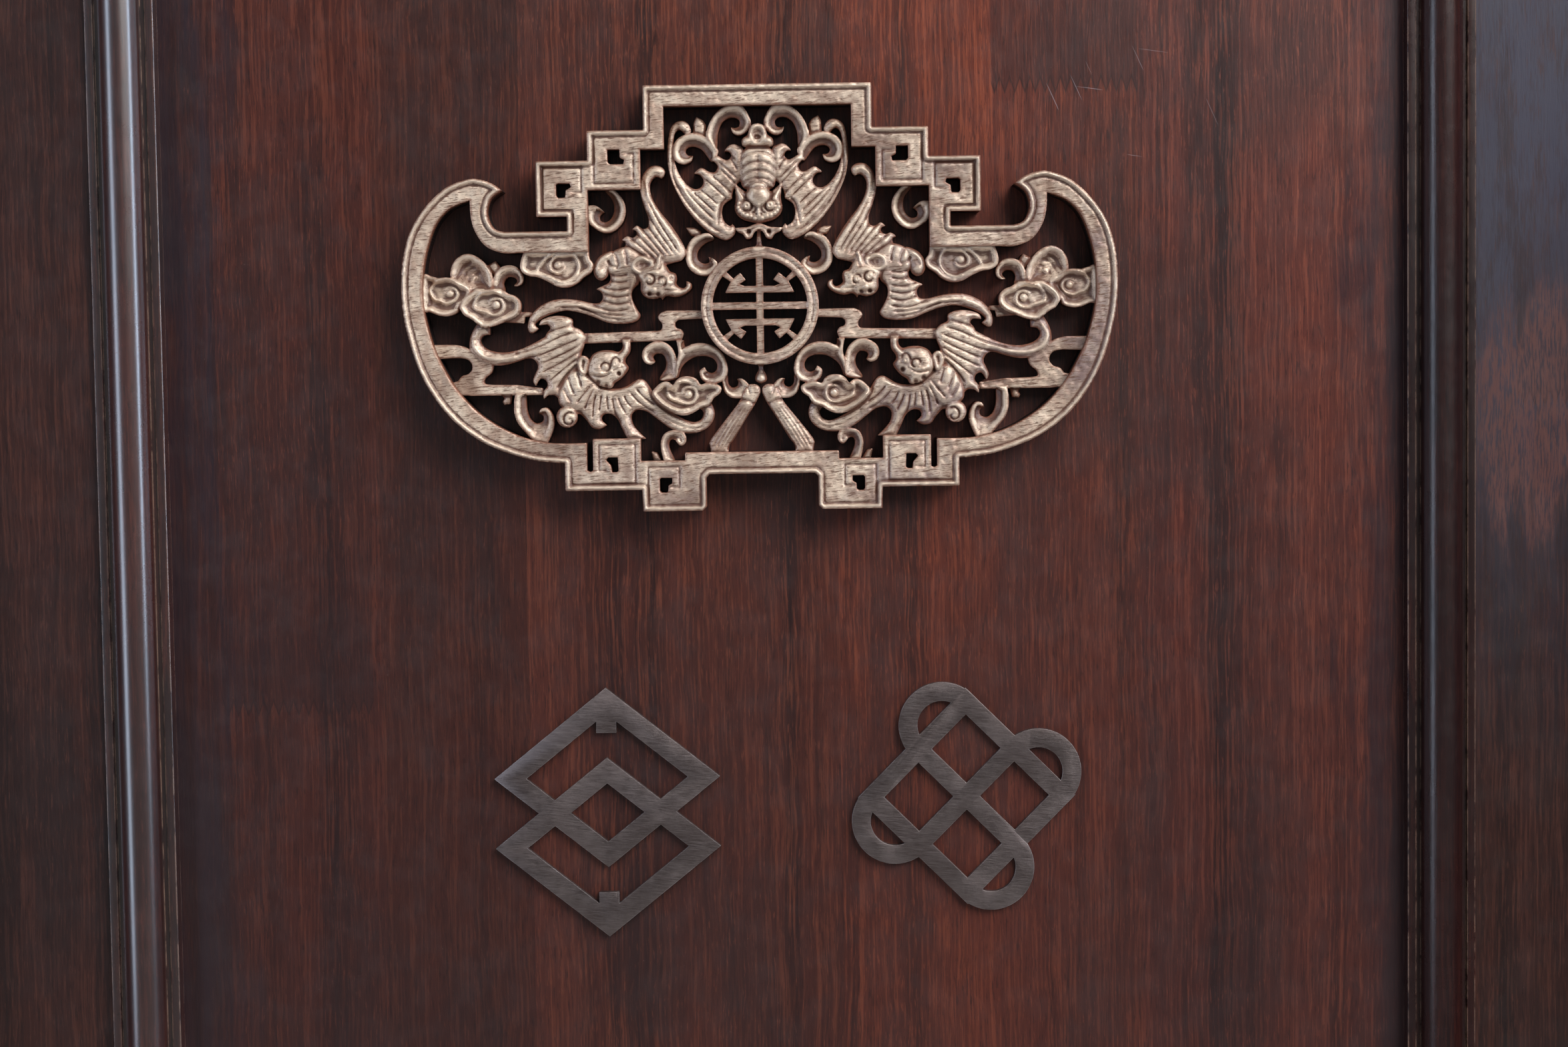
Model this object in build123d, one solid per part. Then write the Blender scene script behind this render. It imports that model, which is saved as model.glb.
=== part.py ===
from build123d import *
import math
import os

# Carved temple door: one leaf of two framed panels with its frame, an openwork carved plaque,
# two brushed metal ornaments, three butt hinges, a ring pull and a sliding door bar.
# The front faces -Y, X runs to the right, Z is up. The leaf opens towards +Y.

os.makedirs("parts", exist_ok=True)

# Leaf
leaf_width = 800.0
leaf_height = 2080.0
leaf_thickness = 42.0
stile_width = 141.5
top_rail_height = 150.0
lock_rail_height = 150.0
bottom_rail_height = 230.0
lock_rail_centre = 810.0
tenon_length = 70.0
tenon_thickness = 14.0
tenon_shoulder = 25.0
tenon_clearance = 0.2

# Panels
panel_thickness = 22.0
panel_recess = 4.0
groove_depth = 12.0
groove_clearance = 0.2
panel_play = 1.5

# Frame
jamb_width = 45.0
frame_depth = 140.0
head_height = 45.0
threshold_height = 45.0
threshold_bevel = 8.0
side_gap = 3.0
top_gap = 3.0
bottom_gap = 5.0
stop_width = 40.0
stop_height = 15.0
stop_bevel = 5.0
stop_clearance = 0.5
frame_tenon = 20.0
frame_tenon_depth = 90.0
frame_tenon_height = 23.0

# Front moulding: fillet, quirk, half-round bead, quirk, fillet
moulding_width = 27.0
moulding_fillet = 3.5
moulding_fillet_rise = 3.0
moulding_quirk = 2.0
moulding_quirk_floor = 1.6
back_bead_width = 16.0
back_bead_radius = 17.0

# Butt hinges
hinge_end_distance = 220.0
hinge_plate_height = 100.0
hinge_plate_width = 32.0
hinge_plate_thickness = 2.5
knuckle_count = 5
knuckle_radius = 6.5
knuckle_gap = 0.4
knuckle_stand_off = 0.5
pin_radius = 3.2
pin_clearance = 0.3
pin_head_height = 4.0
recess_clearance = 0.2

# Screws
screw_head_radius = 4.2
screw_shank_radius = 2.0
screw_length = 24.0
screw_clearance = 0.1
hinge_screw_spacing = 34.0

# Carved plaque
plaque_x = -9.5
plaque_z = 1560.0
plaque_thickness = 17.5
rim_width = 1.8
frame_height = 16.4
roundel_radius = 23.0
roundel_inner_radius = 18.5
roundel_bar = 2.8
roundel_height = 15.5
roundel_bar_height = 14.6
plaque_screw_length = 28.0
facet_length = 5.0

# Metal ornaments
ornament_thickness = 2.5
ornament_stroke = 8.0
ornament_left_x = -63.8
ornament_left_z = -200.5
ornament_left_width = 90.0
ornament_left_height = 100.0
ornament_right_x = 79.5
ornament_right_z = -196.0
knot_pitch = 27.0
knot_stroke = 7.5
ornament_pin_radius = 1.5
ornament_pin_length = 8.0
ornament_pin_spread = 40.0
knot_pin_spread = knot_pitch * math.sqrt(2)
lozenge_share = 0.36

# Ring pull
pull_height = 1000.0
rose_radius = 32.0
rose_thickness = 4.0
rose_rim = 4.0
eye_width = 6.0
eye_radius = 9.5
eye_reach = 17.0
ring_radius = 36.0
ring_wire_radius = 5.0
ring_clearance = 0.6
rose_nail_circle = 25.0

# Door bar
bar_length = 300.0
bar_height = 34.0
bar_thickness = 22.0
bar_clearance = 0.5
bar_travel = 35.0
bar_end_inset = 5.0
bar_end_bevel = 3.0
guide_width = 40.0
guide_wall = 12.0
guide_flange = 20.0
guide_spacing = 180.0
guide_end_distance = 45.0
keeper_length = 41.0
keeper_inset = 2.0
keeper_end_play = 1.5
knob_radius = 11.0
knob_neck_radius = 6.0
knob_reach = 26.0

# Jamb fixings
fixing_hole_radius = 4.5
fixing_hole_count = 4
fixing_first_height = 250.0
fixing_spacing = 550.0
fixing_front_distance = 29.0

# Places worked out from the sizes above
opening_half = leaf_width / 2 + side_gap
frame_half = opening_half + jamb_width
leaf_bottom = threshold_height + bottom_gap
leaf_top = leaf_bottom + leaf_height
head_bottom = leaf_top + top_gap
frame_top = head_bottom + head_height
guide_depth = bar_clearance + bar_thickness + bar_clearance + guide_wall
back_reach = bar_clearance + bar_thickness + knob_reach
frame_front = -(frame_depth + back_reach) / 2
frame_back = frame_front + frame_depth
leaf_back = frame_back
leaf_front = leaf_back - leaf_thickness
panel_front = leaf_front + panel_recess
panel_back = panel_front + panel_thickness
panel_half = leaf_width / 2 - stile_width
bottom_rail_top = leaf_bottom + bottom_rail_height
lock_rail_bottom = leaf_bottom + lock_rail_centre - lock_rail_height / 2
lock_rail_top = lock_rail_bottom + lock_rail_height
top_rail_bottom = leaf_top - top_rail_height
panel_openings = {"lower": (bottom_rail_top, lock_rail_bottom), "upper": (lock_rail_top, top_rail_bottom)}
hinge_axis_x = -(opening_half - side_gap / 2)
hinge_axis_y = leaf_back + knuckle_radius + knuckle_stand_off
hinge_heights = {
    "upper": leaf_top - hinge_end_distance,
    "middle": (leaf_top + leaf_bottom) / 2,
    "lower": leaf_bottom + hinge_end_distance,
}
hinge_screw_y = leaf_back - hinge_plate_width / 2
bar_centre_z = leaf_bottom + lock_rail_centre
bar_front_y = leaf_back + bar_clearance
bar_tip_x = leaf_width / 2 - bar_end_inset
outer_guide_x = leaf_width / 2 - guide_end_distance
inner_guide_x = outer_guide_x - guide_spacing
knob_x = (outer_guide_x + inner_guide_x - bar_travel) / 2
pull_x = leaf_width / 2 - stile_width / 2
eye_y = leaf_front - rose_thickness - eye_reach
ornaments = {
    "ornament_left": (plaque_x + ornament_left_x, plaque_z + ornament_left_z, ornament_pin_spread),
    "ornament_right": (plaque_x + ornament_right_x, plaque_z + ornament_right_z, knot_pin_spread),
}
plaque_screw_places = [(-40.3, 81.5), (40.3, 81.5), (-62.0, -67.4), (62.0, -67.4)]

# Outlines of the plaque's left half, (x, z) from the roundel's centre. A third value marks a sharp corner.
FRAME_TOP = [
    (0, 85.6, 1), (-44.4, 85.6, 1), (-44.4, 68.5, 1), (-66.2, 68.5, 1), (-66.2, 57, 1), (-86.5, 57, 1),
    (-86.5, 35.6, 1), (-74.6, 35.6, 1), (-74.6, 29.9, 1), (-99, 29.9, 1), (-102.5, 31), (-104.6, 33.6),
    (-105.6, 38), (-104, 43), (-99.8, 46, 1), (-103, 48.5), (-108, 50.3), (-113, 50.4), (-121, 47.5),
    (-127.5, 42), (-132.5, 36), (-136.2, 29), (-138.6, 20), (-139.5, 10), (-139.1, 0), (-137.3, -10),
    (-133.6, -22.5), (-127.6, -34), (-119.8, -43.6), (-109.6, -51.4), (-98.8, -56.2), (-88, -59.2),
    (-77, -60.3, 1), (-77, -71.2, 1), (-47, -71.2, 1), (-46.8, -79.6, 1), (-23.4, -79.6, 1),
    (-21.9, -78.2, 1), (-21.9, -66.8, 1), (-20.6, -65.4, 1), (0, -65.4, 1), (0, -56.9, 1),
    (-30.1, -56.9, 1), (-30.1, -60, 1), (-47.4, -60, 1), (-47.4, -51.1, 1), (-66.1, -51.1, 1),
    (-66.1, -63.4, 1), (-67.2, -64, 1), (-68.5, -63.4, 1), (-68.5, -52.6, 1), (-78, -52.7), (-86, -52),
    (-95, -49.5), (-104, -45), (-112, -39), (-119, -31), (-124, -22.5), (-127.4, -15), (-130.2, -5),
    (-131.5, 4), (-131.2, 14), (-129.3, 24), (-125.6, 33.6), (-120, 39.5), (-112.2, 42.4, 1),
    (-112, 36), (-110.3, 30), (-106.2, 24.4), (-100, 21.9), (-94, 21.9, 1), (-66.5, 21.9, 1),
    (-66.5, 45.8, 1), (-45.8, 45.8, 1), (-45.8, 61.2, 1), (-36.5, 61.2, 1), (-36.5, 77.7, 1),
    (0, 77.7, 1),
]
FRET_HOLES = [
    [
        (-58.5, 61.3, 1), (-53.7, 61.3, 1), (-53.7, 58.1, 1), (-51.9, 57.2, 1), (-52.2, 55.5, 1),
        (-57.6, 55.5, 1), (-58.5, 56.4, 1),
    ],
    [
        (-78.7, 48, 1), (-77.9, 48.5, 1), (-73.3, 48.4, 1), (-72.7, 46.9, 1), (-74.8, 45.7, 1),
        (-75.1, 42.9, 1), (-77.9, 42.8, 1), (-78.7, 43.7, 1),
    ],
    [
        (-61.1, -59.4, 1), (-60.2, -58.3, 1), (-56.4, -58.3, 1), (-56.2, -63.7, 1), (-57, -64.2, 1),
        (-58.8, -64.2, 1), (-59.2, -61.6, 1),
    ],
    [
        (-40.2, -67.2, 1), (-39.6, -66.6, 1), (-35.2, -66.7, 1), (-35.3, -68.9, 1), (-36.8, -69.7, 1),
        (-36.9, -72, 1), (-37.7, -72.5, 1), (-39.5, -72.5, 1), (-40.2, -71.8, 1),
    ],
]
HIGH_BAT_WING = [
    (-5.5, 60.5), (-7.3, 62.2), (-9.2, 62.9), (-11.2, 62.4), (-13.1, 60.3, 1), (-11.3, 60.2),
    (-10.3, 58.6), (-11.6, 56.9), (-13.4, 57.2), (-16, 58.6), (-18.4, 57.2, 1), (-16.6, 56),
    (-15.7, 54.2), (-16.9, 52.2), (-19.2, 52.5), (-22.2, 54), (-25.2, 51.8, 1), (-22.8, 51.4),
    (-21.3, 49), (-22.2, 46.6), (-24.6, 45.8), (-27.6, 47.4), (-30.6, 51.4), (-32.4, 56.4), (-33, 62),
    (-32.4, 67.3), (-30.4, 69), (-28.6, 67.4, 1), (-27.2, 66.8), (-25.9, 68.4), (-27.2, 71.4),
    (-30, 72.4), (-33.3, 70.6), (-34.7, 66), (-35.3, 58), (-34, 50), (-30.4, 42), (-26.7, 36.3),
    (-22.6, 31.6), (-18, 27.9), (-12.9, 25.8), (-9.8, 27.6), (-9, 30), (-10.4, 32.2, 1), (-11.1, 31.2),
    (-13.2, 32.7), (-14.3, 36), (-13.5, 39.6), (-10.3, 41.8, 1), (-9.8, 45), (-7.6, 48.2), (-5, 50),
]
HIGH_BAT_BODY = [
    (0, 62.6, 1), (-3, 62.2), (-5.8, 60), (-7.2, 56.5), (-7.5, 52.5), (-6.9, 48.8), (-5, 45.5),
    (0, 44.5, 1),
]
HIGH_BAT_TAIL = [
    (0, 70.8, 1), (-1.7, 70.3), (-3.1, 68.6), (-3.9, 66.2), (-5.7, 65), (-6.2, 63.2), (-4.6, 61.6),
    (0, 61.8, 1),
]
HIGH_BAT_FACE = [
    (0, 47, 1), (-3.4, 46.2), (-5, 44.4), (-9.3, 48, 1), (-8.8, 43.2), (-8.9, 40.6), (-9.3, 38),
    (-8.2, 35.4), (-5.8, 33.6), (-2.4, 32.6), (0, 31.6, 1),
]
HIGH_BAT_LEAF = [
    (0, 33, 1), (-1.6, 31.8), (-4.4, 30.7), (-9.2, 30.4, 1), (-8.3, 28.9), (-6.2, 27.9), (-4.8, 26),
    (-2.8, 26.6), (-1.4, 29), (0, 30, 1),
]
HIGH_BAT_STEM = [(0, 31, 1), (-0.7, 31, 1), (-0.9, 24.5, 1), (-1.6, 22, 1), (0, 22, 1)]
INNER_CURL = [
    (-15.4, 59.8), (-16.4, 62.6), (-18.5, 65), (-21.2, 66.7), (-25, 67.6), (-28.8, 66.8),
    (-31.6, 64.9), (-33.2, 61.6), (-32.8, 58), (-31, 56), (-28.4, 55.6), (-26, 56.8), (-25.3, 59, 1),
    (-27.2, 59), (-28.3, 60.6), (-27.2, 62.2), (-24.6, 62.5), (-21.8, 61.2), (-19.8, 58.6),
    (-17.8, 56.4),
]
TAIL_SCROLL = [
    (-20, 65.6), (-19.2, 70), (-17.3, 73.6), (-14.6, 76.4), (-11, 78.2), (-6.4, 78), (-3.8, 75),
    (-2.4, 71), (-4, 67.9), (-7, 66.4), (-9.6, 67.4), (-10.4, 69.8, 1), (-9, 69.4), (-7.3, 70),
    (-6.9, 72), (-8.2, 73.4), (-11, 73.5), (-13.8, 71.6), (-15.4, 67.6), (-15.8, 62.6), (-16.6, 60.8),
]
TOP_BUD = [
    (-25.2, 67.6, 1), (-24.8, 72, 1), (-23.8, 74, 1), (-21.2, 72.5, 1), (-20, 70.6, 1), (-20.3, 66, 1),
]
SIDE_BAT_UPPER_WING = [
    (-36.3, 52.6), (-37, 54), (-39, 55), (-42, 54.7), (-44.7, 52), (-46, 48), (-45.8, 43.6),
    (-44.4, 38.6), (-42.9, 34), (-43.4, 31.2), (-45.4, 30.6), (-47.6, 31.9), (-49.6, 30.4, 1),
    (-48.1, 30), (-47.8, 28.4), (-49.4, 27.2), (-51.6, 27.9), (-53.7, 26.2, 1), (-52.2, 25.6),
    (-52.4, 23.8), (-54.5, 22.6), (-52, 18), (-42, 15), (-36, 16.6), (-33, 17.4), (-30.3, 18.2),
    (-28.7, 20.8), (-29.2, 23.4), (-31.2, 27.2), (-34.8, 32.6), (-38.6, 37.4), (-41.3, 42),
    (-42.4, 46.4), (-41.8, 49.2), (-40, 50.9), (-38, 50.2, 1), (-37, 50.8),
]
SIDE_BAT_LOWER_WING = [
    (-58.6, 14.5), (-58.2, 12), (-59, 9.8), (-61.4, 8.6), (-64.1, 7.4, 1), (-62.3, 6.5), (-61.4, 4.6),
    (-62.4, 2.3), (-65.4, 1.9), (-71, 3.2), (-77, 3.8), (-82.4, 2.9), (-87.6, 0), (-90.6, -4),
    (-91.1, -8), (-89.6, -9.5), (-86.8, -7.7, 1), (-88.3, -6.2), (-86.8, -4.5), (-82.6, -2.4),
    (-76.5, -0.8), (-70.6, -1.6), (-65, -3.5), (-59.6, -5.7), (-54, -6.2), (-49, -5.5), (-46.9, -3.2),
    (-48.2, -0.6), (-49.9, 3.2), (-49.8, 6.8), (-47, 10), (-47.6, 14.4), (-53, 16.5),
]
SIDE_BAT_BODY = [
    (-58.6, 13.4), (-59.3, 17.4), (-58.2, 20.8), (-55.5, 22.8), (-51.6, 23.6), (-47.6, 22.2),
    (-44, 19), (-43.4, 15), (-47, 12), (-53, 12.6),
]
SIDE_BAT_CURL = [
    (-57, 22), (-60.5, 21.2), (-62.9, 19.5), (-64.5, 16.8), (-64.8, 13.8), (-63.6, 11.4),
    (-61.4, 10.8), (-59.5, 12.2), (-58.6, 15), (-57.4, 18),
]
SIDE_BAT_EAR = [
    (-49.8, 15), (-49.4, 17.6), (-47.4, 19.5), (-44.6, 19.8), (-41.2, 18, 1), (-41.4, 15.6),
    (-43.8, 13.6), (-47, 13),
]
SIDE_BAT_HEAD = [
    (-43.6, 15.4), (-41, 17.6), (-39.4, 20.4), (-37.7, 21.2, 1), (-37.6, 18.4), (-36, 15.6),
    (-34.8, 13.7), (-32.9, 13.1), (-32.3, 11), (-32.6, 9), (-31, 7.5), (-29.3, 7.3), (-28.4, 8.7),
    (-28.8, 10, 1), (-27, 9.4), (-26.5, 7.7), (-27.8, 5.9), (-30.6, 4.4), (-33.4, 3.9), (-36.6, 4.4),
    (-38.3, 2.5, 1), (-38.6, 3.8), (-41.6, 3.2), (-44.6, 4), (-46.3, 6.2), (-46.4, 9.6), (-47.6, 12.4),
    (-46, 14.6),
]
LOW_BAT_LEFT_WING = [
    (-106.4, -6.2), (-106.2, -9.8, 1), (-108.6, -10.1), (-109.9, -12), (-108.7, -14.4),
    (-105.6, -16.1), (-100.6, -16.8), (-95, -15.9), (-90, -13.9), (-84.3, -10.9, 1), (-83.5, -9.2),
    (-82.2, -7.6), (-83.4, -6.1), (-86.6, -6.4, 1), (-85.6, -4.4), (-81.8, -3), (-77, -2.9),
    (-73.6, -4.3), (-73.4, -6.9), (-70.6, -8.3), (-68.5, -11), (-69.2, -14.6), (-70.4, -18),
    (-70, -21.6), (-72.4, -24.2), (-75.4, -26.8), (-78, -30), (-79.3, -35.4, 1), (-80.9, -33.8),
    (-83.4, -33.8), (-85.3, -35.3, 1), (-85.3, -32.4), (-83.7, -30), (-84.4, -27.9), (-86.5, -27.3),
    (-88.4, -30, 1), (-89.4, -28), (-88.4, -25.2), (-87.3, -22.6), (-88.6, -19.9), (-91.4, -19.2),
    (-96, -20.6), (-101.4, -21.8), (-106.6, -21.4), (-111.2, -19.5), (-113.8, -16.6), (-114.1, -12.4),
    (-113, -8.8), (-110.4, -5.2),
]
LOW_BAT_BODY = [
    (-75.6, -25.6), (-73, -24), (-70, -24.2), (-66, -27.5), (-63, -32), (-68, -38), (-73.5, -40.4),
    (-78.7, -38), (-79.5, -34), (-78, -30),
]
LOW_BAT_RIGHT_WING = [
    (-68, -28), (-64.8, -29.6), (-61.4, -31.2), (-57, -31.6), (-53, -30.8), (-50, -29), (-47.6, -27.9),
    (-45.2, -29), (-42.5, -33.3, 1), (-40, -37), (-36, -40.5), (-31.8, -43.2, 1), (-29, -44.6),
    (-26, -45.1), (-23.6, -43.9), (-22.8, -41.4), (-24.4, -39.6, 1), (-23, -36.5), (-20, -37.6),
    (-18.5, -41), (-19, -44.6), (-21.8, -47.8), (-26.2, -49.4), (-31.6, -49.2), (-36.4, -47.1),
    (-41, -43.6), (-44.8, -40.8), (-48.6, -40), (-51, -42), (-50.6, -45.6), (-48.4, -48.6),
    (-45.5, -51.4, 1), (-52.6, -51.8, 1), (-54.8, -47.3), (-56.6, -43.5), (-59.2, -41.4), (-62, -41.7),
    (-62.8, -43.8), (-60.8, -45.8, 1), (-63.3, -47.3), (-66.4, -46.8), (-68.6, -43.9), (-71, -41.4),
    (-73.4, -40),
]
LOW_BAT_HEAD = [
    (-68, -23.6), (-67, -20.2), (-65.2, -17.8), (-62, -16.6), (-58.4, -16.6), (-55.6, -17.2),
    (-54, -15.6), (-54, -12.6, 1), (-51, -12.6, 1), (-51.1, -17), (-53, -20), (-52.9, -21.8),
    (-51.8, -23.3), (-52.8, -25.4), (-55.2, -28), (-57.4, -29.4), (-58.6, -31.2), (-62.8, -30.4),
    (-65.6, -28.2), (-67.4, -26),
]
LOW_BAT_EAR = [
    (-71.6, -22.4), (-70.8, -19.2), (-68.8, -18.6), (-67, -20.4), (-67.6, -23), (-68.4, -26),
    (-70.6, -25.2),
]
LOW_BAT_EYE_CURL = [
    (-76, -38.2), (-78.8, -39), (-80.2, -41.4), (-79.8, -44.2), (-77.8, -46.2), (-75, -46.4),
    (-72.8, -44.6), (-72.2, -41.8), (-73.4, -39.2),
]
CLOUD_OUTER = [
    (-131.6, 13.4), (-128.4, 13.3), (-125.5, 12.6), (-122.6, 12.8), (-119.6, 12.2), (-116.4, 10.4),
    (-113, 7.8), (-114.4, 4), (-117.2, 1.4), (-118.4, -0.9), (-121.6, -2.2), (-125.4, -2.1),
    (-129.2, -0.6), (-132, 0.4),
]
CLOUD_INNER = [
    (-117.4, 1.5), (-115.9, 4.2), (-113.3, 6.5), (-110.8, 7.9), (-108.3, 8), (-106.4, 7.7),
    (-103.8, 8.2), (-100.8, 7.8), (-98.4, 6.2), (-95.6, 5.1), (-93.6, 2.8), (-93.7, -0.6), (-96, -3),
    (-100.6, -5.1), (-104.8, -6.6), (-108.4, -6.8), (-110.6, -5.5), (-112.8, -3.7), (-115.4, -2.2),
    (-117, 0),
]
CLOUD_UPPER = [
    (-66.6, 22.6, 1), (-66.3, 19.4), (-64.8, 17), (-65.6, 14.2), (-68.8, 12), (-71.2, 9.8), (-75, 8.2),
    (-79, 8.6), (-82.4, 10.4), (-84.6, 11.5), (-87.2, 12.5), (-90.4, 13), (-93, 14.8), (-93.3, 18),
    (-91.8, 22.6, 1),
]
CLOUD_LOWER = [
    (-42.8, -34), (-41.2, -31.2), (-38.6, -28.7), (-35.8, -27.5), (-33.2, -28), (-30.4, -27.2),
    (-27.2, -27.5), (-24.4, -28.8), (-21.4, -30.4), (-18, -30.2), (-15.6, -31.6), (-16.2, -34),
    (-18.6, -35.8), (-20.2, -38.2), (-23.4, -39.4), (-26.5, -41.3), (-30, -42.4), (-34.5, -41.4),
    (-39.6, -38),
]
DISH_LEAF = [
    (-120.6, 12), (-120.7, 16), (-119.2, 19.2), (-116.4, 21.4), (-113, 21.8), (-109.6, 20.2),
    (-106.6, 17.2), (-104.6, 13.4), (-104.4, 9), (-106, 6.6), (-112, 6.8), (-117, 9.6),
]
DISH_BUD = [(-106.6, 17.3, 1), (-103.4, 19, 1), (-101.6, 16.6, 1), (-103.6, 12.6, 1)]
CLOUD_SCROLL = [
    (-104.4, 7), (-104.3, 11.6), (-103, 15), (-100.2, 16.9), (-97, 17.2), (-94.2, 15.9), (-92.5, 13),
    (-93, 10.2), (-95, 9), (-96.7, 9.3, 1), (-95.2, 10.6), (-95.6, 12), (-97.4, 12.8), (-99.3, 12.3),
    (-100.4, 10.2), (-100, 6.6),
]
CORNER_CURL = [
    (-57, 46.4), (-54, 43.6), (-52.3, 40.4), (-52.1, 36.8), (-53.4, 33.2), (-56.4, 30.2), (-60, 29.2),
    (-63.6, 30.7), (-66.9, 34), (-67, 40, 1), (-63.6, 40), (-60.5, 37.6, 1), (-62.2, 36.3),
    (-62, 34.2), (-59.8, 33.7), (-57.6, 35.6), (-56.6, 38.8), (-57.4, 42.4), (-60.4, 46.4),
]
ROUNDEL_CURL = [
    (-19.6, 28.6), (-22.8, 28.2), (-25.8, 26.8), (-28, 23.8), (-28.8, 20.2), (-28.3, 16.6),
    (-26.4, 13.8), (-23.4, 12.2), (-19.6, 12.2), (-16.2, 16), (-17.7, 18.4), (-20, 19.6, 1),
    (-19.6, 17.4), (-21.8, 16.9), (-23.9, 18.2), (-24.3, 20.8), (-23, 23.2), (-20.4, 25.2),
    (-17.6, 26.4),
]
ROUNDEL_BUD = [(-28.6, 31, 1), (-25.6, 31, 1), (-22.6, 29.6, 1), (-22.8, 27, 1), (-26.6, 27.8, 1)]
STEP_BAR = [
    (-70, -9.8, 1), (-41, -9.2, 1), (-39, -8.9), (-38.3, -7.2), (-38.9, -5.7), (-40.1, -4.2),
    (-39.2, -2.4), (-36.6, -1.3, 1), (-22, -1.5, 1), (-22, -4.6, 1), (-31.6, -4.9, 1), (-33.2, -5.9),
    (-33, -8), (-31, -8.8), (-30.1, -10.6), (-31, -13, 1), (-70, -13.8, 1),
]
BAR_CURL = [
    (-33.2, -27.9), (-32.8, -22), (-33.6, -18), (-35.4, -15.2), (-38.4, -13.4), (-42.2, -13.6),
    (-45.6, -15.8), (-46.6, -19), (-45.4, -21.6), (-43, -22.4), (-41.4, -21.3, 1), (-42.3, -19.4),
    (-41, -18.2), (-38.8, -18.2), (-37.4, -20.2), (-37.4, -23.6), (-39.8, -28.4),
]
ROUNDEL_ARCH = [
    (-33.4, -27.8, 1), (-33.2, -22), (-32.2, -18), (-33, -13, 1), (-30, -13, 1), (-29.6, -15.6),
    (-26.6, -14.5), (-23, -14.2), (-19.4, -15), (-16.2, -17), (-14, -20), (-13, -23.6), (-13.2, -26.6),
    (-15, -29), (-18.4, -30.6, 1), (-21.6, -29.8), (-23.6, -27.8), (-23.9, -25), (-22, -23.6, 1),
    (-21.2, -25.3), (-19.2, -26), (-17.5, -24.8), (-17.2, -22.6), (-18.6, -20.4), (-21.6, -19.3),
    (-25.4, -19.5), (-28.8, -21.2), (-31.2, -23.8), (-32.4, -27.4, 1),
]
SMALL_SCROLL = [
    (-13.2, -27), (-12.9, -30), (-11.4, -31.8), (-9.5, -31.3), (-8.9, -29.8), (-9.5, -28.5, 1),
    (-7.6, -28.3), (-5.6, -29.8), (-4.4, -32), (-6, -35.4), (-9.4, -36.1), (-12.2, -35.5),
    (-14.4, -33.4), (-15.1, -30.4), (-15.4, -28),
]
RIBBON = [
    (-5.6, -31.2), (-3, -30.5), (-0.9, -31.4), (-0.3, -33.6), (-1.6, -36.7), (-3, -39.2),
    (-6.9, -45.4), (-10.9, -52), (-12.8, -54.5), (-13.2, -57.5, 1), (-20, -57.5, 1), (-20.4, -54.8),
    (-20.3, -52.4), (-15, -45.4), (-9, -37.8), (-7.6, -34.6),
]
CENTRE_KNOT = [(0, -22, 1), (-1.4, -22, 1), (-0.8, -24.6), (-1.9, -26.8), (-2, -29.4), (0, -31.4, 1)]
LOOP_SCROLL = [
    (-34.2, -60.4, 1), (-36, -56.4), (-36.6, -53.6), (-35.7, -51.9), (-34, -52.2), (-32.9, -53.8),
    (-31.4, -54.4), (-29.9, -52.9), (-29.9, -50.6), (-31.4, -48.6), (-35, -48.2), (-38, -49.3),
    (-39.6, -52), (-39.8, -55.4), (-38.7, -60.4, 1),
]
LOOP_BUD = [(-43.6, -56.4, 1), (-41.2, -57, 1), (-39.2, -60.4, 1), (-42.8, -60.4, 1)]
EDGE_SCROLL = [
    (-96.4, -32.6, 1), (-97, -36.6), (-97, -40.4), (-95.8, -44.4), (-93, -48), (-90, -51.4, 1),
    (-84.2, -52.6, 1), (-82.3, -48.4), (-81.3, -44.8), (-82, -41.4), (-84, -38.8), (-86.4, -39),
    (-87.5, -40.9, 1), (-85.8, -42), (-86.2, -44), (-88.6, -44.8), (-91, -43), (-92.2, -39.6),
    (-92.4, -36), (-92.3, -32.6, 1),
]
BAR_STUB = [
    (-102.6, -32.8, 1), (-101, -34.8, 1), (-101.9, -36, 1), (-101.3, -37.4, 1), (-98.6, -37.1, 1),
    (-97.7, -32.8, 1),
]
EDGE_STEP = [
    (-129.4, -13.5, 1), (-121.3, -13.5), (-117.5, -14), (-114.4, -15.2), (-110, -18.6),
    (-104.8, -21.4, 1), (-105.8, -24.6), (-108.3, -26.8), (-108.6, -28.8), (-105.8, -29.4, 1),
    (-96, -29.6, 1), (-85.6, -31, 1), (-85.4, -33.6, 1), (-114, -33.6, 1), (-118.8, -33.2, 1),
    (-121.6, -28.4, 1), (-119, -27.8, 1), (-117.4, -25.8), (-114.8, -25), (-113.2, -22.8),
    (-114, -20.2), (-116.6, -18.9), (-121, -18.8, 1), (-127.6, -19, 1),
]
CLOUD_LINK = [
    (-101, -4.9, 1), (-92.6, -5.5, 1), (-92.2, -3, 1), (-89.6, -2.8, 1), (-89.6, -1.2, 1),
    (-95, -1, 1),
]
EMBLEM_ARM = [
    (0, 5.1, 1), (-13.5, 5.1, 1), (-11, 10, 1), (-7.5, 12.9, 1), (-5.4, 10.1, 1), (-8, 8.5, 1),
    (-6, 7.7, 1), (0, 7.7, 1),
]
EMBLEM_LINK = [(-14.4, 11.6, 1), (-13, 13.4, 1), (-10.2, 10.6, 1), (-11.2, 9.4, 1)]


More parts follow.
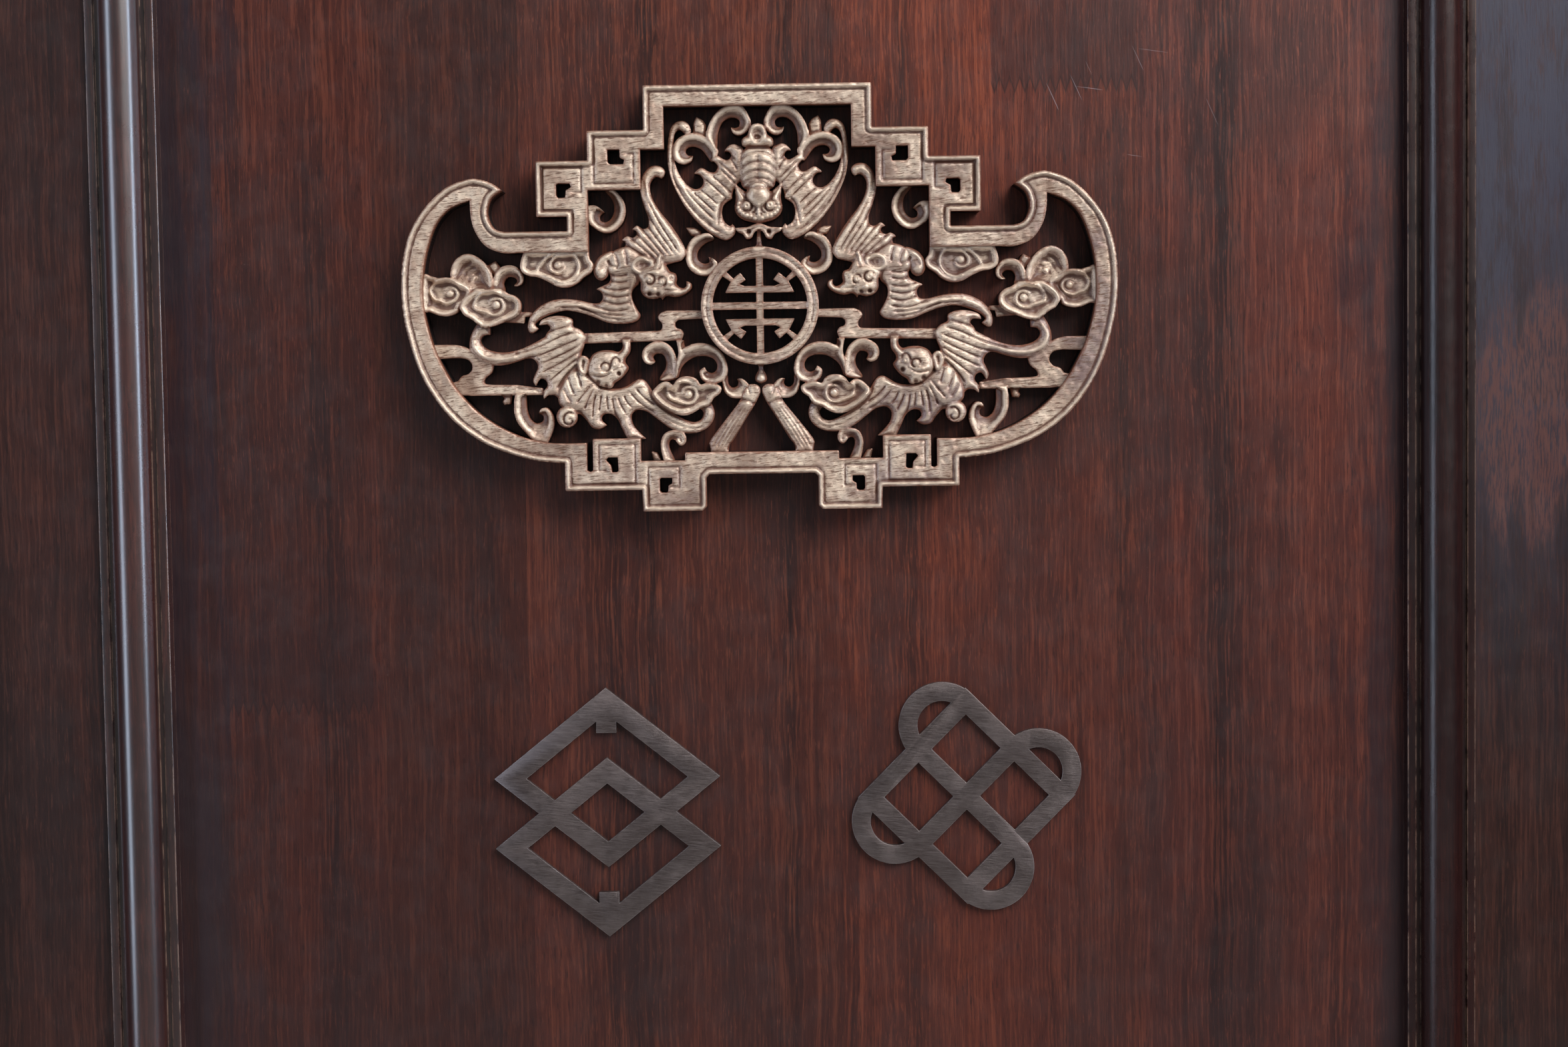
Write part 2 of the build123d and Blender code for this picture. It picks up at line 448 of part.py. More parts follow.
# Each motif: its outline and the height of its face above the panel
HALF_MOTIFS = [
    (HIGH_BAT_WING, 12.6), (HIGH_BAT_BODY, 15.4), (HIGH_BAT_TAIL, 15.8), (HIGH_BAT_FACE, 16.4),
    (HIGH_BAT_LEAF, 13.2), (HIGH_BAT_STEM, 11.0), (INNER_CURL, 11.4), (TAIL_SCROLL, 11.9), (TOP_BUD, 10.0),
    (SIDE_BAT_UPPER_WING, 13.0), (SIDE_BAT_LOWER_WING, 12.7), (SIDE_BAT_BODY, 14.4), (SIDE_BAT_CURL, 13.7),
    (SIDE_BAT_EAR, 15.3), (SIDE_BAT_HEAD, 16.2), (LOW_BAT_LEFT_WING, 12.9), (LOW_BAT_BODY, 14.1),
    (LOW_BAT_RIGHT_WING, 12.4), (LOW_BAT_HEAD, 16.0), (LOW_BAT_EAR, 15.1), (LOW_BAT_EYE_CURL, 14.7),
    (CLOUD_OUTER, 12.1), (CLOUD_INNER, 13.9), (CLOUD_UPPER, 13.5), (CLOUD_LOWER, 14.3), (DISH_LEAF, 11.3),
    (DISH_BUD, 9.6), (CLOUD_SCROLL, 10.9), (CORNER_CURL, 9.9), (ROUNDEL_CURL, 11.7), (ROUNDEL_BUD, 9.2),
    (STEP_BAR, 10.7), (BAR_CURL, 11.1), (ROUNDEL_ARCH, 12.3), (SMALL_SCROLL, 11.6), (RIBBON, 12.8),
    (CENTRE_KNOT, 10.4), (LOOP_SCROLL, 10.6), (LOOP_BUD, 8.8), (EDGE_SCROLL, 11.5), (BAR_STUB, 8.4),
    (EDGE_STEP, 10.2), (CLOUD_LINK, 9.4),
]
EMBLEM_MOTIFS = [(EMBLEM_ARM, 14.6), (EMBLEM_LINK, 9.0)]


def block(x0, x1, y0, y1, z0, z1):
    """A box between two corners."""
    return Pos((x0 + x1) / 2, (y0 + y1) / 2, (z0 + z1) / 2) * Box(abs(x1 - x0), abs(y1 - y0), abs(z1 - z0))


def rod(x, y, z, radius, length, axis):
    """A round bar centred at a point, along X, Y or Z."""
    turn = {"x": Rot(0, 90, 0), "y": Rot(90, 0, 0), "z": Rot(0, 0, 0)}[axis]
    return Pos(x, y, z) * turn * Cylinder(radius, length)


def save(name, shape):
    """Writes one sub-part."""
    solids = list(shape.solids())
    export_step(solids[0] if len(solids) == 1 else Compound(solids), "parts/" + name + ".step")


def countersunk_screw(x, y, z, direction, length, clearance=0.0):
    """A screw whose head face is centred at a point; direction is the way its tip points."""
    cone_height = screw_head_radius - screw_shank_radius
    profile = Plane.XZ * make_face(Polyline(
        (0, clearance), (screw_head_radius + 2 * clearance, clearance),
        (screw_shank_radius + clearance, -cone_height),
        (screw_shank_radius + clearance, -length - clearance),
        (0, -length - clearance), close=True))
    turns = {"+x": Rot(0, -90, 0), "-x": Rot(0, 90, 0), "+y": Rot(90, 0, 0), "-y": Rot(-90, 0, 0)}
    return Pos(x, y, z) * turns[direction] * revolve(profile, Axis.Z)


def smooth_outline(points, step):
    """Points of a closed outline, with rounded stretches between its sharp corners."""
    count = len(points)
    result = []
    for i, here in enumerate(points):
        before, after, beyond = points[i - 1], points[(i + 1) % count], points[(i + 2) % count]
        start_slope = end_slope = (0.0, 0.0)
        if len(here) == 2:
            start_slope = ((after[0] - before[0]) / 2, (after[1] - before[1]) / 2)
        if len(after) == 2:
            end_slope = ((beyond[0] - here[0]) / 2, (beyond[1] - here[1]) / 2)
        span = math.dist(here[:2], after[:2])
        straight = len(here) == 3 and len(after) == 3
        pieces = 1 if straight else max(1, round(span / step))
        for k in range(pieces):
            t = k / pieces
            a = 2 * t**3 - 3 * t**2 + 1
            b = t**3 - 2 * t**2 + t
            c = -2 * t**3 + 3 * t**2
            d = t**3 - t**2
            result.append((a * here[0] + b * start_slope[0] + c * after[0] + d * end_slope[0],
                           a * here[1] + b * start_slope[1] + c * after[1] + d * end_slope[1]))
    return result


def plaque_face(points, mirrored=False):
    """The face of an outline on the plaque, seen from above, around the roundel's centre."""
    sign = -1 if mirrored else 1
    outline = [(sign * x, z) for x, z in smooth_outline(points, facet_length)]
    return make_face(Polyline(*outline, close=True))


def plaque_block(face, low, high):
    """A face of the plaque as a plate between two heights above the panel."""
    place = Plane(origin=(plaque_x, panel_front - low, plaque_z), x_dir=(1, 0, 0), z_dir=(0, -1, 0))
    return extrude(place * face, amount=high - low)


def plaque_plate(points, low, high, mirrored=False):
    """A flat plate of an outline on the plaque, between two heights above the panel."""
    return plaque_block(plaque_face(points, mirrored), low, high)


def build_frame():
    """The jambs, head, threshold and planted stops."""
    hinge_x, lock_x = -opening_half, opening_half
    tenon_y = (frame_front + frame_back) / 2
    mortise_half = frame_tenon_depth / 2 + tenon_clearance

    def cross_member(z0, z1):
        body = block(hinge_x, lock_x, frame_front, frame_back, z0, z1)
        middle = (z0 + z1) / 2
        tongue = block(hinge_x - frame_tenon, lock_x + frame_tenon, tenon_y - frame_tenon_depth / 2,
                       tenon_y + frame_tenon_depth / 2, middle - frame_tenon_height / 2,
                       middle + frame_tenon_height / 2)
        return body + tongue

    def jamb(side):
        inner, outer = side * opening_half, side * frame_half
        post = block(inner, outer, frame_front, frame_back, 0, frame_top)
        for z0, z1 in ((0, threshold_height), (head_bottom, frame_top)):
            middle = (z0 + z1) / 2
            half = frame_tenon_height / 2 + tenon_clearance
            mortise_end = inner + side * (frame_tenon + tenon_clearance)
            post -= block(inner - side, mortise_end, tenon_y - mortise_half, tenon_y + mortise_half,
                          middle - half, middle + half)
        for i in range(fixing_hole_count):
            z = fixing_first_height + i * fixing_spacing
            post -= rod((inner + outer) / 2, frame_front + fixing_front_distance, z, fixing_hole_radius,
                        2 * jamb_width, "x")
        return post

    hinge_jamb = jamb(-1)
    for z in hinge_heights.values():
        hinge_jamb -= hinge_recess(z, -opening_half, -1)
        for screw_z in screw_heights(z):
            hinge_jamb -= countersunk_screw(-opening_half, hinge_screw_y, screw_z, "-x", screw_length,
                                            screw_clearance)
    lock_jamb = jamb(1)
    for place in keeper_screw_places():
        lock_jamb -= countersunk_screw(*place, "-y", screw_length, screw_clearance)
    save("hinge_jamb", hinge_jamb)
    save("lock_jamb", lock_jamb)
    save("head_rail", cross_member(head_bottom, frame_top))
    threshold = cross_member(0, threshold_height)
    front_edge = threshold.edges().filter_by(Axis.X).group_by(Axis.Y)[0].sort_by(Axis.Z)[-1]
    save("threshold", chamfer(front_edge, threshold_bevel))

    stop_back = leaf_front - stop_clearance
    stop_front = stop_back - stop_width
    side_stops = {"stop_hinge_side": -1, "stop_lock_side": 1}
    for name, side in side_stops.items():
        inner = side * (opening_half - stop_height)
        stop = block(side * opening_half, inner, stop_front, stop_back, threshold_height, head_bottom)
        corner = stop.edges().filter_by(Axis.Z).filter_by_position(Axis.X, inner - 0.1, inner + 0.1)
        save(name, chamfer(corner.sort_by(Axis.Y)[0], stop_bevel))
    inner = opening_half - stop_height
    stop = block(-inner, inner, stop_front, stop_back, head_bottom - stop_height, head_bottom)
    corner = stop.edges().filter_by(Axis.X).group_by(Axis.Z)[0].sort_by(Axis.Y)[0]
    save("stop_head", chamfer(corner, stop_bevel))


def screw_heights(hinge_z):
    """Heights of the screws of one hinge plate."""
    return [hinge_z + i * hinge_screw_spacing for i in (-1, 0, 1)]


def hinge_recess(hinge_z, face_x, inward):
    """The shallow seat that a hinge plate is let into; inward is the way into the wood."""
    half = hinge_plate_height / 2 + recess_clearance
    return block(face_x - inward, face_x + inward * hinge_plate_thickness,
                 leaf_back - hinge_plate_width - recess_clearance, leaf_back + 1,
                 hinge_z - half, hinge_z + half)


def hinge_plate(hinge_z, face_x, inward, own_knuckles):
    """One plate of a butt hinge with its share of the knuckles."""
    plate = block(face_x, face_x + inward * hinge_plate_thickness, leaf_back - hinge_plate_width, leaf_back,
                  hinge_z - hinge_plate_height / 2, hinge_z + hinge_plate_height / 2)
    pitch = hinge_plate_height / knuckle_count
    bore = rod(hinge_axis_x, hinge_axis_y, hinge_z, pin_radius + pin_clearance, 2 * hinge_plate_height, "z")
    for i in own_knuckles:
        z = hinge_z - hinge_plate_height / 2 + (i + 0.5) * pitch
        half = pitch / 2 - knuckle_gap / 2
        web = block(face_x, face_x + inward * hinge_plate_thickness, leaf_back - 1, hinge_axis_y,
                    z - half, z + half)
        barrel = rod(hinge_axis_x, hinge_axis_y, z, knuckle_radius, 2 * half, "z")
        plate += (web + barrel) - bore
    for screw_z in screw_heights(hinge_z):
        direction = "-x" if inward < 0 else "+x"
        plate -= countersunk_screw(face_x, hinge_screw_y, screw_z, direction, screw_length, screw_clearance)
    return plate


def build_hinges():
    """Three butt hinges with loose pins and their screws."""
    frame_knuckles = range(0, knuckle_count, 2)
    leaf_knuckles = range(1, knuckle_count, 2)
    leaf_edge = -leaf_width / 2
    pins, jamb_screws, leaf_screws = [], [], []
    for name, z in hinge_heights.items():
        save("hinge_" + name + "_frame_plate", hinge_plate(z, -opening_half, -1, frame_knuckles))
        save("hinge_" + name + "_leaf_plate", hinge_plate(z, leaf_edge, 1, leaf_knuckles))
        top = z + hinge_plate_height / 2
        pin = rod(hinge_axis_x, hinge_axis_y, z, pin_radius, hinge_plate_height, "z")
        head = Cone(knuckle_radius, knuckle_radius / 2, pin_head_height)
        pins.append(pin + Pos(hinge_axis_x, hinge_axis_y, top + pin_head_height / 2) * head)
        for screw_z in screw_heights(z):
            jamb_screws.append(countersunk_screw(-opening_half, hinge_screw_y, screw_z, "-x", screw_length))
            leaf_screws.append(countersunk_screw(leaf_edge, hinge_screw_y, screw_z, "+x", screw_length))
    save("hinge_pins", Compound([s for p in pins for s in p.solids()]))
    save("jamb_hinge_screws", Compound([s for p in jamb_screws for s in p.solids()]))
    save("leaf_hinge_screws", Compound([s for p in leaf_screws for s in p.solids()]))


def panel_grooves():
    """Cutters for the grooves that hold the two panels."""
    reach = panel_half + groove_depth
    return [block(-reach, reach, panel_front - groove_clearance, panel_back + groove_clearance,
                  z0 - groove_depth, z1 + groove_depth) for z0, z1 in panel_openings.values()]


def rail_heights():
    """Lower and upper edge of each rail."""
    return {
        "bottom_rail": (leaf_bottom, bottom_rail_top),
        "lock_rail": (lock_rail_bottom, lock_rail_top),
        "top_rail": (top_rail_bottom, leaf_top),
    }


def build_leaf():
    """The mortise and tenon frame of the leaf and its two panels."""
    middle_y = (leaf_front + leaf_back) / 2

    def tenon(z0, z1, slack):
        reach = panel_half + tenon_length + slack
        half = tenon_thickness / 2 + slack
        return block(-reach, reach, middle_y - half, middle_y + half,
                     z0 + tenon_shoulder - slack, z1 - tenon_shoulder + slack)

    stiles = {"hinge_stile": -1, "lock_stile": 1}
    for name, side in stiles.items():
        edge = side * leaf_width / 2
        stile = block(side * panel_half, edge, leaf_front, leaf_back, leaf_bottom, leaf_top)
        for cutter in panel_grooves():
            stile -= cutter
        for z0, z1 in rail_heights().values():
            stile -= tenon(z0, z1, tenon_clearance)
        if name == "hinge_stile":
            for z in hinge_heights.values():
                stile -= hinge_recess(z, -leaf_width / 2, 1)
                for screw_z in screw_heights(z):
                    stile -= countersunk_screw(-leaf_width / 2, hinge_screw_y, screw_z, "+x", screw_length,
                                               screw_clearance)
        else:
            for place in lock_stile_screw_places():
                stile -= countersunk_screw(*place, "-y", screw_length, screw_clearance)
            for place in rose_nail_places():
                stile -= countersunk_screw(*place, "+y", screw_length, screw_clearance)
        save(name, stile)
    for name, (z0, z1) in rail_heights().items():
        rail = block(-panel_half, panel_half, leaf_front, leaf_back, z0, z1)
        for cutter in panel_grooves():
            rail -= cutter
        rail += tenon(z0, z1, 0)
        if name == "lock_rail":
            for place in guide_screw_places():
                rail -= countersunk_screw(*place, "-y", screw_length, screw_clearance)
        save(name, rail)
    for name, (z0, z1) in panel_openings.items():
        tongue = groove_depth - panel_play
        panel = block(-panel_half - tongue, panel_half + tongue, panel_front, panel_back,
                      z0 - tongue, z1 + tongue)
        if name == "upper":
            for x, z in plaque_screw_places:
                place = (plaque_x + x, panel_back, plaque_z + z)
                panel -= countersunk_screw(*place, "-y", plaque_screw_length, screw_clearance)
            for ornament_x, ornament_z, spread in ornaments.values():
                for pin in ornament_pins(ornament_x, ornament_z, spread, screw_clearance):
                    panel -= pin
        save(name + "_panel", panel)


def moulding_section():
    """Front moulding, from its panel edge outwards; zero height is the face of the stiles."""
    start = moulding_fillet
    bead_start = start + moulding_quirk
    bead_end = moulding_width - bead_start
    radius = (bead_end - bead_start) / 2
    rise, floor = moulding_fillet_rise, moulding_quirk_floor
    left = Polyline((0, -panel_recess), (0, rise), (start, rise), (start, floor), (bead_start, floor),
                    (bead_start, rise))
    arc = ThreePointArc((bead_start, rise), (moulding_width / 2, rise + radius), (bead_end, rise))
    right = Polyline((bead_end, rise), (bead_end, floor), (moulding_width - start, floor),
                     (moulding_width - start, rise), (moulding_width, rise), (moulding_width, 0),
                     (moulding_width / 2, 0), (moulding_width / 2, -panel_recess), (0, -panel_recess))
    return [left, arc, right]


def back_bead_section():
    """Quarter-round bead in the corner between panel and frame, from the frame inwards."""
    depth = leaf_back - panel_back
    return [Polyline((0, depth), (0, 0), (back_bead_width, 0)),
            RadiusArc((0, depth), (back_bead_width, 0), back_bead_radius)]


def mitred_frame(section, face_y, outward_y, edge_half, z0, z1, across, width):
    """Four mitred bars round an opening; across is +1 where the section runs away from the middle."""
    outer_half = edge_half + max(0, across) * width
    inner_half = outer_half - width
    outer_z = (z0 - max(0, across) * width, z1 + max(0, across) * width)
    inner_z = (outer_z[0] + width, outer_z[1] - width)
    centre_z = (z0 + z1) / 2
    sides = {
        "left": ((-1, 0, 0), (-edge_half, centre_z),
                 [(-outer_half, outer_z[0]), (-inner_half, inner_z[0]), (-inner_half, inner_z[1]),
                  (-outer_half, outer_z[1])]),
        "right": ((1, 0, 0), (edge_half, centre_z),
                  [(outer_half, outer_z[0]), (inner_half, inner_z[0]), (inner_half, inner_z[1]),
                   (outer_half, outer_z[1])]),
        "top": ((0, 0, 1), (0, z1),
                [(-outer_half, outer_z[1]), (-inner_half, inner_z[1]), (inner_half, inner_z[1]),
                 (outer_half, outer_z[1])]),
        "bottom": ((0, 0, -1), (0, z0),
                   [(-outer_half, outer_z[0]), (-inner_half, inner_z[0]), (inner_half, inner_z[0]),
                    (outer_half, outer_z[0])]),
    }
    bars = {}
    for name, (away, place, corners) in sides.items():
        u = Vector(*away) * across
        v = Vector(0, outward_y, 0)
        plane = Plane(origin=(place[0], face_y, place[1]), x_dir=u, z_dir=u.cross(v))
        bar = extrude(plane * make_face(section), amount=leaf_height, both=True)
        wire = Wire.make_polygon([Vector(x, face_y - leaf_thickness, z) for x, z in corners], close=True)
        bars[name] = bar & extrude(Face(wire), amount=2 * leaf_thickness, dir=(0, 1, 0))
    return bars


def build_mouldings():
    """Front mouldings and back beads round both panels."""
    for panel, (z0, z1) in panel_openings.items():
        shift = moulding_width / 2
        front = mitred_frame(moulding_section(), leaf_front, -1, panel_half - shift, z0 + shift,
                             z1 - shift, 1, moulding_width)
        for side, bar in front.items():
            save(panel + "_moulding_" + side, bar)
        back = mitred_frame(back_bead_section(), panel_back, 1, panel_half, z0, z1, -1, back_bead_width)
        for side, bar in back.items():
            save(panel + "_back_bead_" + side, bar)


def carved_plaque():
    """The openwork plaque: a fretted frame with a raised rim, bats, clouds, scrolls and the roundel."""
    frame_face = plaque_face(FRAME_TOP) + plaque_face(FRAME_TOP, True)
    rim_face = frame_face - offset(frame_face, amount=-rim_width)
    plates = [plaque_block(frame_face, 0, frame_height), plaque_block(rim_face, 0, plaque_thickness)]
    for mirrored in (False, True):
        for outline, height in HALF_MOTIFS:
            plates.append(plaque_plate(outline, 0, height, mirrored))
        for outline, height in EMBLEM_MOTIFS:
            upside_down = [(x, -z, *sharp) for x, z, *sharp in outline]
            plates.append(plaque_plate(outline, 0, height, mirrored))
            plates.append(plaque_plate(upside_down, 0, height, mirrored))
    ring = Cylinder(roundel_radius, roundel_height) - Cylinder(roundel_inner_radius, 2 * roundel_height)
    half_bar = roundel_bar / 2
    reach = roundel_inner_radius + 1
    base = Pos(plaque_x, panel_front, plaque_z)
    plates.append(base * Pos(0, -roundel_height / 2, 0) * Rot(90, 0, 0) * ring)
    plates.append(base * block(-half_bar, half_bar, -roundel_bar_height, 0, -reach, reach))
    plates.append(base * block(-reach, reach, -roundel_bar_height, 0, -half_bar, half_bar))
    body = plates[0].fuse(*plates[1:])
    for hole in FRET_HOLES:
        for mirrored in (False, True):
            body -= plaque_plate(hole, -1, plaque_thickness, mirrored)
    for x, z in plaque_screw_places:
        body -= countersunk_screw(plaque_x + x, panel_back, plaque_z + z, "-y", plaque_screw_length,
                                  screw_clearance)
    return body


def build_plaque():
    """The plaque and its screws."""
    save("carved_plaque", carved_plaque())
    screws = [countersunk_screw(plaque_x + x, panel_back, plaque_z + z, "-y", plaque_screw_length)
              for x, z in plaque_screw_places]
    save("plaque_screws", Compound([s for screw in screws for s in screw.solids()]))


def ornament_pins(x, z, spread, clearance=0.0):
    """The two pins that hold a metal ornament."""
    return [rod(x, panel_front + ornament_pin_length / 2, z + side * spread,
                ornament_pin_radius + clearance, ornament_pin_length + 2 * clearance, "y")
            for side in (-1, 1)]


def lozenge(x, z, half_width, half_height):
    """A lozenge outline drawn with the ornament's stroke."""
    inner = 1 - ornament_stroke / math.sin(math.atan2(half_height, half_width)) / half_width
    face = Sketch()
    for share in (1, inner):
        w, h = half_width * share, half_height * share
        outline = make_face(Polyline((w, 0), (0, h), (-w, 0), (0, -h), close=True))
        face = outline if share == 1 else face - outline
    return extrude(Plane(origin=(x, panel_front, z), x_dir=(1, 0, 0), z_dir=(0, -1, 0)) * face,
                   amount=ornament_thickness)


def build_ornaments():
    """Two brushed metal ornaments: interlocked lozenges and an endless knot."""
    x, z, spread = ornaments["ornament_left"]
    half_width = ornament_left_width / 2
    half_height = ornament_left_height * lozenge_share
    offset = ornament_left_height / 2 - half_height
    left = lozenge(x, z - offset, half_width, half_height) + lozenge(x, z + offset, half_width, half_height)
    front = panel_front - ornament_thickness
    for side in (-1, 1):
        near = z + side * (spread - ornament_stroke)
        far = z + side * (ornament_left_height - ornament_stroke) / 2
        left += block(x - ornament_stroke / 2, x + ornament_stroke / 2, front, panel_front,
                      min(near, far), max(near, far))
    for pin in ornament_pins(x, z, spread):
        left += pin
    save("ornament_left", left)

    x, z, spread = ornaments["ornament_right"]
    reach = knot_pitch + knot_stroke / 2
    tilt = Pos(x, panel_front - ornament_thickness / 2, z) * Rot(0, 45, 0)
    right = Part()
    for i in (-1, 0, 1):
        right += tilt * Pos(i * knot_pitch, 0, 0) * Box(knot_stroke, ornament_thickness, 2 * reach)
        right += tilt * Pos(0, 0, i * knot_pitch) * Box(2 * reach, ornament_thickness, knot_stroke)
    outer = knot_pitch / 2 + knot_stroke / 2
    loop = Cylinder(outer, ornament_thickness) - Cylinder(outer - knot_stroke, 2 * ornament_thickness)
    half_loop = loop & Pos(0, outer, 0) * Box(4 * outer, 2 * outer, 2 * ornament_thickness)
    for quarter in range(4):
        turn = Rot(0, 90 * quarter, 0)
        right += tilt * turn * Pos(knot_pitch / 2, 0, knot_pitch) * Rot(90, 0, 0) * half_loop
    for pin in ornament_pins(x, z, spread):
        right += pin
    save("ornament_right", right)


def rose_nail_places():
    """Heads of the nails of the pull's rose."""
    angles = [math.radians(45 + 90 * i) for i in range(4)]
    return [(pull_x + rose_nail_circle * math.cos(a), leaf_front - rose_thickness,
             pull_height + rose_nail_circle * math.sin(a)) for a in angles]


def build_pull():
    """Rose with its eye, the nails that hold it, and the hanging ring."""
    profile = make_face(Polyline((0, 0), (rose_radius, 0), (rose_radius, rose_thickness / 2),
                                 (rose_radius - rose_rim, rose_thickness), (0, rose_thickness), close=True))
    rose = Pos(pull_x, leaf_front, pull_height) * Rot(90, 0, 0) * revolve(Plane.XZ * profile, Axis.Z)
    post = block(pull_x - eye_width / 2, pull_x + eye_width / 2, eye_y, leaf_front - rose_thickness / 2,
                 pull_height - eye_radius, pull_height + eye_radius)
    eye = rod(pull_x, eye_y, pull_height, eye_radius, eye_width, "x")
    hole = rod(pull_x, eye_y, pull_height, ring_wire_radius + ring_clearance, 2 * eye_width, "x")
    rose_and_eye = rose + post + eye - hole
    nails = []
    for place in rose_nail_places():
        rose_and_eye -= countersunk_screw(*place, "+y", screw_length, screw_clearance)
        nails.append(countersunk_screw(*place, "+y", screw_length))
    save("pull_rose", rose_and_eye)
    save("rose_nails", Compound([s for nail in nails for s in nail.solids()]))
    ring_place = Pos(pull_x, eye_y, pull_height - ring_radius) * Rot(90, 0, 0)
    save("pull_ring", ring_place * Torus(ring_radius, ring_wire_radius))


def flange_screw_offset():
    """Distance of a flange's screw from the bar's centre line."""
    return bar_height / 2 + bar_clearance + guide_wall + guide_flange / 2


def guide_screw_places():
    """Screw heads of both guides."""
    return [(x, leaf_back + guide_wall, bar_centre_z + side * flange_screw_offset())
            for x in (inner_guide_x, outer_guide_x) if x < panel_half for side in (-1, 1)]


def lock_stile_screw_places():
    """Screw heads of the guide that stands on the lock stile."""
    return [(x, leaf_back + guide_wall, bar_centre_z + side * flange_screw_offset())
            for x in (inner_guide_x, outer_guide_x) if x >= panel_half for side in (-1, 1)]


def keeper_screw_places():
    """Screw heads of the keeper."""
    x = opening_half + keeper_inset + keeper_length / 2
    return [(x, leaf_back + guide_wall, bar_centre_z + side * flange_screw_offset()) for side in (-1, 1)]


def guide(x0, x1, channel_x0, channel_x1, screws):
    """A wooden guide: a raised block with a channel for the bar and two screwed flanges."""
    half = bar_height / 2 + bar_clearance
    shape = block(x0, x1, leaf_back, leaf_back + guide_depth, bar_centre_z - half - guide_wall,
                  bar_centre_z + half + guide_wall)
    full = half + guide_wall + guide_flange
    shape += block(x0, x1, leaf_back, leaf_back + guide_wall, bar_centre_z - full, bar_centre_z + full)
    shape -= block(channel_x0, channel_x1, leaf_back - 1, leaf_back + guide_depth - guide_wall,
                   bar_centre_z - half, bar_centre_z + half)
    for place in screws:
        shape -= countersunk_screw(*place, "-y", screw_length, screw_clearance)
    return shape


def build_bar():
    """The sliding door bar with its knob, its two guides and the keeper on the lock jamb."""
    places = guide_screw_places() + lock_stile_screw_places()
    guides = {"bar_guide_inner": inner_guide_x, "bar_guide_outer": outer_guide_x}
    for name, x in guides.items():
        own = [p for p in places if abs(p[0] - x) < 1]
        x0, x1 = x - guide_width / 2, x + guide_width / 2
        save(name, guide(x0, x1, x0 - 1, x1 + 1, own))
    screws = [countersunk_screw(*place, "-y", screw_length) for place in places]
    save("guide_screws", Compound([s for screw in screws for s in screw.solids()]))

    x0 = opening_half + keeper_inset
    pocket_end = bar_tip_x + bar_travel + keeper_end_play
    save("bar_keeper", guide(x0, x0 + keeper_length, x0 - 1, pocket_end, keeper_screw_places()))
    screws = [countersunk_screw(*place, "-y", screw_length) for place in keeper_screw_places()]
    save("keeper_screws", Compound([s for screw in screws for s in screw.solids()]))

    bar = block(bar_tip_x - bar_length, bar_tip_x, bar_front_y, bar_front_y + bar_thickness,
                bar_centre_z - bar_height / 2, bar_centre_z + bar_height / 2)
    tip_edges = bar.faces().sort_by(Axis.X)[-1].edges()
    bar = chamfer(tip_edges, bar_end_bevel)
    peg_depth = bar_thickness / 2
    bar -= rod(knob_x, bar_front_y + bar_thickness - peg_depth / 2, bar_centre_z, knob_neck_radius + 0.1,
               peg_depth, "y")
    save("door_bar", bar)
    seat = bar_front_y + bar_thickness
    profile = make_face(Polyline(
        (0, -peg_depth), (knob_neck_radius, -peg_depth), (knob_neck_radius, knob_reach * 0.3),
        (knob_radius, knob_reach * 0.55), (knob_radius, knob_reach * 0.85), (knob_radius * 0.6, knob_reach),
        (0, knob_reach), close=True))
    knob = Pos(knob_x, seat, bar_centre_z) * Rot(-90, 0, 0) * revolve(Plane.XZ * profile, Axis.Z)
    save("bar_knob", knob)


build_frame()
build_hinges()
build_leaf()
build_mouldings()
build_plaque()
build_ornaments()
build_pull()
build_bar()
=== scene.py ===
import logging
import math
from dataclasses import dataclass, field, replace
from enum import Enum
from typing import Callable, Optional, Sequence

import bmesh
import bpy
import numpy as np
from mathutils import Matrix, Vector


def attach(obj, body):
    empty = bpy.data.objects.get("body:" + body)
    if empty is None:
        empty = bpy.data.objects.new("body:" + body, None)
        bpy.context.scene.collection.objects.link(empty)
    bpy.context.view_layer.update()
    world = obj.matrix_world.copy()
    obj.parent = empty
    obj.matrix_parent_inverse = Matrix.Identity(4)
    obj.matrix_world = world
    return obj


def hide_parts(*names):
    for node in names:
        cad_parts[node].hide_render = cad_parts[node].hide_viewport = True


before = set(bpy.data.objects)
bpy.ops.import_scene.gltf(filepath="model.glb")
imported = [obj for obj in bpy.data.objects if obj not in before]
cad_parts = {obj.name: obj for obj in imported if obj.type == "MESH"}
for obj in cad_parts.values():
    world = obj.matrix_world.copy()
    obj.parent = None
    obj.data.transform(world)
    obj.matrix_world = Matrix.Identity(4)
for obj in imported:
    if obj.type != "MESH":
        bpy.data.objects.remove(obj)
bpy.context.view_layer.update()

logging.basicConfig(level=logging.INFO, format="%(message)s")
log = logging.getLogger("temple_door")

MM = 0.001
FAR = 1e9
TINY = 1e-12
SLIGHT = 1e-6
BRIGHTEST = 255
Point = tuple[float, float]
Outline = Sequence[tuple[float, ...]]
Colour = tuple[float, float, float]
Field = tuple[float, float, float, float]


def tone(red: int, green: int, blue: int) -> Colour:
    """A display colour, 0 to 255 a channel, as linear light.

    Args:
        red, green, blue: channel values from 0 to 255.

    Returns:
        The colour as linear light.
    """
    def linear(value: int) -> float:
        """One channel as linear light."""
        share = value / BRIGHTEST
        return share / 12.92 if share <= 0.04045 else ((share + 0.055) / 1.055) ** 2.4
    return linear(red), linear(green), linear(blue)


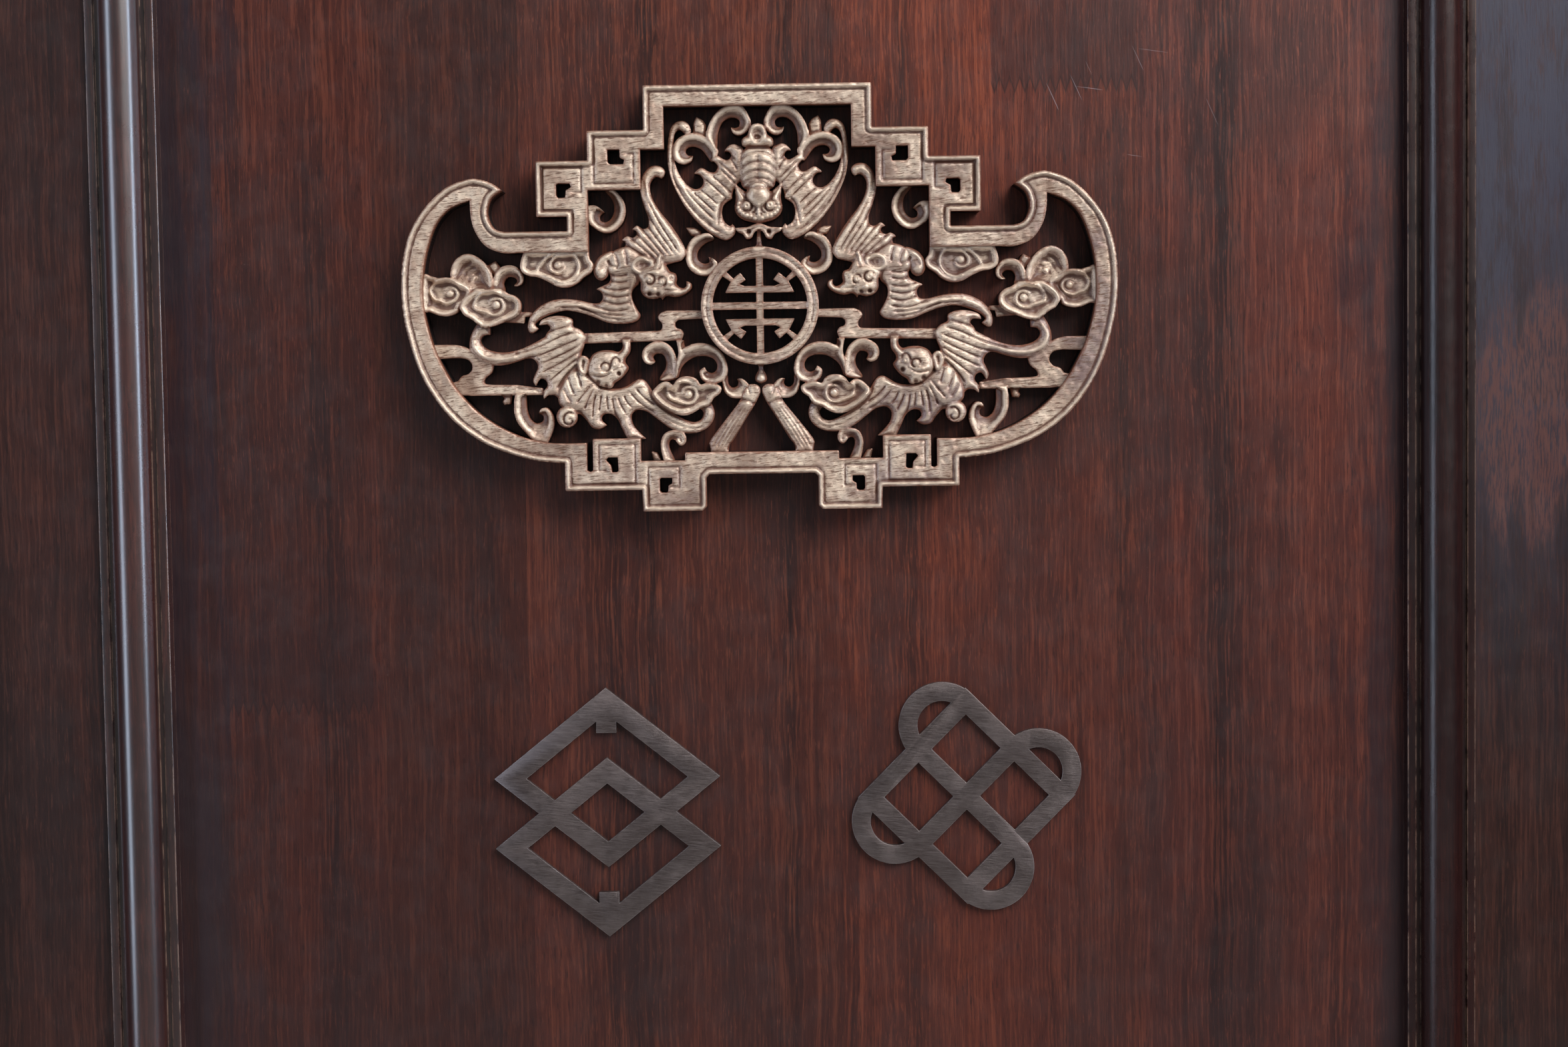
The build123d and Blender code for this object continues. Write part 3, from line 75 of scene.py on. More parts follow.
class Shader:
    """The node tree of one finish, with short ways to the nodes that the finishes use."""

    def __init__(self, name: str) -> None:
        """Starts a material with a bare Principled shader.

        Args:
            name: the material's name.
        """
        self.material = bpy.data.materials.new(name)
        self.material.use_nodes = True
        self.nodes = self.material.node_tree.nodes
        self.links = self.material.node_tree.links
        self.surface = self.nodes["Principled BSDF"]
        self._coordinates = self.nodes.new("ShaderNodeTexCoord").outputs["Object"]

    def feed(self, socket: bpy.types.NodeSocket, value: object) -> None:
        """Links a socket, or sets its own value when it gets a number or a colour.

        Args:
            socket: the socket to feed.
            value: another socket, a number or a colour.
        """
        if isinstance(value, bpy.types.NodeSocket):
            self.links.new(value, socket)
        elif isinstance(value, tuple) and len(value) == 3 and socket.type == "RGBA":
            socket.default_value = (*value, 1.0)
        else:
            socket.default_value = value

    def set(self, **values: object) -> None:
        """Feeds the shader's own sockets, named with underscores for spaces."""
        for name, value in values.items():
            self.feed(self.surface.inputs[name.replace("_", " ")], value)

    def place(self, scale: tuple[float, float, float] = (1, 1, 1), turn: tuple[float, float, float] = (0, 0, 0),
              move: tuple[float, float, float] = (0, 0, 0), bend: object = None) -> bpy.types.NodeSocket:
        """Object coordinates in millimetres, moved, turned and scaled.

        Args:
            scale: stretch along each axis, after the turn.
            turn: rotation in degrees.
            move: shift in millimetres.
            bend: an offset added to the coordinates, in millimetres.

        Returns:
            The vector socket.
        """
        metres = self.nodes.new("ShaderNodeVectorMath")
        metres.operation = "SCALE"
        self.links.new(self._coordinates, metres.inputs[0])
        metres.inputs["Scale"].default_value = 1 / MM
        source = metres.outputs[0]
        if bend is not None:
            shift = self.nodes.new("ShaderNodeVectorMath")
            shift.operation = "ADD"
            self.links.new(source, shift.inputs[0])
            self.links.new(bend, shift.inputs[1])
            source = shift.outputs[0]
        mapping = self.nodes.new("ShaderNodeMapping")
        self.links.new(source, mapping.inputs["Vector"])
        mapping.inputs["Location"].default_value = move
        mapping.inputs["Rotation"].default_value = [math.radians(a) for a in turn]
        stretch = self.nodes.new("ShaderNodeVectorMath")
        stretch.operation = "MULTIPLY"
        self.links.new(mapping.outputs[0], stretch.inputs[0])
        stretch.inputs[1].default_value = scale
        return stretch.outputs[0]

    def noise(self, vector: bpy.types.NodeSocket, scale: float, detail: float = 4.0, roughness: float = 0.55,
              colour: bool = False) -> bpy.types.NodeSocket:
        """A noise value, or its colour, at features of about 1/scale millimetres.

        Args:
            vector: coordinates to read it at.
            scale: features a millimetre.
            detail: number of finer layers.
            roughness: strength of the finer layers.
            colour: whether three values are wanted in place of one.

        Returns:
            The noise socket.
        """
        node = self.nodes.new("ShaderNodeTexNoise")
        self.links.new(vector, node.inputs["Vector"])
        node.inputs["Scale"].default_value = scale
        node.inputs["Detail"].default_value = detail
        node.inputs["Roughness"].default_value = roughness
        return node.outputs["Color" if colour else "Fac"]

    def math(self, operation: str, first: object, second: object = 0.0,
             third: object = 0.0) -> bpy.types.NodeSocket:
        """One arithmetic node.

        Args:
            operation: Blender's name for the operation.
            first, second, third: numbers or sockets.

        Returns:
            The result socket.
        """
        node = self.nodes.new("ShaderNodeMath")
        node.operation = operation
        for socket, value in zip(node.inputs, (first, second, third)):
            self.feed(socket, value)
        return node.outputs[0]

    def times(self, first: object, second: object) -> bpy.types.NodeSocket:
        """The product of two numbers or sockets."""
        return self.math("MULTIPLY", first, second)

    def plus(self, first: object, second: object) -> bpy.types.NodeSocket:
        """The sum of two numbers or sockets."""
        return self.math("ADD", first, second)

    def band(self, value: bpy.types.NodeSocket, low: float, high: float, to_low: float = 0.0,
             to_high: float = 1.0) -> bpy.types.NodeSocket:
        """Maps a range of a value onto another, clamped and smooth.

        Args:
            value: the value to map.
            low: value that gives to_low.
            high: value that gives to_high.
            to_low, to_high: the range it is mapped to.

        Returns:
            The result socket.
        """
        node = self.nodes.new("ShaderNodeMapRange")
        node.interpolation_type = "SMOOTHSTEP"
        self.links.new(value, node.inputs["Value"])
        for name, number in (("From Min", low), ("From Max", high), ("To Min", to_low), ("To Max", to_high)):
            node.inputs[name].default_value = number
        return node.outputs[0]

    def mix(self, share: object, first: object, second: object, blend: str = "MIX") -> bpy.types.NodeSocket:
        """Blends two colours.

        Args:
            share: how much of the second colour there is.
            first, second: the colours.
            blend: Blender's name for the blend.

        Returns:
            The colour socket.
        """
        node = self.nodes.new("ShaderNodeMix")
        node.data_type = "RGBA"
        node.blend_type = blend
        self.feed(node.inputs[0], share)
        colours = [socket for socket in node.inputs if socket.type == "RGBA"]
        self.feed(colours[0], first)
        self.feed(colours[1], second)
        return node.outputs[2]

    def ramp(self, value: bpy.types.NodeSocket, stops: Sequence[tuple[float, Colour]],
             constant: bool = False) -> bpy.types.NodeSocket:
        """A colour ramp over a value from 0 to 1.

        Args:
            value: the value that runs along the ramp.
            stops: positions from 0 to 1 and their colours.
            constant: whether the colours change in steps.

        Returns:
            The colour socket.
        """
        node = self.nodes.new("ShaderNodeValToRGB")
        node.color_ramp.interpolation = "CONSTANT" if constant else "LINEAR"
        elements = node.color_ramp.elements
        while len(elements) < len(stops):
            elements.new(0.5)
        for element, (position, colour) in zip(elements, stops):
            element.position = position
            element.color = (*colour, 1.0)
        self.links.new(value, node.inputs[0])
        return node.outputs[0]

    def axis(self, vector: bpy.types.NodeSocket, letter: str) -> bpy.types.NodeSocket:
        """One component of a vector.

        Args:
            vector: the vector.
            letter: X, Y or Z.

        Returns:
            The component socket.
        """
        node = self.nodes.new("ShaderNodeSeparateXYZ")
        self.links.new(vector, node.inputs[0])
        return node.outputs[letter]

    def attribute(self, name: str) -> bpy.types.NodeSocket:
        """A value stored on the piece's vertices.

        Args:
            name: name of the value.

        Returns:
            The value socket.
        """
        node = self.nodes.new("ShaderNodeAttribute")
        node.attribute_name = name
        return node.outputs["Fac"]

    def bump(self, height: bpy.types.NodeSocket, depth_mm: float) -> bpy.types.NodeSocket:
        """Fine relief of a given depth in millimetres.

        Args:
            height: the relief, 0 to 1.
            depth_mm: its depth in millimetres.

        Returns:
            The normal socket.
        """
        node = self.nodes.new("ShaderNodeBump")
        node.inputs["Strength"].default_value = 1.0
        node.inputs["Distance"].default_value = depth_mm * MM
        self.links.new(height, node.inputs["Height"])
        return node.outputs[0]

    def edges(self, radius_mm: float) -> bpy.types.NodeSocket:
        """How far a point is from a sharp edge, read from the bevelled normal: 0 flat, rising at an edge.

        Args:
            radius_mm: reach of the edge in millimetres.

        Returns:
            The edge socket.
        """
        bevel = self.nodes.new("ShaderNodeBevel")
        bevel.samples = 4
        bevel.inputs["Radius"].default_value = radius_mm * MM
        geometry = self.nodes.new("ShaderNodeNewGeometry")
        dot = self.nodes.new("ShaderNodeVectorMath")
        dot.operation = "DOT_PRODUCT"
        self.links.new(bevel.outputs[0], dot.inputs[0])
        self.links.new(geometry.outputs["Normal"], dot.inputs[1])
        return self.math("SUBTRACT", 1.0, dot.outputs["Value"])


class Section(Enum):
    """How a carved motif is shaped between its edges and its crest."""

    FLAT = "flat"
    ROUND = "round"
    WING = "wing"
    DISH = "dish"
    SCROLL = "scroll"


@dataclass(frozen=True)
class Motif:
    """One carved motif: its outline, crest height above the panel, section and the eye it curls round."""

    outline: Outline
    crest: float
    section: Section = Section.ROUND
    half_width: float = 2.6
    drop: float = 2.0
    eye: Point = (0.0, 0.0)
    tilt: tuple[float, float, float, float] = (0.0, 0.0, 0.0, 0.0)


@dataclass(frozen=True)
class Stroke:
    """A groove (negative rise) or a ridge (positive rise) along a line of the carving."""

    rise: float
    width: float
    points: Sequence[Point]


@dataclass(frozen=True)
class Boss:
    """A round swelling (positive rise) or pit (negative rise)."""

    x: float
    z: float
    radius: float
    rise: float


def smooth_line(points: Outline, step: float, closed: bool = True) -> np.ndarray:
    """Samples a rounded line through points; points with a third value are sharp corners.

    Args:
        points: the line's points in millimetres.
        step: spacing of the samples on rounded stretches.
        closed: whether the last point joins the first.

    Returns:
        An array of points, two columns.
    """
    count = len(points)
    result = []
    for i in range(count if closed else count - 1):
        here, after = points[i], points[(i + 1) % count]
        before = points[i - 1] if closed or i > 0 else here
        beyond = points[(i + 2) % count] if closed or i + 2 < count else after
        start = (0.0, 0.0) if len(here) == 3 else ((after[0] - before[0]) / 2, (after[1] - before[1]) / 2)
        end = (0.0, 0.0) if len(after) == 3 else ((beyond[0] - here[0]) / 2, (beyond[1] - here[1]) / 2)
        straight = len(here) == 3 and len(after) == 3
        pieces = 1 if straight else max(2, round(math.dist(here[:2], after[:2]) / step))
        t = np.arange(pieces)[:, None] / pieces
        result.append((2 * t**3 - 3 * t**2 + 1) * np.array(here[:2]) + (t**3 - 2 * t**2 + t) * np.array(start)
                      + (3 * t**2 - 2 * t**3) * np.array(after[:2]) + (t**3 - t**2) * np.array(end))
    if not closed:
        result.append(np.array([points[-1][:2]]))
    return np.concatenate(result)


def line_distance(px: np.ndarray, pz: np.ndarray, line: np.ndarray, closed: bool) -> tuple[np.ndarray, ...]:
    """Distance from points to a line, and the nearest point on it.

    Args:
        px, pz: coordinates of the points, one dimension.
        line: the line's points.
        closed: whether the last point joins the first.

    Returns:
        Distance, nearest x, nearest z and the share of the way along the line.
    """
    start = line if closed else line[:-1]
    end = np.roll(line, -1, axis=0) if closed else line[1:]
    best = np.full(px.shape, FAR)
    near_x, near_z, along = np.zeros(px.shape), np.zeros(px.shape), np.zeros(px.shape)
    for i, ((ax, az), (bx, bz)) in enumerate(zip(start, end)):
        dx, dz = bx - ax, bz - az
        length = dx * dx + dz * dz
        if length < TINY:
            continue
        t = np.clip(((px - ax) * dx + (pz - az) * dz) / length, 0, 1)
        qx, qz = ax + t * dx, az + t * dz
        gap = (px - qx) ** 2 + (pz - qz) ** 2
        closer = gap < best
        best = np.where(closer, gap, best)
        near_x = np.where(closer, qx, near_x)
        near_z = np.where(closer, qz, near_z)
        along = np.where(closer, (i + t) / len(start), along)
    return np.sqrt(best), near_x, near_z, along


def inside_outline(px: np.ndarray, pz: np.ndarray, line: np.ndarray) -> np.ndarray:
    """Whether points lie inside a closed line.

    Args:
        px, pz: coordinates of the points.
        line: the closed line's points.

    Returns:
        True for every point inside.
    """
    inside = np.zeros(px.shape, bool)
    for (ax, az), (bx, bz) in zip(line, np.roll(line, -1, axis=0)):
        if az == bz:
            continue
        crosses = (az > pz) != (bz > pz)
        inside ^= crosses & (px < (bx - ax) * (pz - az) / (bz - az) + ax)
    return inside


def blur(grid: np.ndarray, reach: float, weight: Optional[np.ndarray] = None) -> np.ndarray:
    """Soft blur of a grid by a bell of the given reach in cells, inside a mask where one is given.

    Args:
        grid: the values to blur.
        reach: spread of the bell in cells.
        weight: the mask, if there is one.

    Returns:
        The blurred grid.
    """
    size = max(1, int(math.ceil(3 * reach)))
    bell = np.exp(-0.5 * (np.arange(-size, size + 1) / reach) ** 2)
    bell /= bell.sum()

    def pass_over(values: np.ndarray) -> np.ndarray:
        """Blurs along the rows, then along the columns.

        Args:
            values: the values to blur.

        Returns:
            The blurred values.
        """
        padded = np.pad(values, size, mode="edge")
        rows = sum(b * padded[:, k:k + values.shape[1]] for k, b in enumerate(bell))
        return sum(b * rows[k:k + values.shape[0], :] for k, b in enumerate(bell))

    if weight is None:
        return pass_over(grid)
    mask = weight.astype(float)
    return pass_over(grid * mask) / np.maximum(pass_over(mask), SLIGHT)


def ease(low: float, high: float, value: np.ndarray) -> np.ndarray:
    """Smooth step from 0 at low to 1 at high."""
    t = np.clip((value - low) / (high - low), 0, 1)
    return t * t * (3 - 2 * t)


def rounding(depth: np.ndarray, radius: float) -> np.ndarray:
    """Fall of a rounded edge: radius at the edge, 0 from one radius inwards."""
    share = 1 - np.clip(depth / radius, 0, 1)
    return 1 - np.sqrt(np.clip(1 - share * share, 0, 1))


LINE_STEP = 0.8
WING_FALL = 0.6
DISH_RIM = 0.8
SCROLL_RIM = 0.12
TAPER = 0.12
THIN_END = 0.25
HOLLOW_REACH = 1.1
MARGIN_REACH = 3
CORNER_CLEARANCE = 0.04
RIM_DROP = 0.25
# Squares of the grid by which of their corners lie inside: c is a corner, e the outline's crossing of a side.
SQUARES = {
    1: ["c0 e0 e3"], 2: ["c1 e1 e0"], 3: ["c0 c1 e1 e3"], 4: ["c2 e2 e1"], 5: ["c0 e0 e3", "c2 e2 e1"],
    6: ["e0 c1 c2 e2"], 7: ["c0 c1 c2 e2 e3"], 8: ["c3 e3 e2"], 9: ["c0 e0 e2 c3"], 10: ["c1 e1 e0", "c3 e3 e2"],
    11: ["c0 c1 e1 e2 c3"], 12: ["c2 c3 e3 e1"], 13: ["c0 e0 e1 c2 c3"], 14: ["e0 c1 c2 c3 e3"],
    15: ["c0 c1 c2 c3"],
}


@dataclass
class Relief:
    """A height field over a grid, in millimetres from the roundel's centre."""

    step: float
    x_low: float
    x_high: float
    z_low: float
    z_high: float
    edge_radius: float = 0.7
    soften: float = 0.22
    seed: int = 1
    tool_marks: float = 0.075
    mark_size: float = 0.7
    xs: np.ndarray = field(init=False)
    zs: np.ndarray = field(init=False)
    depth: np.ndarray = field(init=False)
    height: np.ndarray = field(init=False)

    def __post_init__(self) -> None:
        """Lays out the grid, whose last column lies on x_high."""
        columns = int(round((self.x_high - self.x_low) / self.step))
        rows = int(round((self.z_high - self.z_low) / self.step))
        self.xs = self.x_high - self.step * np.arange(columns, -1, -1)
        self.zs = self.z_low + self.step * np.arange(rows + 1)
        self.depth = np.full((len(self.zs), len(self.xs)), -self.step)
        self.height = np.zeros(self.depth.shape)

    def window(self, line: np.ndarray, margin: float) -> tuple[slice, slice, np.ndarray, np.ndarray]:
        """The part of the grid round a line: two slices and its points.

        Args:
            line: the line.
            margin: room round it, in millimetres.

        Returns:
            Slices over the rows and the columns, and the coordinates of the points in them.
        """
        low, high = line.min(0) - margin, line.max(0) + margin
        columns = slice(*np.searchsorted(self.xs, (low[0], high[0])))
        rows = slice(*np.searchsorted(self.zs, (low[1], high[1])))
        px, pz = np.meshgrid(self.xs[columns], self.zs[rows])
        return rows, columns, px, pz

    def add(self, motif: Motif) -> None:
        """Lays a motif over what is there; the higher surface shows.

        Args:
            motif: the motif.
        """
        line = smooth_line(motif.outline, LINE_STEP)
        rows, columns, px, pz = self.window(line, 2 * self.step)
        if px.size == 0:
            return
        gap, near_x, near_z, _ = line_distance(px.ravel(), pz.ravel(), line, True)
        inside = inside_outline(px.ravel(), pz.ravel(), line)
        gap, inside = gap.reshape(px.shape), inside.reshape(px.shape)
        signed = np.where(inside, gap, -gap)
        self.depth[rows, columns] = np.maximum(self.depth[rows, columns], signed)
        top = self.shape(motif, gap, px, pz, near_x.reshape(px.shape), near_z.reshape(px.shape))
        self.height[rows, columns] = np.where(inside, np.maximum(self.height[rows, columns], top),
                                              self.height[rows, columns])

    def shape(self, motif: Motif, gap: np.ndarray, px: np.ndarray, pz: np.ndarray, near_x: np.ndarray,
              near_z: np.ndarray) -> np.ndarray:
        """Height of a motif at points a given distance inside its edge.

        Args:
            motif: the motif.
            gap: distance inside its edge.
            px, pz: the points.
            near_x, near_z: the nearest points of the edge.

        Returns:
            The heights.
        """
        edge = self.edge_radius * rounding(gap, self.edge_radius)
        share = gap / motif.half_width
        slope_x, slope_z, from_x, from_z = motif.tilt
        crest = motif.crest + slope_x * (px - from_x) + slope_z * (pz - from_z)
        if motif.section is Section.FLAT:
            return crest - edge
        if motif.section is Section.ROUND:
            return crest - motif.drop * rounding(gap, motif.half_width)
        if motif.section is Section.WING:
            return crest - edge - motif.drop * (1 - ease(0.0, 1.0, share)) * WING_FALL
        if motif.section is Section.DISH:
            return crest - edge - motif.drop * ease(DISH_RIM, DISH_RIM + motif.half_width, gap)
        eye_x, eye_z = motif.eye
        outward = np.hypot(near_x - eye_x, near_z - eye_z) > np.hypot(px - eye_x, pz - eye_z)
        across = np.where(outward, 0.5 * np.minimum(share, 1), 1 - 0.5 * np.minimum(share, 1))
        return crest - edge - motif.drop * ease(SCROLL_RIM, 1.0, across)

    def cut(self, outline: Outline) -> None:
        """Cuts a hole through the relief.

        Args:
            outline: the hole's outline.
        """
        line = smooth_line(outline, LINE_STEP)
        rows, columns, px, pz = self.window(line, 2.0)
        gap = line_distance(px.ravel(), pz.ravel(), line, True)[0].reshape(px.shape)
        inside = inside_outline(px.ravel(), pz.ravel(), line).reshape(px.shape)
        signed = np.where(inside, -gap, gap)
        self.depth[rows, columns] = np.minimum(self.depth[rows, columns], signed)
        self.height[rows, columns] -= self.edge_radius * rounding(np.maximum(signed, 0), self.edge_radius)

    def stroke(self, mark: Stroke) -> None:
        """Runs a tapered groove or ridge over the surface.

        Args:
            mark: the groove or ridge.
        """
        line = smooth_line(mark.points, LINE_STEP, closed=False)
        rows, columns, px, pz = self.window(line, 3 * mark.width)
        if px.size == 0:
            return
        gap, _, _, along = line_distance(px.ravel(), pz.ravel(), line, False)
        taper = np.clip(np.minimum(along, 1 - along) / TAPER, THIN_END, 1)
        rise = mark.rise * taper * np.exp(-(gap / mark.width) ** 2)
        self.height[rows, columns] += rise.reshape(px.shape)

    def boss(self, mark: Boss) -> None:
        """Raises or sinks a round spot.

        Args:
            mark: the swelling or pit.
        """
        centre = np.array([(mark.x, mark.z)])
        rows, columns, px, pz = self.window(centre, mark.radius)
        gap = np.hypot(px - mark.x, pz - mark.z) / mark.radius
        self.height[rows, columns] += mark.rise * np.sqrt(np.clip(1 - gap**2, 0, 1))

    def detail(self, strokes: Sequence[Stroke], bosses: Sequence[Boss]) -> None:
        """Works the fine carving into the motifs.

        Args:
            strokes: grooves and ridges, made first.
            bosses: swellings and pits.
        """
        for stroke in strokes:
            self.stroke(stroke)
        for boss in bosses:
            self.boss(boss)

    def finish(self, mirrored: bool) -> None:
        """Mirrors the field where it is a half, adds tool marks and softens it.

        Args:
            mirrored: whether the field is the left half of a symmetrical piece.
        """
        if mirrored:
            self.depth = np.concatenate([self.depth, self.depth[:, -2::-1]], axis=1)
            self.height = np.concatenate([self.height, self.height[:, -2::-1]], axis=1)
            self.xs = np.concatenate([self.xs, 2 * self.x_high - self.xs[-2::-1]])
        self.depth[[0, -1], :] = -self.step
        self.depth[:, [0, -1]] = -self.step
        inside = self.depth > 0
        draw = np.random.default_rng(self.seed)
        marks = blur(draw.standard_normal(self.height.shape), self.mark_size / self.step)
        marks *= self.tool_marks / max(marks.std(), 1e-9)
        self.height = blur(self.height, self.soften / self.step, inside) + marks
        self.height = np.where(inside, self.height, 0)

    def hollows(self, reach: float) -> np.ndarray:
        """How deep each spot lies below its surroundings, in millimetres."""
        inside = self.depth > 0
        return blur(self.height, reach / self.step, inside) - self.height

    def mesh(self, name: str, place: Callable[[np.ndarray, np.ndarray, np.ndarray], np.ndarray],
             ceiling: float) -> bpy.types.Object:
        """Builds the closed mesh of the relief, cut out along its outline.

        Args:
            name: the piece's name.
            place: turns x, z and height into row coordinates.
            ceiling: the greatest height, in millimetres.

        Returns:
            The new object, with vertex values "hollow" (depth of grooves), "margin" (distance from the edge) and
            "flank" (1 at the foot of a wall).
        """
        inside = self.depth > 0
        hollow = self.hollows(HOLLOW_REACH)
        px, pz = np.meshgrid(self.xs, self.zs)
        ids = np.full(inside.shape, -1)
        ids[inside] = np.arange(inside.sum())
        margin = np.clip(self.depth, 0, MARGIN_REACH)
        crossings, crossed = self.crossings(px, pz, hollow)
        faces, rim_edges = self.faces(ids, crossings)
        grid = np.stack([px[inside], pz[inside], self.height[inside], hollow[inside], margin[inside]], 1)
        top = np.concatenate([grid, *crossed])
        rim_ids = np.unique(rim_edges)
        feet = {int(v): len(top) + k for k, v in enumerate(rim_ids)}
        foot = top[rim_ids].copy()
        foot[:, 2] = 0.0
        every = np.concatenate([top, foot])
        every[:, 2] = np.clip(every[:, 2], 0.0, ceiling)
        walls = [(b, a, feet[a], feet[b]) for a, b in rim_edges.tolist()]
        coordinates = place(every[:, 0], every[:, 1], every[:, 2])
        mesh = bpy.data.meshes.new(name)
        mesh.from_pydata(coordinates.tolist(), [], faces + walls)
        flank = np.concatenate([np.zeros(len(top)), np.ones(len(foot))])
        for label, values in (("hollow", every[:, 3]), ("margin", every[:, 4]), ("flank", flank)):
            layer = mesh.attributes.new(label, "FLOAT", "POINT")
            layer.data.foreach_set("value", values.astype(np.float32))
        piece = placed(name, mesh)
        close_foot(piece, len(top))
        return piece

    def crossings(self, px: np.ndarray, pz: np.ndarray,
                  hollow: np.ndarray) -> tuple[dict[str, np.ndarray], list[np.ndarray]]:
        """Finds the points at which the outline crosses the lines of the grid.

        Args:
            px, pz: coordinates of the grid's points.
            hollow: depth of the grooves there.

        Returns:
            The crossings' numbers, across and up, and their rows of x, z, height, hollow and margin.
        """
        inside = self.depth > 0
        rows, columns = inside.shape
        count = int(inside.sum())
        crossings, crossed = {}, []
        for key, dj, di in (("across", 0, 1), ("up", 1, 0)):
            a = (slice(0, rows - dj), slice(0, columns - di))
            b = (slice(dj, rows), slice(di, columns))
            cut = inside[a] != inside[b]
            index = np.full(cut.shape, -1)
            index[cut] = count + np.arange(cut.sum())
            count += int(cut.sum())
            crossings[key] = index
            da, db = self.depth[a][cut], self.depth[b][cut]
            t = np.clip(da / (da - db), CORNER_CLEARANCE, 1 - CORNER_CLEARANCE)
            x = px[a][cut] + t * (px[b][cut] - px[a][cut])
            z = pz[a][cut] + t * (pz[b][cut] - pz[a][cut])
            first = inside[a][cut]
            h = np.where(first, self.height[a][cut], self.height[b][cut]) - RIM_DROP * self.edge_radius
            low = np.where(first, hollow[a][cut], hollow[b][cut])
            crossed.append(np.stack([x, z, h, low, np.zeros(len(x))], 1))
        return crossings, crossed

    @staticmethod
    def faces(ids: np.ndarray, crossings: dict[str, np.ndarray]) -> tuple[list[list[int]], np.ndarray]:
        """Fills every square of the grid as far as the outline.

        Args:
            ids: numbers of the grid's points, -1 outside.
            crossings: numbers of the outline's crossings, across and up.

        Returns:
            The faces, and the edges that lie on the outline.
        """
        corner = [ids[:-1, :-1], ids[:-1, 1:], ids[1:, 1:], ids[1:, :-1]]
        side = [crossings["across"][:-1, :], crossings["up"][:, 1:], crossings["across"][1:, :],
                crossings["up"][:, :-1]]
        code = sum((c >= 0).astype(int) << k for k, c in enumerate(corner))
        faces, rim = [], []
        for case, outlines in SQUARES.items():
            here = code == case
            if not here.any():
                continue
            for outline in outlines:
                words = outline.split()
                picks = [(corner if w[0] == "c" else side)[int(w[1])][here] for w in words]
                faces.extend(np.stack(picks, 1).tolist())
                for k, word in enumerate(words):
                    after = words[(k + 1) % len(words)]
                    if word[0] == "e" and after[0] == "e":
                        rim.append(np.stack([picks[k], picks[(k + 1) % len(words)]], 1))
        return faces, np.concatenate(rim)


def close_foot(piece: bpy.types.Object, first_foot: int) -> None:
    """Fills the underside between the feet of the walls.

    Args:
        piece: the relief.
        first_foot: index of the first vertex of the underside.
    """
    work = bmesh.new()
    work.from_mesh(piece.data)
    work.verts.ensure_lookup_table()
    open_edges = [e for e in work.edges if e.is_boundary and all(v.index >= first_foot for v in e.verts)]
    bmesh.ops.triangle_fill(work, edges=open_edges, use_beauty=False, use_dissolve=False, normal=(0, 1, 0))
    work.to_mesh(piece.data)
    work.free()


# Outlines of the plaque's left half, (x, z) from the roundel's centre. A third value marks a sharp corner.
FRAME_TOP = [
    (0, 85.6, 1), (-44.4, 85.6, 1), (-44.4, 68.5, 1), (-66.2, 68.5, 1), (-66.2, 57, 1), (-86.5, 57, 1),
    (-86.5, 35.6, 1), (-74.6, 35.6, 1), (-74.6, 29.9, 1), (-99, 29.9, 1), (-102.5, 31), (-104.6, 33.6),
    (-105.6, 38), (-104, 43), (-99.8, 46, 1), (-103, 48.5), (-108, 50.3), (-113, 50.4), (-121, 47.5),
    (-127.5, 42), (-132.5, 36), (-136.2, 29), (-138.6, 20), (-139.5, 10), (-139.1, 0), (-137.3, -10),
    (-133.6, -22.5), (-127.6, -34), (-119.8, -43.6), (-109.6, -51.4), (-98.8, -56.2), (-88, -59.2),
    (-77, -60.3, 1), (-77, -71.2, 1), (-47, -71.2, 1), (-46.8, -79.6, 1), (-23.4, -79.6, 1),
    (-21.9, -78.2, 1), (-21.9, -66.8, 1), (-20.6, -65.4, 1), (0, -65.4, 1), (0, -56.9, 1),
    (-30.1, -56.9, 1), (-30.1, -60, 1), (-47.4, -60, 1), (-47.4, -51.1, 1), (-66.1, -51.1, 1),
    (-66.1, -63.4, 1), (-67.2, -64, 1), (-68.5, -63.4, 1), (-68.5, -52.6, 1), (-78, -52.7), (-86, -52),
    (-95, -49.5), (-104, -45), (-112, -39), (-119, -31), (-124, -22.5), (-127.4, -15), (-130.2, -5),
    (-131.5, 4), (-131.2, 14), (-129.3, 24), (-125.6, 33.6), (-120, 39.5), (-112.2, 42.4, 1),
    (-112, 36), (-110.3, 30), (-106.2, 24.4), (-100, 21.9), (-94, 21.9, 1), (-66.5, 21.9, 1),
    (-66.5, 45.8, 1), (-45.8, 45.8, 1), (-45.8, 61.2, 1), (-36.5, 61.2, 1), (-36.5, 77.7, 1),
    (0, 77.7, 1),
]
FRET_HOLES = [
    [
        (-58.5, 61.3, 1), (-53.7, 61.3, 1), (-53.7, 58.1, 1), (-51.9, 57.2, 1), (-52.2, 55.5, 1),
        (-57.6, 55.5, 1), (-58.5, 56.4, 1),
    ],
    [
        (-78.7, 48, 1), (-77.9, 48.5, 1), (-73.3, 48.4, 1), (-72.7, 46.9, 1), (-74.8, 45.7, 1),
        (-75.1, 42.9, 1), (-77.9, 42.8, 1), (-78.7, 43.7, 1),
    ],
    [
        (-61.1, -59.4, 1), (-60.2, -58.3, 1), (-56.4, -58.3, 1), (-56.2, -63.7, 1), (-57, -64.2, 1),
        (-58.8, -64.2, 1), (-59.2, -61.6, 1),
    ],
    [
        (-40.2, -67.2, 1), (-39.6, -66.6, 1), (-35.2, -66.7, 1), (-35.3, -68.9, 1), (-36.8, -69.7, 1),
        (-36.9, -72, 1), (-37.7, -72.5, 1), (-39.5, -72.5, 1), (-40.2, -71.8, 1),
    ],
]
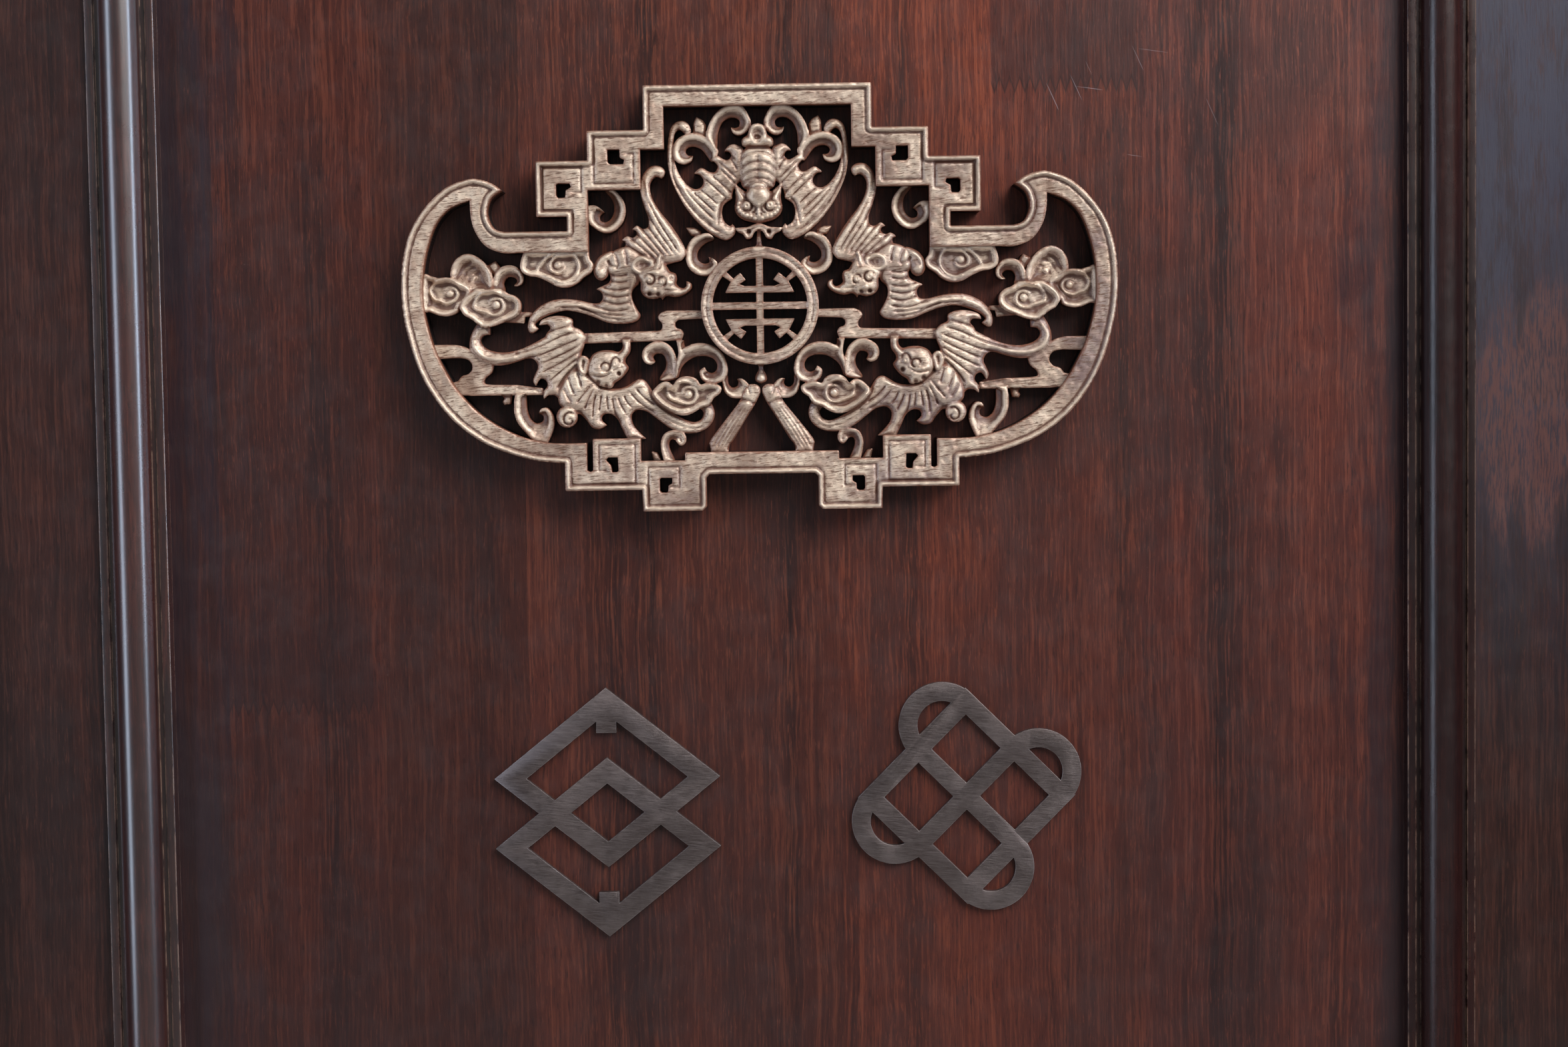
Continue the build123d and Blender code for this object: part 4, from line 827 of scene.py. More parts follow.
HIGH_BAT_WING = [
    (-5.5, 60.5), (-7.3, 62.2), (-9.2, 62.9), (-11.2, 62.4), (-13.1, 60.3, 1), (-11.3, 60.2),
    (-10.3, 58.6), (-11.6, 56.9), (-13.4, 57.2), (-16, 58.6), (-18.4, 57.2, 1), (-16.6, 56),
    (-15.7, 54.2), (-16.9, 52.2), (-19.2, 52.5), (-22.2, 54), (-25.2, 51.8, 1), (-22.8, 51.4),
    (-21.3, 49), (-22.2, 46.6), (-24.6, 45.8), (-27.6, 47.4), (-30.6, 51.4), (-32.4, 56.4), (-33, 62),
    (-32.4, 67.3), (-30.4, 69), (-28.6, 67.4, 1), (-27.2, 66.8), (-25.9, 68.4), (-27.2, 71.4),
    (-30, 72.4), (-33.3, 70.6), (-34.7, 66), (-35.3, 58), (-34, 50), (-30.4, 42), (-26.7, 36.3),
    (-22.6, 31.6), (-18, 27.9), (-12.9, 25.8), (-9.8, 27.6), (-9, 30), (-10.4, 32.2, 1), (-11.1, 31.2),
    (-13.2, 32.7), (-14.3, 36), (-13.5, 39.6), (-10.3, 41.8, 1), (-9.8, 45), (-7.6, 48.2), (-5, 50),
]
HIGH_BAT_BODY = [
    (0, 62.6, 1), (-3, 62.2), (-5.8, 60), (-7.2, 56.5), (-7.5, 52.5), (-6.9, 48.8), (-5, 45.5),
    (0, 44.5, 1),
]
HIGH_BAT_TAIL = [
    (0, 70.8, 1), (-1.7, 70.3), (-3.1, 68.6), (-3.9, 66.2), (-5.7, 65), (-6.2, 63.2), (-4.6, 61.6),
    (0, 61.8, 1),
]
HIGH_BAT_FACE = [
    (0, 47, 1), (-3.4, 46.2), (-5, 44.4), (-9.3, 48, 1), (-8.8, 43.2), (-8.9, 40.6), (-9.3, 38),
    (-8.2, 35.4), (-5.8, 33.6), (-2.4, 32.6), (0, 31.6, 1),
]
HIGH_BAT_LEAF = [
    (0, 33, 1), (-1.6, 31.8), (-4.4, 30.7), (-9.2, 30.4, 1), (-8.3, 28.9), (-6.2, 27.9), (-4.8, 26),
    (-2.8, 26.6), (-1.4, 29), (0, 30, 1),
]
HIGH_BAT_STEM = [(0, 31, 1), (-0.7, 31, 1), (-0.9, 24.5, 1), (-1.6, 22, 1), (0, 22, 1)]
INNER_CURL = [
    (-15.4, 59.8), (-16.4, 62.6), (-18.5, 65), (-21.2, 66.7), (-25, 67.6), (-28.8, 66.8),
    (-31.6, 64.9), (-33.2, 61.6), (-32.8, 58), (-31, 56), (-28.4, 55.6), (-26, 56.8), (-25.3, 59, 1),
    (-27.2, 59), (-28.3, 60.6), (-27.2, 62.2), (-24.6, 62.5), (-21.8, 61.2), (-19.8, 58.6),
    (-17.8, 56.4),
]
TAIL_SCROLL = [
    (-20, 65.6), (-19.2, 70), (-17.3, 73.6), (-14.6, 76.4), (-11, 78.2), (-6.4, 78), (-3.8, 75),
    (-2.4, 71), (-4, 67.9), (-7, 66.4), (-9.6, 67.4), (-10.4, 69.8, 1), (-9, 69.4), (-7.3, 70),
    (-6.9, 72), (-8.2, 73.4), (-11, 73.5), (-13.8, 71.6), (-15.4, 67.6), (-15.8, 62.6), (-16.6, 60.8),
]
TOP_BUD = [
    (-25.2, 67.6, 1), (-24.8, 72, 1), (-23.8, 74, 1), (-21.2, 72.5, 1), (-20, 70.6, 1), (-20.3, 66, 1),
]
SIDE_BAT_UPPER_WING = [
    (-36.3, 52.6), (-37, 54), (-39, 55), (-42, 54.7), (-44.7, 52), (-46, 48), (-45.8, 43.6),
    (-44.4, 38.6), (-42.9, 34), (-43.4, 31.2), (-45.4, 30.6), (-47.6, 31.9), (-49.6, 30.4, 1),
    (-48.1, 30), (-47.8, 28.4), (-49.4, 27.2), (-51.6, 27.9), (-53.7, 26.2, 1), (-52.2, 25.6),
    (-52.4, 23.8), (-54.5, 22.6), (-52, 18), (-42, 15), (-36, 16.6), (-33, 17.4), (-30.3, 18.2),
    (-28.7, 20.8), (-29.2, 23.4), (-31.2, 27.2), (-34.8, 32.6), (-38.6, 37.4), (-41.3, 42),
    (-42.4, 46.4), (-41.8, 49.2), (-40, 50.9), (-38, 50.2, 1), (-37, 50.8),
]
SIDE_BAT_LOWER_WING = [
    (-58.6, 14.5), (-58.2, 12), (-59, 9.8), (-61.4, 8.6), (-64.1, 7.4, 1), (-62.3, 6.5), (-61.4, 4.6),
    (-62.4, 2.3), (-65.4, 1.9), (-71, 3.2), (-77, 3.8), (-82.4, 2.9), (-87.6, 0), (-90.6, -4),
    (-91.1, -8), (-89.6, -9.5), (-86.8, -7.7, 1), (-88.3, -6.2), (-86.8, -4.5), (-82.6, -2.4),
    (-76.5, -0.8), (-70.6, -1.6), (-65, -3.5), (-59.6, -5.7), (-54, -6.2), (-49, -5.5), (-46.9, -3.2),
    (-48.2, -0.6), (-49.9, 3.2), (-49.8, 6.8), (-47, 10), (-47.6, 14.4), (-53, 16.5),
]
SIDE_BAT_BODY = [
    (-58.6, 13.4), (-59.3, 17.4), (-58.2, 20.8), (-55.5, 22.8), (-51.6, 23.6), (-47.6, 22.2),
    (-44, 19), (-43.4, 15), (-47, 12), (-53, 12.6),
]
SIDE_BAT_CURL = [
    (-57, 22), (-60.5, 21.2), (-62.9, 19.5), (-64.5, 16.8), (-64.8, 13.8), (-63.6, 11.4),
    (-61.4, 10.8), (-59.5, 12.2), (-58.6, 15), (-57.4, 18),
]
SIDE_BAT_EAR = [
    (-49.8, 15), (-49.4, 17.6), (-47.4, 19.5), (-44.6, 19.8), (-41.2, 18, 1), (-41.4, 15.6),
    (-43.8, 13.6), (-47, 13),
]
SIDE_BAT_HEAD = [
    (-43.6, 15.4), (-41, 17.6), (-39.4, 20.4), (-37.7, 21.2, 1), (-37.6, 18.4), (-36, 15.6),
    (-34.8, 13.7), (-32.9, 13.1), (-32.3, 11), (-32.6, 9), (-31, 7.5), (-29.3, 7.3), (-28.4, 8.7),
    (-28.8, 10, 1), (-27, 9.4), (-26.5, 7.7), (-27.8, 5.9), (-30.6, 4.4), (-33.4, 3.9), (-36.6, 4.4),
    (-38.3, 2.5, 1), (-38.6, 3.8), (-41.6, 3.2), (-44.6, 4), (-46.3, 6.2), (-46.4, 9.6), (-47.6, 12.4),
    (-46, 14.6),
]
LOW_BAT_LEFT_WING = [
    (-106.4, -6.2), (-106.2, -9.8, 1), (-108.6, -10.1), (-109.9, -12), (-108.7, -14.4),
    (-105.6, -16.1), (-100.6, -16.8), (-95, -15.9), (-90, -13.9), (-84.3, -10.9, 1), (-83.5, -9.2),
    (-82.2, -7.6), (-83.4, -6.1), (-86.6, -6.4, 1), (-85.6, -4.4), (-81.8, -3), (-77, -2.9),
    (-73.6, -4.3), (-73.4, -6.9), (-70.6, -8.3), (-68.5, -11), (-69.2, -14.6), (-70.4, -18),
    (-70, -21.6), (-72.4, -24.2), (-75.4, -26.8), (-78, -30), (-79.3, -35.4, 1), (-80.9, -33.8),
    (-83.4, -33.8), (-85.3, -35.3, 1), (-85.3, -32.4), (-83.7, -30), (-84.4, -27.9), (-86.5, -27.3),
    (-88.4, -30, 1), (-89.4, -28), (-88.4, -25.2), (-87.3, -22.6), (-88.6, -19.9), (-91.4, -19.2),
    (-96, -20.6), (-101.4, -21.8), (-106.6, -21.4), (-111.2, -19.5), (-113.8, -16.6), (-114.1, -12.4),
    (-113, -8.8), (-110.4, -5.2),
]
LOW_BAT_BODY = [
    (-75.6, -25.6), (-73, -24), (-70, -24.2), (-66, -27.5), (-63, -32), (-68, -38), (-73.5, -40.4),
    (-78.7, -38), (-79.5, -34), (-78, -30),
]
LOW_BAT_RIGHT_WING = [
    (-68, -28), (-64.8, -29.6), (-61.4, -31.2), (-57, -31.6), (-53, -30.8), (-50, -29), (-47.6, -27.9),
    (-45.2, -29), (-42.5, -33.3, 1), (-40, -37), (-36, -40.5), (-31.8, -43.2, 1), (-29, -44.6),
    (-26, -45.1), (-23.6, -43.9), (-22.8, -41.4), (-24.4, -39.6, 1), (-23, -36.5), (-20, -37.6),
    (-18.5, -41), (-19, -44.6), (-21.8, -47.8), (-26.2, -49.4), (-31.6, -49.2), (-36.4, -47.1),
    (-41, -43.6), (-44.8, -40.8), (-48.6, -40), (-51, -42), (-50.6, -45.6), (-48.4, -48.6),
    (-45.5, -51.4, 1), (-52.6, -51.8, 1), (-54.8, -47.3), (-56.6, -43.5), (-59.2, -41.4), (-62, -41.7),
    (-62.8, -43.8), (-60.8, -45.8, 1), (-63.3, -47.3), (-66.4, -46.8), (-68.6, -43.9), (-71, -41.4),
    (-73.4, -40),
]
LOW_BAT_HEAD = [
    (-68, -23.6), (-67, -20.2), (-65.2, -17.8), (-62, -16.6), (-58.4, -16.6), (-55.6, -17.2),
    (-54, -15.6), (-54, -12.6, 1), (-51, -12.6, 1), (-51.1, -17), (-53, -20), (-52.9, -21.8),
    (-51.8, -23.3), (-52.8, -25.4), (-55.2, -28), (-57.4, -29.4), (-58.6, -31.2), (-62.8, -30.4),
    (-65.6, -28.2), (-67.4, -26),
]
LOW_BAT_EAR = [
    (-71.6, -22.4), (-70.8, -19.2), (-68.8, -18.6), (-67, -20.4), (-67.6, -23), (-68.4, -26),
    (-70.6, -25.2),
]
LOW_BAT_EYE_CURL = [
    (-76, -38.2), (-78.8, -39), (-80.2, -41.4), (-79.8, -44.2), (-77.8, -46.2), (-75, -46.4),
    (-72.8, -44.6), (-72.2, -41.8), (-73.4, -39.2),
]
CLOUD_OUTER = [
    (-131.6, 13.4), (-128.4, 13.3), (-125.5, 12.6), (-122.6, 12.8), (-119.6, 12.2), (-116.4, 10.4),
    (-113, 7.8), (-114.4, 4), (-117.2, 1.4), (-118.4, -0.9), (-121.6, -2.2), (-125.4, -2.1),
    (-129.2, -0.6), (-132, 0.4),
]
CLOUD_INNER = [
    (-117.4, 1.5), (-115.9, 4.2), (-113.3, 6.5), (-110.8, 7.9), (-108.3, 8), (-106.4, 7.7),
    (-103.8, 8.2), (-100.8, 7.8), (-98.4, 6.2), (-95.6, 5.1), (-93.6, 2.8), (-93.7, -0.6), (-96, -3),
    (-100.6, -5.1), (-104.8, -6.6), (-108.4, -6.8), (-110.6, -5.5), (-112.8, -3.7), (-115.4, -2.2),
    (-117, 0),
]
CLOUD_UPPER = [
    (-66.6, 22.6, 1), (-66.3, 19.4), (-64.8, 17), (-65.6, 14.2), (-68.8, 12), (-71.2, 9.8), (-75, 8.2),
    (-79, 8.6), (-82.4, 10.4), (-84.6, 11.5), (-87.2, 12.5), (-90.4, 13), (-93, 14.8), (-93.3, 18),
    (-91.8, 22.6, 1),
]
CLOUD_LOWER = [
    (-42.8, -34), (-41.2, -31.2), (-38.6, -29.3), (-36, -29.3), (-34.5, -30.5), (-33, -28.5), (-30.6, -27.2),
    (-27.2, -27.3), (-25, -28.5), (-23.7, -30.4), (-21.4, -29.8), (-18, -30.2), (-15.6, -31.6), (-16.2, -34),
    (-18.6, -35.8), (-20.2, -38.2), (-23.4, -39.4), (-26.5, -41.3), (-30, -42.4), (-34.5, -41.4),
    (-39.6, -38),
]
DISH_LEAF = [
    (-120.6, 12), (-120.7, 16), (-119.2, 19.2), (-116.4, 21.4), (-113, 21.8), (-109.6, 20.2),
    (-106.6, 17.2), (-104.6, 13.4), (-104.4, 9), (-106, 6.6), (-112, 6.8), (-117, 9.6),
]
DISH_BUD = [(-106.6, 17.3, 1), (-103.4, 19, 1), (-101.6, 16.6, 1), (-103.6, 12.6, 1)]
CLOUD_SCROLL = [
    (-104.4, 7), (-104.3, 11.6), (-103, 15), (-100.2, 16.9), (-97, 17.2), (-94.2, 15.9), (-92.5, 13),
    (-93, 10.2), (-95, 9), (-96.7, 9.3, 1), (-95.2, 10.6), (-95.6, 12), (-97.4, 12.8), (-99.3, 12.3),
    (-100.4, 10.2), (-100, 6.6),
]
CORNER_CURL = [
    (-57, 46.4), (-54, 43.6), (-52.3, 40.4), (-52.1, 36.8), (-53.4, 33.2), (-56.4, 30.2), (-60, 29.2),
    (-63.6, 30.7), (-66.9, 34), (-67, 40, 1), (-63.6, 40), (-60.5, 37.6, 1), (-62.2, 36.3),
    (-62, 34.2), (-59.8, 33.7), (-57.6, 35.6), (-56.6, 38.8), (-57.4, 42.4), (-60.4, 46.4),
]
ROUNDEL_CURL = [
    (-19.6, 28.6), (-22.8, 28.2), (-25.8, 26.8), (-28, 23.8), (-28.8, 20.2), (-28.3, 16.6),
    (-26.4, 13.8), (-23.4, 12.2), (-19.6, 12.2), (-16.2, 16), (-17.7, 18.4), (-20, 19.6, 1),
    (-19.6, 17.4), (-21.8, 16.9), (-23.9, 18.2), (-24.3, 20.8), (-23, 23.2), (-20.4, 25.2),
    (-17.6, 26.4),
]
ROUNDEL_BUD = [(-28.6, 31, 1), (-25.6, 31, 1), (-22.6, 29.6, 1), (-22.8, 27, 1), (-26.6, 27.8, 1)]
STEP_BAR = [
    (-70, -9.8, 1), (-41, -9.2, 1), (-39, -8.9), (-38.3, -7.2), (-38.9, -5.7), (-40.1, -4.2),
    (-39.2, -2.4), (-36.6, -1.3, 1), (-22, -1.5, 1), (-22, -4.6, 1), (-31.6, -4.9, 1), (-33.2, -5.9),
    (-33, -8), (-31, -8.8), (-30.1, -10.6), (-31, -13, 1), (-70, -13.8, 1),
]
BAR_CURL = [
    (-33.2, -27.9), (-32.8, -22), (-33.6, -18), (-35.4, -15.2), (-38.4, -13.4), (-42.2, -13.6),
    (-45.6, -15.8), (-46.6, -19), (-45.4, -21.6), (-43, -22.4), (-41.4, -21.3, 1), (-42.3, -19.4),
    (-41, -18.2), (-38.8, -18.2), (-37.4, -20.2), (-37.4, -23.6), (-39.8, -28.4),
]
ROUNDEL_ARCH = [
    (-33.4, -27.8, 1), (-33.2, -22), (-32.2, -18), (-33, -13, 1), (-30, -13, 1), (-29.6, -15.6),
    (-26.6, -14.5), (-23, -14.2), (-19.4, -15), (-16.2, -17), (-14, -20), (-13, -23.6), (-13.2, -26.6),
    (-15, -29), (-18.4, -30.6, 1), (-21.6, -29.8), (-23.6, -27.8), (-23.9, -25), (-22, -23.6, 1),
    (-21.2, -25.3), (-19.2, -26), (-17.5, -24.8), (-17.2, -22.6), (-18.6, -20.4), (-21.6, -19.3),
    (-25.4, -19.5), (-28.8, -21.2), (-31.2, -23.8), (-32.4, -27.4, 1),
]
SMALL_SCROLL = [
    (-13.2, -27), (-12.9, -30), (-11.4, -31.8), (-9.5, -31.3), (-8.9, -29.8), (-9.5, -28.5, 1),
    (-7.6, -28.3), (-5.6, -29.8), (-4.4, -32), (-6, -35.4), (-9.4, -36.1), (-12.2, -35.5),
    (-14.4, -33.4), (-15.1, -30.4), (-15.4, -28),
]
RIBBON = [
    (-5.6, -31.2), (-3, -30.5), (-0.9, -31.4), (-0.3, -33.6), (-1.6, -36.7), (-3, -39.2),
    (-6.9, -45.4), (-10.9, -52), (-12.8, -54.5), (-13.2, -57.5, 1), (-20, -57.5, 1), (-20.4, -54.8),
    (-20.3, -52.4), (-15, -45.4), (-9, -37.8), (-7.6, -34.6),
]
CENTRE_KNOT = [(0, -22, 1), (-1.4, -22, 1), (-0.8, -24.6), (-1.9, -26.8), (-2, -29.4), (0, -31.4, 1)]
LOOP_SCROLL = [
    (-34.2, -60.4, 1), (-36, -56.4), (-36.6, -53.6), (-35.7, -51.9), (-34, -52.2), (-32.9, -53.8),
    (-31.4, -54.4), (-29.9, -52.9), (-29.9, -50.6), (-31.4, -48.6), (-35, -48.2), (-38, -49.3),
    (-39.6, -52), (-39.8, -55.4), (-38.7, -60.4, 1),
]
LOOP_BUD = [(-43.6, -56.4, 1), (-41.2, -57, 1), (-39.2, -60.4, 1), (-42.8, -60.4, 1)]
EDGE_SCROLL = [
    (-96.4, -32.6, 1), (-97, -36.6), (-97, -40.4), (-95.8, -44.4), (-93, -48), (-90, -51.4, 1),
    (-84.2, -52.6, 1), (-82.3, -48.4), (-81.3, -44.8), (-82, -41.4), (-84, -38.8), (-86.4, -39),
    (-87.5, -40.9, 1), (-85.8, -42), (-86.2, -44), (-88.6, -44.8), (-91, -43), (-92.2, -39.6),
    (-92.4, -36), (-92.3, -32.6, 1),
]
BAR_STUB = [
    (-102.6, -32.8, 1), (-101, -34.8, 1), (-101.9, -36, 1), (-101.3, -37.4, 1), (-98.6, -37.1, 1),
    (-97.7, -32.8, 1),
]
EDGE_STEP = [
    (-129.4, -13.5, 1), (-121.3, -13.5), (-117.5, -14), (-114.4, -15.2), (-110, -18.6),
    (-104.8, -21.4, 1), (-105.8, -24.6), (-108.3, -26.8), (-108.6, -28.8), (-105.8, -29.4, 1),
    (-96, -29.6, 1), (-85.6, -31, 1), (-85.4, -33.6, 1), (-114, -33.6, 1), (-118.8, -33.2, 1),
    (-121.6, -28.4, 1), (-119, -27.8, 1), (-117.4, -25.8), (-114.8, -25), (-113.2, -22.8),
    (-114, -20.2), (-116.6, -18.9), (-121, -18.8, 1), (-127.6, -19, 1),
]
CLOUD_LINK = [
    (-101, -4.9, 1), (-92.6, -5.5, 1), (-92.2, -3, 1), (-89.6, -2.8, 1), (-89.6, -1.2, 1),
    (-95, -1, 1),
]
EMBLEM_ARM = [
    (0, 5.1, 1), (-13.5, 5.1, 1), (-11, 10, 1), (-7.5, 12.9, 1), (-5.4, 10.1, 1), (-8, 8.5, 1),
    (-6, 7.7, 1), (0, 7.7, 1),
]
EMBLEM_LINK = [(-14.4, 11.6, 1), (-13, 13.4, 1), (-10.2, 10.6, 1), (-11.2, 9.4, 1)]


MOTIFS_LEFT = (
    Motif(SIDE_BAT_UPPER_WING, 13.0, Section.WING, 2.4, 1.8, tilt=(0.05, -0.03, -42, 35)),
    Motif(SIDE_BAT_LOWER_WING, 12.7, Section.WING, 2.4, 1.8, tilt=(0.04, 0.05, -60, 0)),
    Motif(SIDE_BAT_BODY, 14.4, Section.ROUND, 4.2, 2.6),
    Motif(SIDE_BAT_CURL, 13.7, Section.ROUND, 3.0, 2.2),
    Motif(SIDE_BAT_EAR, 15.3, Section.DISH, 1.6, 1.6),
    Motif(SIDE_BAT_HEAD, 16.2, Section.ROUND, 4.5, 3.4),
    Motif(LOW_BAT_LEFT_WING, 12.9, Section.WING, 2.4, 1.8, tilt=(0.05, 0.0, -80, 0)),
    Motif(LOW_BAT_BODY, 14.1, Section.ROUND, 4.2, 2.4),
    Motif(LOW_BAT_RIGHT_WING, 12.4, Section.WING, 2.4, 1.8, tilt=(-0.02, 0.05, -60, -38)),
    Motif(LOW_BAT_HEAD, 16.0, Section.ROUND, 4.5, 3.2),
    Motif(LOW_BAT_EAR, 15.1, Section.DISH, 1.4, 1.4),
    Motif(LOW_BAT_EYE_CURL, 14.6, Section.ROUND, 2.6, 1.8),
    Motif(CLOUD_OUTER, 12.1, Section.DISH, 2.4, 2.4),
    Motif(CLOUD_INNER, 13.9, Section.DISH, 2.6, 2.4),
    Motif(CLOUD_UPPER, 13.5, Section.DISH, 2.6, 2.4),
    Motif(CLOUD_LOWER, 14.3, Section.DISH, 2.6, 2.4),
    Motif(DISH_LEAF, 11.3, Section.DISH, 4.0, 3.4),
    Motif(DISH_BUD, 9.6, Section.ROUND, 1.6, 1.4),
    Motif(CLOUD_SCROLL, 10.9, Section.SCROLL, 2.4, 2.8, eye=(-96.8, 10.8)),
    Motif(CORNER_CURL, 9.9, Section.SCROLL, 3.0, 3.2, eye=(-60.2, 37.0)),
    Motif(ROUNDEL_CURL, 11.7, Section.SCROLL, 3.0, 3.4, eye=(-20.8, 20.0)),
    Motif(ROUNDEL_BUD, 9.2, Section.ROUND, 1.5, 1.4),
    Motif(STEP_BAR, 10.7, Section.FLAT),
    Motif(BAR_CURL, 11.1, Section.SCROLL, 2.6, 2.8, eye=(-41.8, -20.6)),
    Motif(ROUNDEL_ARCH, 12.3, Section.SCROLL, 2.7, 2.8, eye=(-22.4, -24.6)),
    Motif(SMALL_SCROLL, 11.6, Section.SCROLL, 2.2, 2.2, eye=(-10.2, -29.6)),
    Motif(LOOP_SCROLL, 10.6, Section.SCROLL, 2.0, 2.0, eye=(-32.8, -52.6)),
    Motif(LOOP_BUD, 8.8, Section.ROUND, 1.2, 1.2),
    Motif(EDGE_SCROLL, 11.5, Section.SCROLL, 3.2, 3.2, eye=(-87.4, -42.2)),
    Motif(BAR_STUB, 8.4, Section.ROUND, 1.4, 1.2),
    Motif(EDGE_STEP, 10.2, Section.FLAT),
    Motif(CLOUD_LINK, 9.4, Section.FLAT),
)
MOTIFS_CENTRE = (
    Motif(HIGH_BAT_WING, 12.6, Section.WING, 2.6, 1.8, tilt=(0.07, 0.0, -18, 45)),
    Motif(INNER_CURL, 11.4, Section.SCROLL, 3.4, 3.2, eye=(-27.6, 60.4)),
    Motif(TAIL_SCROLL, 11.9, Section.SCROLL, 2.6, 2.8, eye=(-9.6, 71.6)),
    Motif(TOP_BUD, 10.0, Section.ROUND, 1.8, 1.6),
    Motif(HIGH_BAT_BODY, 15.4, Section.ROUND, 6.6, 3.6),
    Motif(HIGH_BAT_TAIL, 15.8, Section.ROUND, 4.0, 2.6),
    Motif(HIGH_BAT_FACE, 14.5, Section.ROUND, 3.2, 2.8),
    Motif(HIGH_BAT_LEAF, 13.2, Section.DISH, 1.6, 1.2),
    Motif(HIGH_BAT_STEM, 11.0, Section.ROUND, 0.8, 0.8),
    Motif(CENTRE_KNOT, 10.4, Section.ROUND, 1.8, 1.6),
    Motif(RIBBON, 12.8, Section.ROUND, 3.6, 1.8, tilt=(0.0, 0.06, -10, -34)),
)


def fan(rise: float, width: float, first: Sequence[Point], last: Sequence[Point], count: int) -> list[Stroke]:
    """Even strokes between a first and a last line, such as the ribs of a wing.

    Args:
        rise: height of every stroke, negative for grooves.
        width: width of every stroke.
        first: the line at one end of the fan.
        last: the line at the other end, with as many points.
        count: number of strokes.

    Returns:
        The strokes.
    """
    strokes = []
    for k in range(count):
        t = k / (count - 1)
        line = tuple((a[0] + t * (b[0] - a[0]), a[1] + t * (b[1] - a[1])) for a, b in zip(first, last))
        strokes.append(Stroke(rise, width, line))
    return strokes


CUT, SCORE, LIP = -1.0, -0.7, 0.6
STROKES_CENTRE = [
    *[Stroke(CUT, 0.36, line) for line in (
        ((-15.6, 56.6), (-12, 53.2), (-8.2, 49.4)), ((-14.8, 53.6), (-12, 50.8), (-8.8, 47.4)),
        ((-18, 51), (-14, 47.4), (-10.2, 43.6)), ((-20.6, 49.8), (-16.6, 46), (-12.6, 42.2)),
        ((-22.6, 45.6), (-19, 42.6), (-15.6, 39.4)), ((-25.4, 44.6), (-21, 40.6), (-16.8, 36.6)),
        ((-28.6, 45.6), (-23, 39.4), (-17, 33.6)), ((-31.2, 47.6), (-25, 38.4), (-17.6, 31.2)),
        ((-10.8, 57.8), (-9.4, 55.6), (-8, 53)), ((-12.6, 60.2), (-10.6, 58.4), (-8.2, 56.4)),
    )],
    Stroke(-1.0, 0.5, ((-33.4, 60), (-33, 51), (-28, 41), (-20.6, 32.8), (-12.6, 27.6))),
    Stroke(LIP, 0.6, ((-34.4, 62), (-34.1, 51), (-29.4, 41), (-22, 32), (-14.4, 26.8))),
    Stroke(-0.8, 0.5, ((-16, 31.6), (-15.4, 36), (-14.4, 40), (-12, 42.6))),
    *[Stroke(-0.75, 0.45, ((-7, z - 3.2), (-4, z - 0.9), (0, z), (4, z - 0.9), (7, z - 3.2)))
      for z in (59.6, 56, 52.6, 49.6)],
    Stroke(-1.0, 0.7, ((-5, 62.2), (-2.4, 61.6), (0, 61.4), (2.4, 61.6), (5, 62.2))),
    Stroke(0.7, 0.6, ((-2.6, 64), (-3.1, 66.6), (-2.2, 69.4), (0, 70.2), (2.2, 69.4), (3.1, 66.6), (2.6, 64))),
    Stroke(-0.9, 0.5, ((-8.6, 46.6), (-6.4, 43.8), (-4.8, 41.4))),
    Stroke(0.9, 0.7, ((0, 39.6), (0, 36.8), (0, 34.2))),
    Stroke(-0.9, 0.35, ((-6.5, 39.6), (-5.6, 41), (-4.2, 41), (-2.8, 39.8), (-2.6, 38.2), (-3.6, 36.9), (-5.2, 36.9),
                        (-6.4, 37.8))),
    Stroke(-0.9, 0.45, ((-4.6, 46.2), (-5.2, 43.4), (-4.4, 41.4))),
    Stroke(-0.8, 0.35, ((-2.9, 36.2), (-1.6, 36.4), (-0.9, 37.8))),
    *fan(-0.75, 0.42, ((-8.2, -38.6), (-13.8, -46), (-19.4, -55.6)), ((-4, -40.4), (-8.2, -47.6), (-14, -56.4)), 5),
    Stroke(-0.9, 0.6, ((-8.6, -36.6), (-5.6, -36.8), (-2.2, -38.6))),
    Stroke(SCORE, 0.5, ((-7.4, -29.4), (-5.2, -31.8), (-4.4, -34.4))),
]
BOSSES_CENTRE = [
    Boss(0, 43.2, 4.7, 2.7), Boss(-4.5, 39, 1.6, 1.5), Boss(-4.5, 39, 0.6, -1.1), Boss(-7.9, 39.8, 0.8, 1.0),
    Boss(-8.2, 38.2, 0.8, 1.0), Boss(-7.5, 36.8, 0.8, 0.9), Boss(-6.3, 35.8, 0.8, 0.9), Boss(-4.8, 35, 0.8, 0.9),
    Boss(-3.2, 34.6, 0.8, 1.0), Boss(-1.5, 33.8, 0.8, 0.8), Boss(-4.6, 63.6, 1.8, 0.9),
    Boss(0, 66.8, 2.3, -2.0), Boss(0, 64.6, 1.7, -1.4), Boss(-3.9, 29.0, 0.9, -1.6),
    Boss(0, -28.6, 2.2, 1.6), Boss(-27.4, 61, 0.8, -0.8), Boss(-0.9, 35.6, 0.45, -0.9),
    Boss(-12.2, 31.8, 1.0, 0.6), Boss(-29.4, 69.6, 1.4, 0.7),
]
